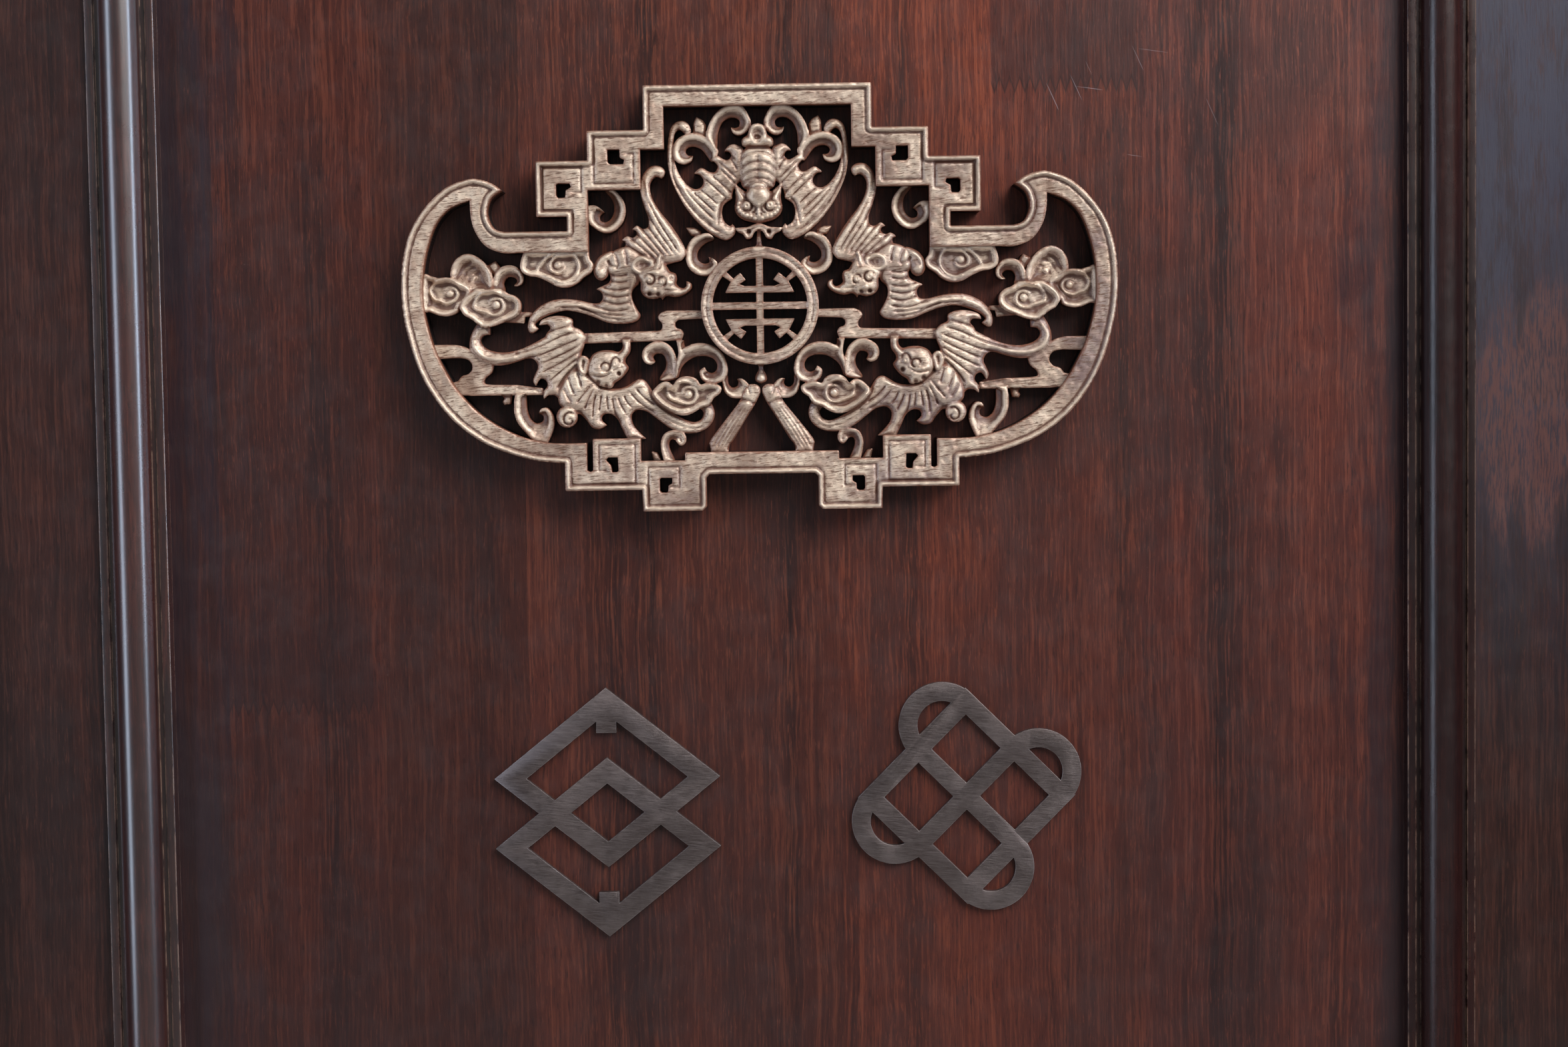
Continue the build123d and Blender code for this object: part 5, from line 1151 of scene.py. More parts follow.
STROKES_LEFT = [
    *fan(CUT, 0.36, ((-42.6, 40.4), (-38.4, 32.4), (-31.2, 21)), ((-52, 24.6), (-47.4, 21.6), (-42.4, 18.2)), 7),
    Stroke(LIP, 0.7, ((-43.6, 50), (-42.8, 43), (-39.4, 36.4), (-34, 28.8), (-29.8, 22.4))),
    Stroke(SCORE, 0.5, ((-44.6, 49), (-44, 43.6), (-41.6, 38.4))),
    *[Stroke(CUT, 0.36, line) for line in (
        ((-58, 13), (-55, 12.4), (-51.4, 12.8)), ((-58.6, 10.6), (-55, 9.8), (-51.2, 10.4)),
        ((-61.6, 8), (-56, 6.9), (-51, 7.6)), ((-61, 5.4), (-56, 4.2), (-50.8, 5)),
        ((-61.6, 3), (-56, 1.4), (-50.8, 2.4)), ((-66, 1.4), (-58, -1.2), (-50.6, -0.4)),
        ((-72, 0.9), (-62, -2.2), (-52, -3)), ((-80, 0.6), (-70, 0), (-61, -3.6), (-53, -4.8)),
    )],
    Stroke(LIP, 0.6, ((-49.2, 10), (-50.6, 5), (-49, -0.4), (-48, -3.4))),
    Stroke(-0.9, 0.5, ((-59.4, 18.6), (-57.8, 16.6), (-55, 15.4))),
    Stroke(-0.9, 0.6, ((-56.6, 21.6), (-55.4, 18.6), (-55, 15.6))),
    Stroke(-0.9, 0.6, ((-52.6, 22.6), (-51.8, 19.6), (-51.6, 16.4))),
    Stroke(0.7, 0.7, ((-58.6, 20.4), (-61.8, 18.6), (-63.4, 15.4), (-62.4, 12.4), (-60.6, 13.4), (-61, 15.2))),
    Stroke(-0.8, 0.4, ((-37.4, 6.8), (-34.4, 6.4), (-30, 6.4))),
    Stroke(-1.2, 0.35, ((-44.9, 10.4), (-44.4, 12.2), (-42.8, 12.9), (-41.2, 12.1), (-40.9, 10.4), (-41.9, 9),
                        (-43.4, 9), (-44, 10))),
    Stroke(-1.2, 0.35, ((-39.8, 9.8), (-39, 11.4), (-37.4, 11.5), (-36.4, 10.2), (-36.8, 8.6), (-38.2, 8))),
    Stroke(-0.9, 0.35, ((-41.4, 3.6), (-37.6, 3.4), (-33.4, 4.8))),
    Stroke(0.8, 0.7, ((-45.4, 9.4), (-42.6, 13.4), (-39, 13))),
    Stroke(0.6, 0.6, ((-37.6, 12), (-35.6, 9.4), (-33, 9.6))),
    Stroke(-0.8, 0.4, ((-38.2, 19.6), (-38.4, 16.8), (-39.4, 14.6))),
    Stroke(-0.8, 0.5, ((-45.4, 5.4), (-41.8, 5), (-39.6, 4.6))),
    *[Stroke(CUT, 0.36, line) for line in (
        ((-71.2, -8.8), (-78, -10.8), (-88, -15.2), (-98, -18)),
        ((-70.4, -11.6), (-77, -14.2), (-86, -17.8), (-93, -19.4)),
        ((-70.6, -14.2), (-77, -17.4), (-86.4, -21.6)), ((-71, -16.8), (-77.4, -20.6), (-86.2, -25)),
        ((-71.6, -19.4), (-77, -23.4), (-83.2, -28.4)), ((-72.2, -22), (-76.4, -26), (-80.2, -31.4)),
        ((-74.4, -6.6), (-79, -7.8), (-84, -9.4)),
    )],
    Stroke(LIP, 0.7, ((-112.6, -9), (-112.6, -14), (-108.6, -18.4), (-101.6, -19.6), (-94, -18.6))),
    Stroke(-0.9, 0.6, ((-75.8, -26.4), (-74.6, -29.8), (-73.2, -33.4))),
    Stroke(-0.9, 0.6, ((-72, -25), (-71, -28), (-70.2, -31))),
    Stroke(-0.9, 0.6, ((-77.4, -31), (-76, -34), (-74.4, -36.6))),
    *[Stroke(CUT, 0.4, line) for line in (
        ((-66.6, -30), (-69.4, -33.4), (-72.4, -37)), ((-65.8, -31.8), (-67.8, -35.6), (-69.4, -39.6)),
        ((-64.8, -33.2), (-65.8, -38), (-66.2, -43)), ((-62.6, -33.8), (-63.2, -37.4), (-63.6, -40.6)),
        ((-60.4, -34.4), (-60.4, -37), (-60, -40)), ((-58.4, -34.8), (-57.6, -40), (-55.4, -45.4)),
        ((-56.2, -34.8), (-55, -38), (-53, -41.6)), ((-53.8, -34), (-52.8, -36.6), (-50.8, -39)),
        ((-51.4, -33), (-47.4, -37.4), (-41.6, -41)), ((-49, -31.6), (-46, -35), (-41.4, -38.4)),
    )],
    Stroke(LIP, 0.7, ((-64, -31.4), (-58, -32.8), (-52, -31.6), (-47.4, -29.4))),
    Stroke(-0.8, 0.6, ((-40, -42), (-32, -46.4), (-25, -47.4), (-20.8, -44.4))),
    Stroke(-1.4, 0.4, ((-72.9, -41.5), (-75.3, -40.5), (-77.3, -42.1), (-77, -44.7), (-75.1, -45.3), (-74, -44.1),
                       (-75.1, -43))),
    Stroke(-1.1, 0.35, ((-62.4, -23.8), (-62.3, -22.2), (-61, -21.4), (-59.4, -21.8), (-58.9, -23.2), (-59.6, -24.6),
                        (-61, -24.7))),
    Stroke(-1.2, 0.4, ((-58.4, -22.6), (-58.2, -20.6), (-56.9, -19.3), (-55.4, -20), (-55, -21.6))),
    Stroke(-0.9, 0.4, ((-66.4, -26), (-63.4, -26.8), (-60.4, -26.4), (-57.6, -24.6))),
    Stroke(0.6, 0.5, ((-66, -24.6), (-63.6, -25.4), (-61.4, -25.6))),
    Stroke(-0.8, 0.5, ((-53.6, -14), (-54, -16.8), (-56, -18.6))),
    *[Stroke(1.45, 0.6, line) for line in (
        ((-117, 8), (-118.8, 11), (-122.4, 12.2), (-126.6, 11), (-129, 8), (-127.6, 4.6), (-125.2, 3.8), (-122.7, 2.8),
         (-119.6, 3.8), (-118.2, 6), (-119.2, 8.2), (-121.5, 8.9), (-123.4, 7.9), (-122.8, 6.4)),
        ((-111.8, 3), (-108.8, 6), (-104.2, 7.2), (-100.4, 5.2)),
        ((-111.4, 2.6), (-111.5, 0.6), (-109, -0.4), (-107.2, -0.9), (-104.4, -2.1), (-101.4, -1.2), (-100.1, 1.2),
         (-101, 3.6), (-103, 4.4), (-105.4, 3.4), (-105, 1.6)),
        ((-87, 15), (-84.6, 18.6), (-80.4, 21.2)), ((-86.8, 14.8), (-84.2, 13.2), (-81.4, 12.2), (-77.4, 10.4),
         (-73.4, 11.6), (-70.8, 14.8), (-70.7, 18), (-72.8, 20.6), (-76, 20.4), (-79.6, 20), (-81.8, 17.6), (-81.4, 15),
         (-78.9, 14), (-76.6, 15.4), (-77, 17.8)),
        ((-36.9, -32.2), (-34, -29.8), (-29.4, -29.2), (-26, -30.8)), ((-36.7, -32.6), (-35.6, -35.4), (-32.4, -36.8),
         (-29.2, -37.8), (-26.5, -37), (-25.3, -34.6), (-25.9, -32.2), (-28, -31.3), (-30.3, -31.9), (-30.6, -33.6)),
        ((-42, -33.6), (-38.6, -37.4), (-33, -40.2), (-27.6, -39.6)),
    )],
    *[Stroke(-0.5, 0.5, line) for line in (
        ((-118.4, 11.6), (-116.6, 16.4), (-112.4, 19)), ((-116.6, 11), (-114.6, 15.2), (-110.8, 17)),
        ((-114.4, 10.2), (-112.6, 13.4), (-109.2, 14.6)),
    )],
    Stroke(-0.6, 0.6, ((-96, -30.8), (-90, -31.4), (-86.6, -32.2))),
]
BOSSES_LEFT = [
    Boss(-121.3, 6.6, 1.5, 1.4), Boss(-103.1, 1.8, 1.6, 1.5), Boss(-78.7, 17, 1.6, 1.5), Boss(-28.5, -34.2, 1.6, 1.5),
    Boss(-62, 13.9, 1.2, 1.0), Boss(-42.7, 10.7, 1.2, 1.1), Boss(-42.7, 10.7, 0.5, -0.9), Boss(-38, 9.8, 1.0, 1.0),
    Boss(-38, 9.8, 0.45, -0.9), Boss(-43, 5.3, 0.9, -1.7), Boss(-39.6, 5.1, 0.8, -1.5), Boss(-41.2, 6.6, 1.0, 0.8),
    Boss(-46, 16.5, 1.0, -0.6), Boss(-60.7, -23, 1.2, 0.9), Boss(-56.8, -21.9, 1.3, 1.1),
    Boss(-56.8, -21.9, 0.5, -0.9), Boss(-55.5, -25.6, 0.95, -1.9), Boss(-63.6, -28.9, 1.0, -1.6),
    Boss(-60.4, -30.2, 1.0, -1.2), Boss(-58.5, -24.9, 0.8, 0.7),
    Boss(-62.9, -25.4, 0.6, 0.6), Boss(-53.6, -22.4, 0.8, 0.6),
    Boss(-78.6, 11, 1.0, 0.5), Boss(-112.4, 12.6, 1.5, 0.8), Boss(-34.4, 11.2, 0.7, -0.7),
]
FRET_LINES = (
    ((-53, 59.6, 1), (-48.4, 59.6, 1), (-48.4, 48.2, 1), (-63.8, 48.2, 1), (-63.8, 66.2, 1)),
    ((-75, 45, 1), (-68.8, 45, 1), (-68.8, 54.6, 1), (-84, 54.6, 1), (-84, 38, 1), (-72.4, 38, 1), (-72.4, 31.4, 1)),
    ((-58.8, -63.4, 1), (-63.8, -63.4, 1), (-63.8, -53.4, 1), (-49.6, -53.4, 1), (-49.6, -68.8, 1), (-74.6, -68.8, 1)),
    ((-36.8, -70.4, 1), (-32.4, -70.4, 1), (-32.4, -62.4, 1), (-44.6, -62.4, 1), (-44.6, -77.2, 1)),
)


GRAIN_WAVE = 3.6
WAVES_PER_MM = 0.02
STREAK_STRETCH = 0.022
PORE_STRETCH = 0.085
EDGE_WEAR = (0.01, 0.11)
WEAR_PATCHES = (0.36, 0.58)
SPAN_SOFTNESS = 0.3
TOOTH_HALF_PITCH = 2.0
TOOTH_SLOPE = 2.95
PANEL_SPAN = 520
# Tones of the panel's glued strips by their left edges: each board's own tone, plus painted shade that makes the left
# strips darker and bluer.
BOARD_TONES_AND_SHADE = (
    (-260.0, tone(160, 154, 162)), (-226.4, tone(190, 174, 172)), (-162.8, tone(178, 168, 166)),
    (-105.5, tone(222, 206, 198)), (18.7, tone(252, 222, 204)), (82.6, tone(232, 208, 200)),
    (139.7, tone(226, 206, 210)), (201.0, tone(240, 222, 226)),
)
BOARD_JOINTS = ((1645.7, 82.6, 140.2), (1403.2, -226.4, -166.0))
STILE_JOINT = (1520.0, 289.0, 402.0)
STILE_EDGES = (272, 402)
SCRATCHED_SPOT = ((132.0, 1632.0), (42, 30))
RUBBED_SPOT = ((296.0, 1512.0), (24, 52))


@dataclass(frozen=True)
class Lacquer:
    """A coat of old lacquer over wood: body colour, worn colour and how they are spread."""

    name: str
    body: Colour
    worn: Colour
    dark: Colour
    grain_turn: float = 0.0
    wear: float = 0.5
    roughness: float = 0.4
    edge_colour: Colour = tone(150, 104, 84)
    edge_wear: float = 0.6
    coat: float = 0.15
    cloud_share: float = 0.6
    coat_ior: float = 1.5
    coat_roughness: float = 0.2
    painted_shade_right: bool = False
    panel_marks_and_shade: bool = False
    stile_marks_and_sheen: bool = False


def grain(shader: Shader, turn: float) -> tuple[bpy.types.NodeSocket, ...]:
    """Wood grain running up the piece, or across it when turned a quarter.

    Args:
        shader: the finish being made.
        turn: turn of the grain in the face, in degrees.

    Returns:
        Broad streaks, narrow streaks and pores.
    """
    wave = shader.noise(shader.place(scale=(WAVES_PER_MM, WAVES_PER_MM, WAVES_PER_MM)), 1.0, 2.0, colour=True)
    scaled = shader.nodes.new("ShaderNodeVectorMath")
    scaled.operation = "SCALE"
    shader.feed(scaled.inputs[0], wave)
    scaled.inputs["Scale"].default_value = GRAIN_WAVE
    along = shader.place(scale=(1, 1, STREAK_STRETCH), turn=(0, turn, 0), bend=scaled.outputs[0])
    short = shader.place(scale=(1, 1, PORE_STRETCH), turn=(0, turn, 0), bend=scaled.outputs[0])
    broad = shader.noise(along, 0.055, 5.0, 0.62)
    return broad, shader.noise(along, 0.9, 4.0, 0.65), shader.noise(short, 1.5, 3.0, 0.65)


def worn_edges(shader: Shader, radius: float, breakup: float) -> bpy.types.NodeSocket:
    """Share of wear along sharp edges, broken up by noise.

    Args:
        shader: the finish being made.
        radius: reach of the wear in millimetres.
        breakup: scale of the noise that breaks it up.

    Returns:
        The share of wear, from 0 to 1.
    """
    patchy = shader.noise(shader.place(), breakup, 4.0, 0.65)
    return shader.times(shader.band(shader.edges(radius), *EDGE_WEAR), shader.band(patchy, *WEAR_PATCHES))


def lacquer_finish(style: Lacquer) -> bpy.types.Material:
    """Lacquered wood: streaky body colour, pores that show through, rubbed edges, dust and dull spots.

    Args:
        style: the coat's colours and amounts.

    Returns:
        The material.
    """
    shader = Shader(style.name)
    broad, narrow, pores = grain(shader, style.grain_turn)
    cloud = shader.noise(shader.place(scale=(1, 1, 0.28), turn=(0, style.grain_turn, 0)), 0.02, 4.0, 0.62)
    fleck = shader.noise(shader.place(), 0.6, 4.0, 0.7)
    colour = shader.mix(shader.band(broad, 0.28, 0.56), style.dark, style.body)
    colour = shader.mix(shader.times(shader.band(narrow, 0.46, 0.66), 0.5), colour, style.worn)
    cover = shader.band(cloud, 0.42, 0.62, 0.0, style.cloud_share)
    colour = shader.mix(cover, colour, style.dark)
    colour = shader.mix(shader.band(pores, 0.56, 0.66, 0.0, 0.6), colour, style.dark)
    colour = shader.mix(shader.band(pores, 0.42, 0.32, 0.0, 0.4), colour, style.worn)
    height = shader.plus(shader.times(narrow, 0.4), shader.times(pores, 0.6))
    rough = shader.band(cloud, 0.3, 0.7, style.roughness - 0.05, style.roughness + 0.07)
    if style.panel_marks_and_shade:
        colour, height = panel_marks_and_shade(shader, colour, height)
    if style.stile_marks_and_sheen:
        colour = stile_marks_and_sheen(shader, colour, pores)
    coat = style.coat
    # Painted shade: the colour darkens towards the right and the coat thins there.
    if style.painted_shade_right:
        right = shader.band(shader.axis(shader.place(), "X"), -150, 150)
        coat = shader.math("MULTIPLY_ADD", right, -0.85 * style.coat, style.coat)
        colour = shader.mix(shader.times(right, 0.55), colour, style.dark)
    speck = shader.band(fleck, 0.7, 0.75)
    colour = shader.mix(shader.times(speck, 0.3 * style.wear), colour, tone(140, 112, 100))
    colour = shader.mix(shader.times(worn_edges(shader, 0.8, 0.12), style.edge_wear), colour,
                        style.edge_colour)
    dull = shader.noise(shader.place(), 0.09, 4.0, 0.65)
    rough = shader.plus(rough, shader.band(dull, 0.4, 0.7, -0.04, 0.08))
    shader.set(Base_Color=colour, Roughness=rough, Normal=shader.bump(height, 0.12))
    shader.set(Specular_IOR_Level=0.4, Coat_Weight=coat, Coat_Roughness=style.coat_roughness,
               Coat_IOR=style.coat_ior)
    return shader.material


def span(shader: Shader, letter: str, low: float, high: float) -> bpy.types.NodeSocket:
    """1 between two places along an axis, 0 outside them.

    Args:
        shader: the finish being made.
        letter: the axis.
        low: where the span starts, in millimetres.
        high: where it ends.

    Returns:
        The socket with the share.
    """
    value = shader.axis(shader.place(), letter)
    above = shader.band(value, low - SPAN_SOFTNESS, low + SPAN_SOFTNESS)
    return shader.times(above, shader.band(value, high + SPAN_SOFTNESS, high - SPAN_SOFTNESS))


def joint_height(shader: Shader, z: float) -> bpy.types.NodeSocket:
    """How far a point lies above the toothed line of an end joint between two boards.

    Args:
        shader: the finish being made.
        z: height of the joint in millimetres.

    Returns:
        The socket with the height above the line.
    """
    place = shader.place()
    tooth = shader.math("PINGPONG", shader.axis(place, "X"), TOOTH_HALF_PITCH)
    line = shader.math("MULTIPLY_ADD", tooth, TOOTH_SLOPE, z - TOOTH_SLOPE)
    return shader.math("SUBTRACT", shader.axis(place, "Z"), line)


def spot(shader: Shader, centre: Point, reach: Point) -> bpy.types.NodeSocket:
    """How far a point lies from the middle of an oval spot, squared: 0 there and 1 on the oval.

    Args:
        shader: the finish being made.
        centre: X and Z of the middle in millimetres.
        reach: half width and half height of the oval.

    Returns:
        The socket with the squared distance.
    """
    place = shader.place()
    across = shader.times(shader.math("SUBTRACT", shader.axis(place, "X"), centre[0]), 1 / reach[0])
    above = shader.times(shader.math("SUBTRACT", shader.axis(place, "Z"), centre[1]), 1 / reach[1])
    return shader.plus(shader.times(across, across), shader.times(above, above))


def end_joint(shader: Shader, colour: bpy.types.NodeSocket, z: float, low: float,
              high: float) -> bpy.types.NodeSocket:
    """Lays an end joint over a strip: the board above is darker and the teeth show as a fine line.

    Args:
        shader: the finish being made.
        colour: the colour so far.
        z: height of the joint in millimetres.
        low: lower end of the strip along X.
        high: upper end of the strip along X.

    Returns:
        The colour with the joint.
    """
    strip = span(shader, "X", low, high)
    above = joint_height(shader, z)
    fade = shader.times(shader.band(above, -0.6, 0.6), shader.band(above, 90, 10))
    colour = shader.mix(shader.times(shader.times(fade, strip), 0.45), colour,
                        tone(40, 25, 26))
    line = shader.band(shader.math("ABSOLUTE", above), 0.3, 1.3, 0.6, 0.0)
    return shader.mix(shader.times(line, strip), colour, tone(30, 18, 18))


def panel_marks_and_shade(shader: Shader, colour: bpy.types.NodeSocket,
                height: bpy.types.NodeSocket) -> tuple[bpy.types.NodeSocket, bpy.types.NodeSocket]:
    """The panel's glued strips with painted shade on the left ones, their end joints, the stained margins, painted
    shade darkening towards the bottom, and the scratches.

    Args:
        shader: the finish being made.
        colour: the colour so far.
        height: the fine relief so far.

    Returns:
        The colour and relief with the marks.
    """
    place = shader.place()
    x, z = shader.axis(place, "X"), shader.axis(place, "Z")
    ragged = shader.noise(shader.place(scale=(0, 0, 1)), 0.05)
    across = shader.math("MULTIPLY_ADD", shader.plus(x, shader.band(ragged, 0, 1, -0.5, 0.5)),
                         1 / PANEL_SPAN, 0.5)
    # Each strip's tone multiplies the colour, including the painted shade in the left strips.
    stops = [(start / PANEL_SPAN + 0.5, shade) for start, shade in BOARD_TONES_AND_SHADE]
    colour = shader.mix(1.0, colour, shader.ramp(across, stops, constant=True), "MULTIPLY")
    for joint in BOARD_JOINTS:
        colour = end_joint(shader, colour, *joint)
    smear = shader.noise(shader.place(scale=(1, 1, 0.1)), 0.13, 4.0, 0.65)
    reach = shader.plus(shader.math("ABSOLUTE", x), shader.band(smear, 0.2, 0.8, -22, 22))
    colour = shader.mix(shader.band(reach, 212, 250, 0.0, 0.7), colour, tone(34, 27, 36))
    # Painted shade: the panel darkens towards the bottom.
    colour = shader.mix(shader.band(z, 1640, 1330, 0.0, 0.45), colour, tone(44, 27, 27))
    rubbed = shader.band(spot(shader, *SCRATCHED_SPOT), 1.3, 0.2)
    for turn, at, share in ((81.0, (0.0, 0.0, 0.0), 0.6), (24.0, (31.0, 0.0, 17.0), 0.35)):
        lines = shader.noise(shader.place(scale=(1, 1, 0.035), turn=(0, turn, 0), move=at), 0.9, 1.0, 0.4)
        scratch = shader.times(shader.band(lines, 0.745, 0.765), rubbed)
        colour = shader.mix(shader.times(scratch, share), colour, tone(178, 164, 170))
        height = shader.math("SUBTRACT", height, shader.times(scratch, 0.5))
    return colour, height


def stile_marks_and_sheen(shader: Shader, colour: bpy.types.NodeSocket,
                pores: bpy.types.NodeSocket) -> bpy.types.NodeSocket:
    """The lock stile's end joint, a painted bluish reflection of sky light and the rubbed reddish patch beside the
    pull.

    Args:
        shader: the finish being made.
        colour: the colour so far.
        pores: the pores of the grain.

    Returns:
        The colour with the marks.
    """
    z = shader.axis(shader.place(), "Z")
    stile = span(shader, "X", *STILE_EDGES)
    smear = shader.noise(shader.place(scale=(1, 1, 0.16)), 0.12, 4.0, 0.65)
    skin = shader.plus(shader.times(smear, 0.6), shader.times(pores, 0.4))
    # Painted reflection: a bluish sheen of sky light laid into the colour of the stile's upper part.
    stain_and_sheen = shader.times(shader.band(z, 1340, 1640), shader.band(skin, 0.4, 0.58, 0.35, 0.9))
    colour = shader.mix(shader.times(stain_and_sheen, stile), colour, tone(62, 62, 78))
    colour = end_joint(shader, colour, *STILE_JOINT)
    away = shader.plus(spot(shader, *RUBBED_SPOT), shader.band(smear, 0.3, 0.7, 0.5, -0.5))
    patch = shader.times(shader.band(away, 1.2, 0.3), shader.band(pores, 0.62, 0.42, 0.1, 0.75))
    return shader.mix(shader.times(patch, stile), colour, tone(104, 66, 60))


@dataclass(frozen=True)
class Gilding:
    """Rubbed gold paint over dark lacquer on carving."""

    name: str = "gilded_carving"
    light: Colour = tone(230, 209, 186)
    mid: Colour = tone(192, 164, 144)
    shade: Colour = tone(112, 82, 66)
    ground: Colour = tone(84, 47, 34)
    rim: Colour = tone(130, 78, 56)
    # Near-black used as painted shade at the foot of the carving's walls.
    deep: Colour = tone(20, 12, 11)
    stain: Colour = tone(92, 70, 84)
    roughness: float = 0.42
    metallic: float = 0.35


def gilded_finish(style: Gilding) -> bpy.types.Material:
    """Gold paint worn on the high parts, dark lacquer in the grooves, and walls that darken to painted shade towards
    their foot.

    Args:
        style: the gilding's colours.

    Returns:
        The material.
    """
    shader = Shader(style.name)
    dash = shader.noise(shader.place(scale=(0.1, 1, 1), turn=(0, 6, 0)), 1.9, 3.0, 0.65)
    dash_fine = shader.noise(shader.place(scale=(0.14, 1, 1), turn=(0, 6, 0)), 3.6, 2.0, 0.6)
    mottle = shader.noise(shader.place(), 0.11, 4.0, 0.6)
    patch = shader.noise(shader.place(), 0.028, 3.0, 0.6)
    paint = shader.mix(shader.band(mottle, 0.34, 0.66), style.mid, style.light)
    paint = shader.mix(shader.times(shader.band(patch, 0.46, 0.68), 0.55), paint, style.shade)
    x = shader.axis(shader.place(), "X")
    z = shader.axis(shader.place(), "Z")
    lower_right = shader.math("SUBTRACT", x, shader.times(z, 0.9))
    stain_and_sheen = shader.times(shader.band(lower_right, -1500, -1290),
                        shader.band(shader.noise(shader.place(), 0.045, 4.0, 0.62), 0.42, 0.62))
    paint = shader.mix(shader.times(stain_and_sheen, 0.62), paint, style.stain)
    streak = shader.times(shader.band(dash, 0.53, 0.61), 0.85)
    paint = shader.mix(streak, paint, style.shade)
    rubbed = shader.band(dash_fine, 0.57, 0.66)
    paint = shader.mix(shader.times(rubbed, 0.5), paint, style.ground)
    hollow = shader.attribute("hollow")
    ragged = shader.plus(hollow, shader.band(mottle, 0.3, 0.7, -0.08, 0.08))
    sunk = shader.band(ragged, 0.06, 0.5)
    down = shader.attribute("flank")
    flank = shader.band(down, 0.02, 0.14)
    ridge = shader.band(shader.times(hollow, -1.0), 0.06, 0.4)
    colour = shader.mix(shader.times(ridge, 0.6), paint, style.light)
    colour = shader.mix(shader.times(sunk, 0.9), colour, style.ground)
    # Painted shade: each wall runs from the rim colour at the top to near-black at its foot.
    wall = shader.mix(shader.band(down, 0.12, 0.5), style.rim, style.deep)
    edge = shader.plus(shader.attribute("margin"), shader.band(mottle, 0.3, 0.7, 0.45, -0.45))
    colour = shader.mix(shader.band(edge, 0.95, 0.1, 0.0, 0.6), colour, style.rim)
    colour = shader.mix(flank, colour, wall)
    covered = shader.times(shader.math("SUBTRACT", 1.0, sunk), shader.math("SUBTRACT", 1.0, flank))
    rough = shader.plus(shader.band(mottle, 0.3, 0.7, style.roughness - 0.08, style.roughness + 0.1),
                        shader.times(rubbed, 0.15))
    relief = shader.plus(shader.times(dash, 0.7), shader.times(dash_fine, 0.3))
    shader.set(Base_Color=colour, Roughness=rough, Metallic=shader.times(covered, style.metallic),
               Normal=shader.bump(relief, 0.16))
    return shader.material


@dataclass(frozen=True)
class Metal:
    """A metal finish: two tones, how it was worked and how far it has rusted."""

    name: str
    body: Colour
    bright: Colour
    rust: Colour
    brushed: float = 0.0
    rust_share: float = 0.2
    roughness: float = 0.36
    hammer: float = 0.0
    mottled: float = 0.35
    brush_turn: float = 0.0


def metal_finish(style: Metal) -> bpy.types.Material:
    """Brushed or forged metal with rubbed bright edges, tarnish and rust.

    Args:
        style: the metal's colours and amounts.

    Returns:
        The material.
    """
    shader = Shader(style.name)
    turn = (0, style.brush_turn, 0)
    brush = shader.noise(shader.place(scale=(1, 1, 0.025), turn=turn), 5.5, 3.0, 0.7)
    streak = shader.noise(shader.place(scale=(1, 1, 0.05), turn=turn), 0.8, 4.0, 0.65)
    mottle = shader.noise(shader.place(), 0.07, 5.0, 0.62)
    pits = shader.noise(shader.place(), 0.9, 4.0, 0.7)
    colour = shader.mix(shader.band(mottle, 0.36, 0.66, 0.0, style.mottled), style.body, style.bright)
    lines = shader.times(shader.band(brush, 0.4, 0.66), style.brushed)
    colour = shader.mix(lines, colour, style.bright)
    colour = shader.mix(shader.times(shader.band(streak, 0.52, 0.7), 0.5 * style.brushed), colour,
                        style.body)
    rust = shader.times(shader.band(shader.plus(mottle, shader.times(pits, 0.3)),
                                               0.62, 0.82), style.rust_share)
    edge = worn_edges(shader, 0.5, 0.2)
    colour = shader.mix(rust, colour, style.rust)
    colour = shader.mix(shader.times(edge, 0.7), colour, style.bright)
    rough = shader.plus(shader.band(brush, 0.3, 0.7, style.roughness - 0.08, style.roughness + 0.1),
                        shader.times(rust, 0.4))
    metallic = shader.math("SUBTRACT", 0.95, shader.times(rust, 0.8))
    dents = shader.noise(shader.place(), 0.14, 2.0, 0.5)
    relief = shader.plus(shader.times(dents, style.hammer),
                         shader.times(shader.plus(brush, pits), 0.1))
    shader.set(Base_Color=colour, Roughness=rough, Metallic=metallic, Normal=shader.bump(relief, 0.5))
    return shader.material


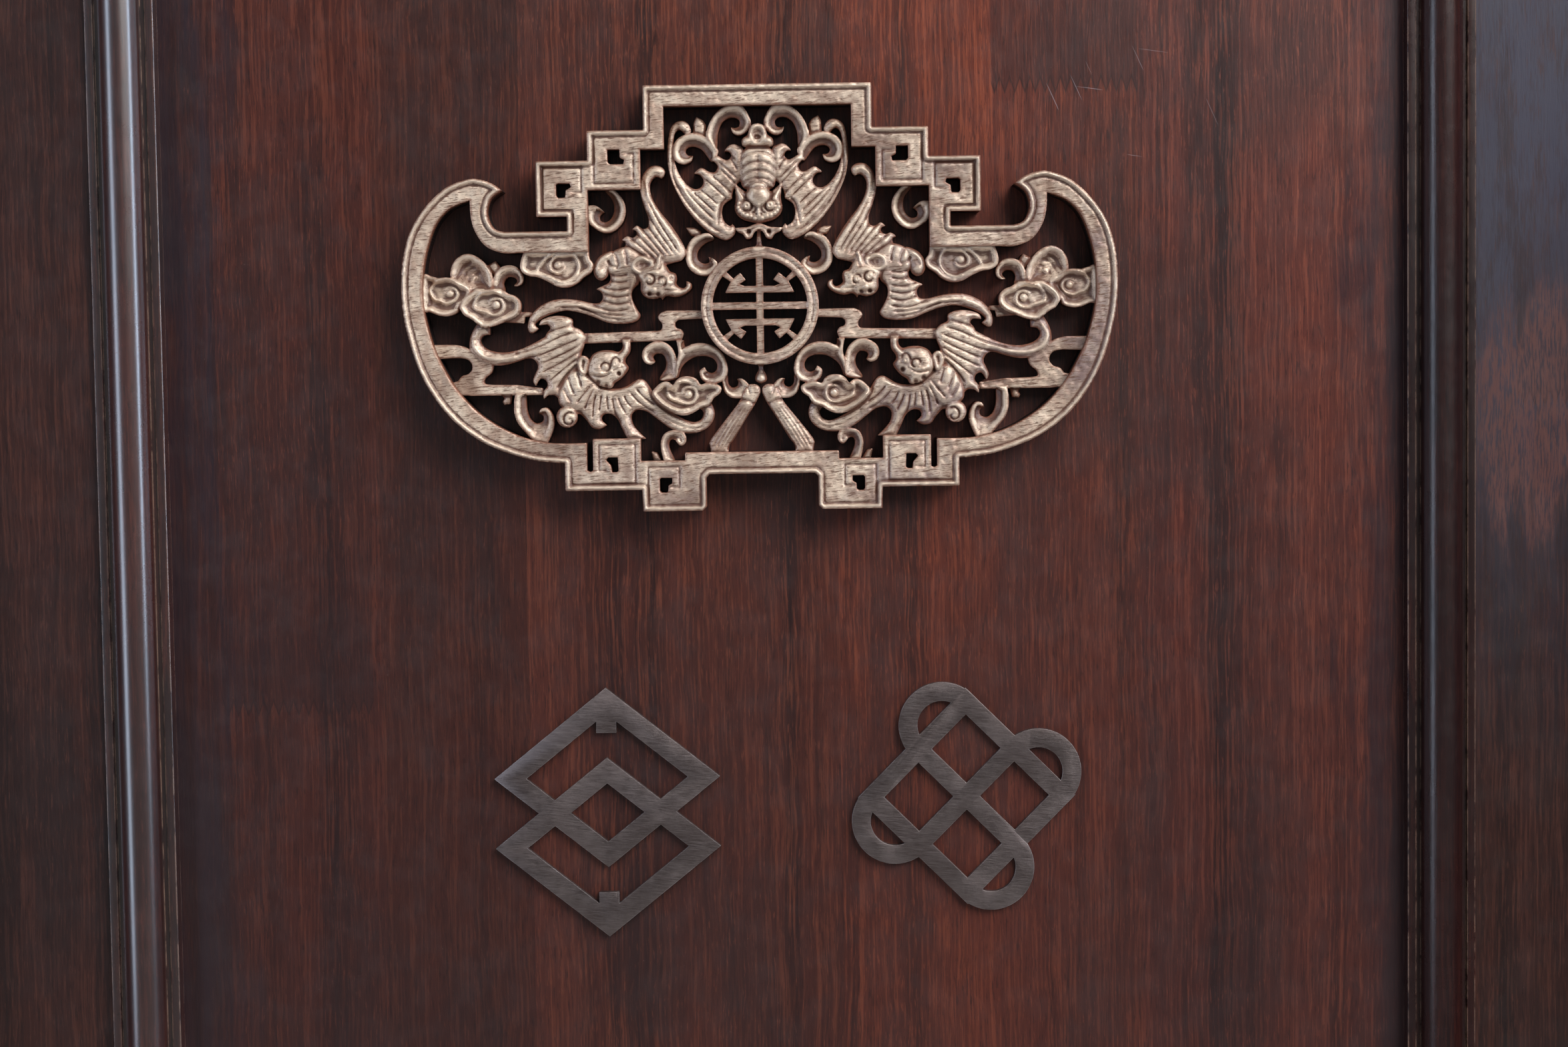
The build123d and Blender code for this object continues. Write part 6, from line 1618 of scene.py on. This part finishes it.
class Finishes:
    """Every finish of the door, made once."""

    def __init__(self) -> None:
        """Builds the materials."""
        dark, body, worn = tone(28, 17, 17), tone(56, 31, 27), tone(92, 54, 43)
        self.wood = lacquer_finish(Lacquer("lacquered_wood", body, worn, dark, stile_marks_and_sheen=True))
        self.cross_wood = lacquer_finish(Lacquer("lacquered_wood_across", body, worn, dark, 90.0))
        self.board = lacquer_finish(Lacquer("lacquered_board", tone(96, 51, 41), tone(154, 90, 66),
                                            tone(40, 22, 22), panel_marks_and_shade=True, edge_wear=0.2, cloud_share=0.5))
        bead = Lacquer("lacquered_moulding", tone(58, 28, 25), tone(90, 46, 37), tone(24, 13, 15),
                       roughness=0.3, edge_colour=tone(196, 160, 140), edge_wear=0.7, coat=1.0,
                       coat_ior=1.9, coat_roughness=0.27, painted_shade_right=True)
        self.moulding = lacquer_finish(bead)
        self.cross_moulding = lacquer_finish(replace(bead, name="lacquered_moulding_across", grain_turn=90.0))
        self.gilding = gilded_finish(Gilding())
        self.brushed = metal_finish(Metal("brushed_dark_metal", tone(98, 87, 85), tone(184, 174, 172),
                                          tone(84, 60, 52), brushed=0.18, rust_share=0.12, mottled=0.12,
                                          roughness=0.42, brush_turn=84.0))
        self.iron = metal_finish(Metal("dark_iron", tone(52, 47, 46), tone(104, 96, 92), tone(82, 46, 30),
                                       rust_share=0.45, roughness=0.44, hammer=1.0))
        self.hinge = metal_finish(Metal("hinge_steel", tone(112, 107, 102), tone(166, 160, 152),
                                        tone(112, 66, 42), brushed=0.3, rust_share=0.4))
        self.screw = metal_finish(Metal("screw_steel", tone(96, 92, 88), tone(160, 154, 146), tone(104, 60, 38),
                                        rust_share=0.5))


@dataclass(frozen=True)
class PlaqueSizes:
    """Where the plaque sits on the door and how finely its carving is laid out, in millimetres."""

    centre_x: float = -9.5
    centre_z: float = 1560.0
    panel_y: float = 7.75
    thickness: float = 17.5
    frame_step: float = 0.36
    carving_step: float = 0.32
    frame_height: float = 16.2
    roundel_radius: float = 23.0
    roundel_inner: float = 18.5
    roundel_height: float = 15.5
    bar_half: float = 1.4
    bar_height: float = 14.6
    link_height: float = 10.5
    frame_field: Field = (-141.0, 0.0, -81.4, 87.4)
    centre_field: Field = (-36.4, 0.0, -59.0, 79.6)
    side_field: Field = (-134.0, -2.6, -62.2, 57.0)
    bead_groove: float = 2.4
    roundel_score: float = 20.9
    past_centre: float = 3.0
    frame_seed: int = 3
    centre_seed: int = 5
    left_seed: int = 11
    right_seed: int = 23
    outer_edge_end: Point = (0, -65.4)
    bead_rise: float = 1.2
    bead_flank: Point = (1.3, 1.9)
    bead_shoulder: float = 0.6
    shoulder_fall: float = 0.7
    groove_rise: float = -0.6
    groove_width: float = 0.34
    band_rise: float = -0.12
    band_span: Point = (3.0, 6.0)
    frame_edge: float = 0.6
    frame_soften: float = 0.26
    fret_rise: float = -0.9
    fret_width: float = 0.5
    ring_section: Point = (1.0, 0.5)
    bar_section: Point = (0.9, 0.7)
    score_rise: float = -0.55
    score_width: float = 0.5
    circle_points: int = 48
    score_points: int = 40


class Plaque:
    """The openwork plaque, carved as height fields: its frame, the middle and the two mirrored sides."""

    def __init__(self, sizes: PlaqueSizes, finish: bpy.types.Material) -> None:
        """Keeps the sizes and the gilded finish.

        Args:
            sizes: the plaque's place and detail.
            finish: the gilded finish.
        """
        self.sizes = sizes
        self.finish = finish

    def place(self, side: int) -> Callable[[np.ndarray, np.ndarray, np.ndarray], np.ndarray]:
        """The step from carving millimetres to door metres; side is -1 for the mirrored half.

        Args:
            side: 1, or -1 for the mirrored half.

        Returns:
            The function that does the step.
        """
        sizes = self.sizes

        def move(x: np.ndarray, z: np.ndarray, height: np.ndarray) -> np.ndarray:
            """Does the step for arrays of points."""
            return MM * np.stack([sizes.centre_x + side * x, sizes.panel_y - height, sizes.centre_z + z], 1)
        return move

    def keep(self, piece: bpy.types.Object) -> bpy.types.Object:
        """Gives a finished relief its material, slot and body, shades it smooth and hides the solid of the carved
        plaque it stands for.

        Args:
            piece: the relief.

        Returns:
            The same object.
        """
        piece.data.materials.append(self.finish)
        smooth(piece, CARVED_ANGLE)
        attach(piece, "leaf")
        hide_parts("carved_plaque")
        log.info("%s: %d faces", piece.name, len(piece.data.polygons))
        return piece

    def circle(self, radius: float) -> list[Point]:
        """A circle round the roundel's centre."""
        turns = np.linspace(0, 2 * math.pi, self.sizes.circle_points, False)
        return [(radius * math.cos(a), radius * math.sin(a)) for a in turns]

    def over_centre(self, outline: Outline) -> list[tuple[float, ...]]:
        """An outline of a half, drawn on past the middle so that the mirrored halves join without a seam."""
        return [(self.sizes.past_centre if x == 0 else x, *rest) for x, *rest in outline]

    def frame(self) -> bpy.types.Object:
        """The fretted frame: flat band, raised bead along the outer edge and spiral grooves in the corners.

        Returns:
            The piece.
        """
        sizes = self.sizes
        relief = Relief(sizes.frame_step, *sizes.frame_field, edge_radius=sizes.frame_edge,
                        soften=sizes.frame_soften, seed=sizes.frame_seed)
        relief.add(Motif(self.over_centre(FRAME_TOP), sizes.frame_height, Section.FLAT))
        turn = next(i for i, p in enumerate(FRAME_TOP) if p[:2] == sizes.outer_edge_end)
        outer = smooth_line(FRAME_TOP[:turn + 1], LINE_STEP, closed=False)
        rows, columns, px, pz = relief.window(outer, sizes.band_span[1])
        gap = line_distance(px.ravel(), pz.ravel(), outer, False)[0].reshape(px.shape)
        shoulder = 1 - sizes.shoulder_fall * (1 - ease(0.0, sizes.bead_shoulder, gap))
        rim = sizes.bead_rise * (1 - ease(*sizes.bead_flank, gap)) * shoulder
        groove = sizes.groove_rise * np.exp(-((gap - sizes.bead_groove) / sizes.groove_width) ** 2)
        relief.height[rows, columns] += rim + groove + sizes.band_rise * ease(*sizes.band_span, gap)
        for hole in FRET_HOLES:
            relief.cut(hole)
        for line in FRET_LINES:
            relief.stroke(Stroke(sizes.fret_rise, sizes.fret_width, line))
        relief.finish(mirrored=True)
        return self.keep(relief.mesh("plaque_frame", self.place(1), sizes.thickness))

    def centre(self) -> bpy.types.Object:
        """The high bat, the scrolls round it, the roundel with its emblem and the ribbon.

        Returns:
            The piece.
        """
        sizes = self.sizes
        relief = Relief(sizes.carving_step, *sizes.centre_field, seed=sizes.centre_seed)
        for motif in MOTIFS_CENTRE:
            relief.add(replace(motif, outline=self.over_centre(motif.outline)))
        relief.add(Motif(self.circle(sizes.roundel_radius), sizes.roundel_height, Section.ROUND, *sizes.ring_section))
        relief.cut(self.circle(sizes.roundel_inner))
        long_bar, half = sizes.roundel_inner + 1, sizes.bar_half
        bars = [((-half, -long_bar, 1), (-half, long_bar, 1), (half, long_bar, 1), (half, -long_bar, 1)),
                ((-long_bar, -half, 1), (-long_bar, half, 1), (long_bar, half, 1), (long_bar, -half, 1))]
        shapes = [(bar, sizes.bar_height) for bar in bars]
        for flip in (1, -1):
            shapes.append((self.over_centre([(x, flip * z, 1) for x, z, *_ in EMBLEM_ARM]), sizes.bar_height))
            shapes.append(([(x, flip * z, 1) for x, z, *_ in EMBLEM_LINK], sizes.link_height))
        for outline, height in shapes:
            relief.add(Motif(outline, height, Section.ROUND, *sizes.bar_section))
        score = [(sizes.roundel_score * math.cos(a), sizes.roundel_score * math.sin(a))
                 for a in np.linspace(math.pi / 2, 3 * math.pi / 2, sizes.score_points)]
        relief.stroke(Stroke(sizes.score_rise, sizes.score_width, score))
        relief.detail(STROKES_CENTRE, BOSSES_CENTRE)
        relief.finish(mirrored=True)
        return self.keep(relief.mesh("plaque_centre", self.place(1), sizes.thickness))

    def flank(self, name: str, side: int, seed: int) -> bpy.types.Object:
        """One side of the carving: two bats, the clouds and the scrolls between them.

        Args:
            name: the piece's name.
            side: 1, or -1 for the mirrored side.
            seed: start of its tool marks.

        Returns:
            The piece.
        """
        sizes = self.sizes
        relief = Relief(sizes.carving_step, *sizes.side_field, seed=seed)
        for motif in MOTIFS_LEFT:
            relief.add(motif)
        relief.detail(STROKES_LEFT, BOSSES_LEFT)
        relief.finish(mirrored=False)
        piece = relief.mesh(name, self.place(side), sizes.thickness)
        outward(piece)
        return self.keep(piece)

    def build(self) -> None:
        """Makes the four carved pieces."""
        self.frame()
        self.centre()
        self.flank("plaque_left", 1, self.sizes.left_seed)
        self.flank("plaque_right", -1, self.sizes.right_seed)


CARVED_ANGLE = 38
CRISP_ANGLE = 32
ROUND_ANGLE = 60
SWEEP_ANGLE = 40
BEVEL_ANGLE = 35
SAME_PLACE = 0.00001


def placed(name: str, mesh: bpy.types.Mesh) -> bpy.types.Object:
    """Puts a mesh into the scene as an object at the origin.

    Args:
        name: name of the object.
        mesh: its mesh.

    Returns:
        The object.
    """
    piece = bpy.data.objects.new(name, mesh)
    bpy.context.scene.collection.objects.link(piece)
    return piece


def only(piece: bpy.types.Object) -> None:
    """Makes a piece the only selected one, and the active one.

    Args:
        piece: the object.
    """
    bpy.ops.object.select_all(action="DESELECT")
    piece.select_set(True)
    bpy.context.view_layer.objects.active = piece


def smooth(piece: bpy.types.Object, degrees: float) -> None:
    """Shades a piece smooth, with edges sharper than an angle kept crisp.

    Args:
        piece: the object.
        degrees: the greatest angle that is shaded smooth.
    """
    only(piece)
    bpy.ops.object.shade_smooth_by_angle(angle=math.radians(degrees))


def outward(piece: bpy.types.Object) -> None:
    """Turns the faces of a closed piece outward.

    Args:
        piece: the object.
    """
    work = bmesh.new()
    work.from_mesh(piece.data)
    bmesh.ops.recalc_face_normals(work, faces=work.faces)
    work.to_mesh(piece.data)
    work.free()


ARRIS_STEPS = (0, 0.35, 0.65, 1)


@dataclass(frozen=True)
class MouldingSizes:
    """The front moulding and the openings it runs round, in millimetres."""

    inner_half: float = 245.0
    face_y: float = 3.75
    width: float = 27.0
    fillet: float = 3.5
    rise: float = 3.0
    quirk: float = 2.0
    floor: float = 1.6
    recess: float = 4.0
    arris: float = 0.55
    bead_steps: int = 22
    pitch: float = 35.0
    uneven: float = 0.05
    seed: int = 41
    openings: tuple[tuple[str, float, float], ...] = (("lower", 293.5, 771.5), ("upper", 948.5, 1966.5))


class Mouldings:
    """The half-round mouldings planted round both panels, mitred at the corners."""

    def __init__(self, sizes: MouldingSizes, upright: bpy.types.Material, across: bpy.types.Material) -> None:
        """Keeps the sizes and the finishes.

        Args:
            sizes: the moulding's section and runs.
            upright: finish with the grain upright.
            across: finish with the grain level.
        """
        self.sizes = sizes
        self.upright = upright
        self.across = across
        self.draw = np.random.default_rng(sizes.seed)

    def section(self) -> list[Point]:
        """The profile from the panel edge outwards, with its arrises worn round.

        Returns:
            Distance from the inner edge and height above the frame, point by point.
        """
        s = self.sizes
        start = s.fillet + s.quirk
        radius = s.width / 2 - start
        bead = [(s.width / 2 - radius * math.cos(a), s.rise + radius * math.sin(a))
                for a in np.linspace(0, math.pi, s.bead_steps)]
        worn = [(0, s.rise), (s.fillet, s.rise), (s.width - s.fillet, s.rise), (s.width, s.rise)]
        points = [(0, -s.recess), worn[0], worn[1], (s.fillet, s.floor), (start, s.floor), *bead,
                  (s.width - start, s.floor), (s.width - s.fillet, s.floor), worn[2], worn[3], (s.width, 0),
                  (s.width / 2, 0), (s.width / 2, -s.recess)]
        result = []
        for i, here in enumerate(points):
            if here not in worn:
                result.append(here)
                continue
            before, after = points[i - 1], points[i + 1]
            reach_in = min(s.arris, math.dist(before, here) / 2) / math.dist(before, here)
            reach_out = min(s.arris, math.dist(after, here) / 2) / math.dist(after, here)
            first = [here[k] + reach_in * (before[k] - here[k]) for k in (0, 1)]
            last = [here[k] + reach_out * (after[k] - here[k]) for k in (0, 1)]
            for t in ARRIS_STEPS:
                result.append(tuple((1 - t)**2 * first[k] + 2 * t * (1 - t) * here[k] + t * t * last[k]
                                    for k in (0, 1)))
        return result

    def run(self, name: str, side: str, low: float, high: float) -> bpy.types.Object:
        """One mitred length.

        Args:
            name: the node it stands for.
            side: left, right, top or bottom.
            low: height of the opening's lower moulding edge.
            high: height of the opening's upper moulding edge.

        Returns:
            The piece.
        """
        s = self.sizes
        upright = side in ("left", "right")
        start, end = (low, high) if upright else (-s.inner_half, s.inner_half)
        count = max(2, round((end - start) / s.pitch))
        verts = []
        section = self.section()
        for k in range(count + 1):
            share = k / count
            wave = self.draw.normal(0, s.uneven, 2) if 0 < k < count else (0, 0)
            for a, h in section:
                along = start - a + share * (end - start + 2 * a)
                lift = h + (wave[0] if h > s.rise else 0)
                out = s.inner_half + a if upright else (high + a if side == "top" else low - a)
                y = s.face_y - lift
                if upright:
                    verts.append((out if side == "right" else -out, y, along))
                else:
                    verts.append((along, y, out))
        size = len(section)
        faces = [(k * size + i, k * size + (i + 1) % size, (k + 1) * size + (i + 1) % size, (k + 1) * size + i)
                 for k in range(count) for i in range(size)]
        faces += [tuple(range(size)), tuple(count * size + i for i in reversed(range(size)))]
        mesh = bpy.data.meshes.new(name + "_run")
        mesh.from_pydata([tuple(MM * c for c in v) for v in verts], [], faces)
        piece = placed(name + "_run", mesh)
        outward(piece)
        piece.data.materials.append(self.upright if upright else self.across)
        smooth(piece, CRISP_ANGLE)
        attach(piece, "leaf")
        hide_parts(name)
        return piece

    def build(self) -> None:
        """Makes the eight runs."""
        for opening, low, high in self.sizes.openings:
            for side in ("left", "right", "top", "bottom"):
                piece = self.run(f"{opening}_moulding_{side}", side, low, high)
                log.info("%s: %d faces", piece.name, len(piece.data.polygons))


@dataclass(frozen=True)
class BevelledPart:
    """A metal part rebuilt from its solid with softened edges."""

    node: str
    body: str
    slot: str
    finish: bpy.types.Material
    bevel: float
    steps: int = 3


@dataclass(frozen=True)
class RingSizes:
    """The pull's ring as it hangs, in millimetres."""

    centre: tuple[float, float, float] = (329.25, -17.25, 964.0)
    radius: float = 36.0
    wire: float = 5.0
    around: int = 128
    across: int = 32
    unevenness: tuple[tuple[float, int, float], ...] = ((0.012, 3, 1.0), (0.01, 11, 0.0))


class Fittings:
    """Metal fittings with softened edges: ornaments, the pull's rose, the knob of the bar, and the forged ring."""

    def __init__(self, finishes: Finishes) -> None:
        """Lists the parts that are rebuilt from their solids.

        Args:
            finishes: the finishes.
        """
        self.finishes = finishes
        self.parts = (
            BevelledPart("ornament_left", "leaf", "brushed_dark_metal", finishes.brushed, 0.45),
            BevelledPart("ornament_right", "leaf", "brushed_dark_metal", finishes.brushed, 0.45),
            BevelledPart("pull_rose", "leaf", "dark_iron", finishes.iron, 0.6),
            BevelledPart("bar_knob", "door_bar", "lacquered_wood", finishes.wood, 0.8),
            BevelledPart("door_bar", "door_bar", "lacquered_wood", finishes.cross_wood, 1.2),
        )

    def soften(self, part: BevelledPart) -> bpy.types.Object:
        """Copies a solid's mesh and bevels its edges.

        Args:
            part: what is rebuilt, and how.

        Returns:
            The piece.
        """
        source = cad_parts[part.node]
        mesh = source.data.copy()
        mesh.name = part.node + "_soft"
        mesh.transform(source.matrix_world)
        mesh.materials.clear()
        piece = placed(mesh.name, mesh)
        work = bmesh.new()
        work.from_mesh(mesh)
        bmesh.ops.remove_doubles(work, verts=work.verts, dist=SAME_PLACE)
        bmesh.ops.dissolve_limit(work, angle_limit=math.radians(1), verts=work.verts, edges=work.edges)
        work.to_mesh(mesh)
        work.free()
        bevel = piece.modifiers.new("soft edges", "BEVEL")
        bevel.width = part.bevel * MM
        bevel.segments = part.steps
        bevel.limit_method = "ANGLE"
        bevel.angle_limit = math.radians(BEVEL_ANGLE)
        bevel.use_clamp_overlap = True
        only(piece)
        bpy.ops.object.modifier_apply(modifier=bevel.name)
        outward(piece)
        piece.data.materials.append(part.finish)
        smooth(piece, CRISP_ANGLE)
        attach(piece, part.body)
        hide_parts(part.node)
        log.info("%s: %d faces", piece.name, len(piece.data.polygons))
        return piece

    def ring(self, sizes: RingSizes) -> bpy.types.Object:
        """The hanging ring: a torus drawn out by hand, a little uneven in its wire.

        Args:
            sizes: the ring's place and sizes.

        Returns:
            The piece.
        """
        bpy.ops.object.select_all(action="DESELECT")
        bpy.ops.mesh.primitive_torus_add(major_segments=sizes.around, minor_segments=sizes.across,
                                         major_radius=sizes.radius * MM, minor_radius=sizes.wire * MM)
        piece = bpy.context.active_object
        piece.name = piece.data.name = "pull_ring_forged"
        bpy.ops.object.mode_set(mode="EDIT")
        bpy.ops.mesh.select_all(action="SELECT")
        bpy.ops.transform.rotate(value=math.pi / 2, orient_axis="X", center_override=(0, 0, 0))
        bpy.ops.object.mode_set(mode="OBJECT")
        for vertex in piece.data.vertices:
            around = math.atan2(vertex.co.z, vertex.co.x)
            core = Vector((math.cos(around), 0, math.sin(around))) * sizes.radius * MM
            thin = 1 - sum(deep * (1 + math.sin(waves * around + start)) for deep, waves, start in sizes.unevenness)
            vertex.co = core + (vertex.co - core) * thin + Vector(sizes.centre) * MM
        piece.data.materials.append(self.finishes.iron)
        smooth(piece, ROUND_ANGLE)
        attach(piece, "pull_ring")
        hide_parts("pull_ring")
        log.info("%s: %d faces", piece.name, len(piece.data.polygons))
        return piece

    def build(self) -> None:
        """Makes the fittings."""
        for part in self.parts:
            self.soften(part)
        self.ring(RingSizes())


class Solids:
    """The solids that are shown as they are, each with a finish of its own kind."""

    def __init__(self, finishes: Finishes) -> None:
        """Sets which finish goes with which kind of node, the first match counting.

        Args:
            finishes: the finishes.
        """
        self.rules = (
            ("hinge_pins", finishes.hinge), ("_plate", finishes.hinge), ("screws", finishes.screw),
            ("nails", finishes.screw), ("_panel", finishes.board), ("bead_top", finishes.cross_moulding),
            ("bead_bottom", finishes.cross_moulding), ("bead", finishes.moulding),
            ("moulding_top", finishes.cross_moulding), ("moulding_bottom", finishes.cross_moulding),
            ("moulding", finishes.moulding), ("plaque", finishes.gilding), ("ornament", finishes.brushed),
            ("pull_", finishes.iron), ("rail", finishes.cross_wood), ("threshold", finishes.cross_wood),
            ("stop_head", finishes.cross_wood), ("door_bar", finishes.cross_wood), ("", finishes.wood),
        )

    def build(self) -> None:
        """Assigns a finish to every node."""
        for name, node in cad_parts.items():
            finish = next(material for key, material in self.rules if key in name)
            if not node.material_slots:
                node.data.materials.append(None)
            for slot in node.material_slots:
                slot.link = "OBJECT"
                slot.material = finish
            log.info("%s: %s", name, finish.name)


@dataclass(frozen=True)
class CameraSizes:
    """The view of the photograph: a close view of the plaque, slightly from above."""

    pitch: float = 3.37
    roll: float = -0.82
    focal_pixels: float = 4000.0
    width_pixels: float = 2349.0
    height_pixels: float = 1568.0
    sensor: float = 36.0
    pixels_per_mm: float = 3.85
    near: float = 0.05
    aim_pixel: Point = (1138.3, 457.5)
    aim: tuple[float, float, float] = (-9.5, -9.75, 1560.0)


@dataclass(frozen=True)
class Lamp:
    """A soft light: place and aim in metres, width and height in metres, power in watts."""

    name: str
    place: tuple[float, float, float]
    target: tuple[float, float, float]
    size: tuple[float, float]
    power: float
    colour: Colour


@dataclass(frozen=True)
class StageSizes:
    """The lamps, the air's grey, and the sweep of paper with the glow at its far end, in metres."""

    lamps: tuple[Lamp, ...] = (
        Lamp("key", (1.3, -1.5, 3.0), (0.0, 0.0, 1.5), (1.8, 1.8), 79.0, (1.0, 0.98, 0.97)),
        Lamp("sky", (2.3, -0.9, 1.8), (0.3, 0.0, 1.5), (0.35, 1.3), 18.5, (0.64, 0.79, 1.0)),
        Lamp("side", (-1.0, -0.6, 1.6), (-0.26, 0.0, 1.56), (0.34, 1.1), 5.4, (0.68, 0.8, 1.0)),
    )
    air: float = 0.16
    air_blue: float = 1.02
    paper: Colour = tone(216, 214, 210)
    paper_roughness: float = 0.85
    glow_colour: Colour = tone(250, 248, 245)
    sweep_half_width: float = 30.0
    sweep_outline: tuple[Point, ...] = ((-30.0, 0.0), (10.0, 0.0), (10.6, 0.1), (11.2, 0.4), (11.6, 0.9), (11.8, 1.6),
                                        (11.9, 2.6), (11.9, 9.0))
    glow: float = 0.42
    glow_from: float = 0.9
    glow_full: float = 7.0


class Studio:
    """Pale floor and backdrop, soft lights, and the camera."""

    def __init__(self, sizes: CameraSizes, stage: StageSizes) -> None:
        """Keeps the sizes.

        Args:
            sizes: those of the camera.
            stage: those of the lamps and the sweep.
        """
        self.sizes = sizes
        self.stage = stage

    def camera(self) -> None:
        """Places the camera from the pixel at which the roundel's centre is seen."""
        s = self.sizes
        pitch, roll = math.radians(s.pitch), math.radians(s.roll)
        ahead = Vector((0, math.cos(pitch), -math.sin(pitch)))
        flat_right, flat_up = Vector((1, 0, 0)), Vector((0, math.sin(pitch), math.cos(pitch)))
        right = flat_right * math.cos(roll) + flat_up * math.sin(roll)
        up = flat_up * math.cos(roll) - flat_right * math.sin(roll)
        distance = s.focal_pixels / s.pixels_per_mm
        across = (s.aim_pixel[0] - s.width_pixels / 2) / s.focal_pixels * distance
        above = -(s.aim_pixel[1] - s.height_pixels / 2) / s.focal_pixels * distance
        eye = Vector(s.aim) - (right * across + up * above + ahead * distance)
        data = bpy.data.cameras.new("camera")
        data.sensor_fit = "HORIZONTAL"
        data.sensor_width = s.sensor
        data.lens = s.focal_pixels * s.sensor / s.width_pixels
        data.clip_start = s.near
        data.dof.use_dof = False
        camera = bpy.data.objects.new("camera", data)
        turn = Matrix((right, up, -ahead)).transposed().to_4x4()
        camera.matrix_world = Matrix.Translation(eye * MM) @ turn
        bpy.context.scene.collection.objects.link(camera)
        bpy.context.scene.camera = camera

    def light(self, lamp: Lamp) -> None:
        """Adds one soft light, turned to its aim.

        Args:
            lamp: its place, aim, size, power and colour.
        """
        data = bpy.data.lights.new(lamp.name, "AREA")
        data.shape = "RECTANGLE"
        data.size, data.size_y = lamp.size
        data.energy = lamp.power
        data.color = lamp.colour
        light = bpy.data.objects.new(lamp.name, data)
        light.location = lamp.place
        light.rotation_euler = (Vector(lamp.target) - Vector(lamp.place)).to_track_quat("-Z", "Y").to_euler()
        light.visible_camera = False
        bpy.context.scene.collection.objects.link(light)

    def room(self) -> None:
        """A pale floor that runs up behind into a backdrop, with a painted glow towards its far end that only the
        camera and reflections see.
        """
        mesh = bpy.data.meshes.new("studio_sweep")
        stage = self.stage
        verts = [(x, y, z) for x in (-stage.sweep_half_width, stage.sweep_half_width) for y, z in stage.sweep_outline]
        size = len(stage.sweep_outline)
        mesh.from_pydata(verts, [], [(i + 1, i, size + i, size + i + 1) for i in range(size - 1)])
        sweep = placed("studio_sweep", mesh)
        shader = Shader("studio_paper")
        path = shader.nodes.new("ShaderNodeLightPath")
        seen = shader.math("MAXIMUM", path.outputs["Is Camera Ray"], path.outputs["Is Glossy Ray"])
        seen = shader.math("MAXIMUM", seen, path.outputs["Is Transmission Ray"])
        # Painted glow: the far paper emits light for camera, glossy and transmission rays only.
        far = shader.band(shader.axis(shader.place(), "Y"), stage.glow_from / MM, stage.glow_full / MM, 0.0, stage.glow)
        shader.set(Base_Color=stage.paper, Roughness=stage.paper_roughness)
        shader.set(Emission_Color=stage.glow_colour, Emission_Strength=shader.times(seen, far))
        mesh.materials.append(shader.material)
        smooth(sweep, SWEEP_ANGLE)

    def world(self) -> None:
        """An even grey surrounding."""
        grey = self.stage.air
        air = (grey, grey, grey * self.stage.air_blue, 1.0)
        world = bpy.data.worlds.new("studio_air")
        world.use_nodes = True
        world.node_tree.nodes["Background"].inputs["Color"].default_value = air
        bpy.context.scene.world = world

    def build(self) -> None:
        """Sets the stage."""
        self.room()
        self.world()
        for lamp in self.stage.lamps:
            self.light(lamp)
        self.camera()
        bpy.context.scene.view_settings.view_transform = "Standard"


def main() -> None:
    """Builds every piece, the finishes and the stage."""
    finishes = Finishes()
    Plaque(PlaqueSizes(), finishes.gilding).build()
    Mouldings(MouldingSizes(), finishes.moulding, finishes.cross_moulding).build()
    Fittings(finishes).build()
    Solids(finishes).build()
    Studio(CameraSizes(), StageSizes()).build()


if __name__ == "__main__":
    main()
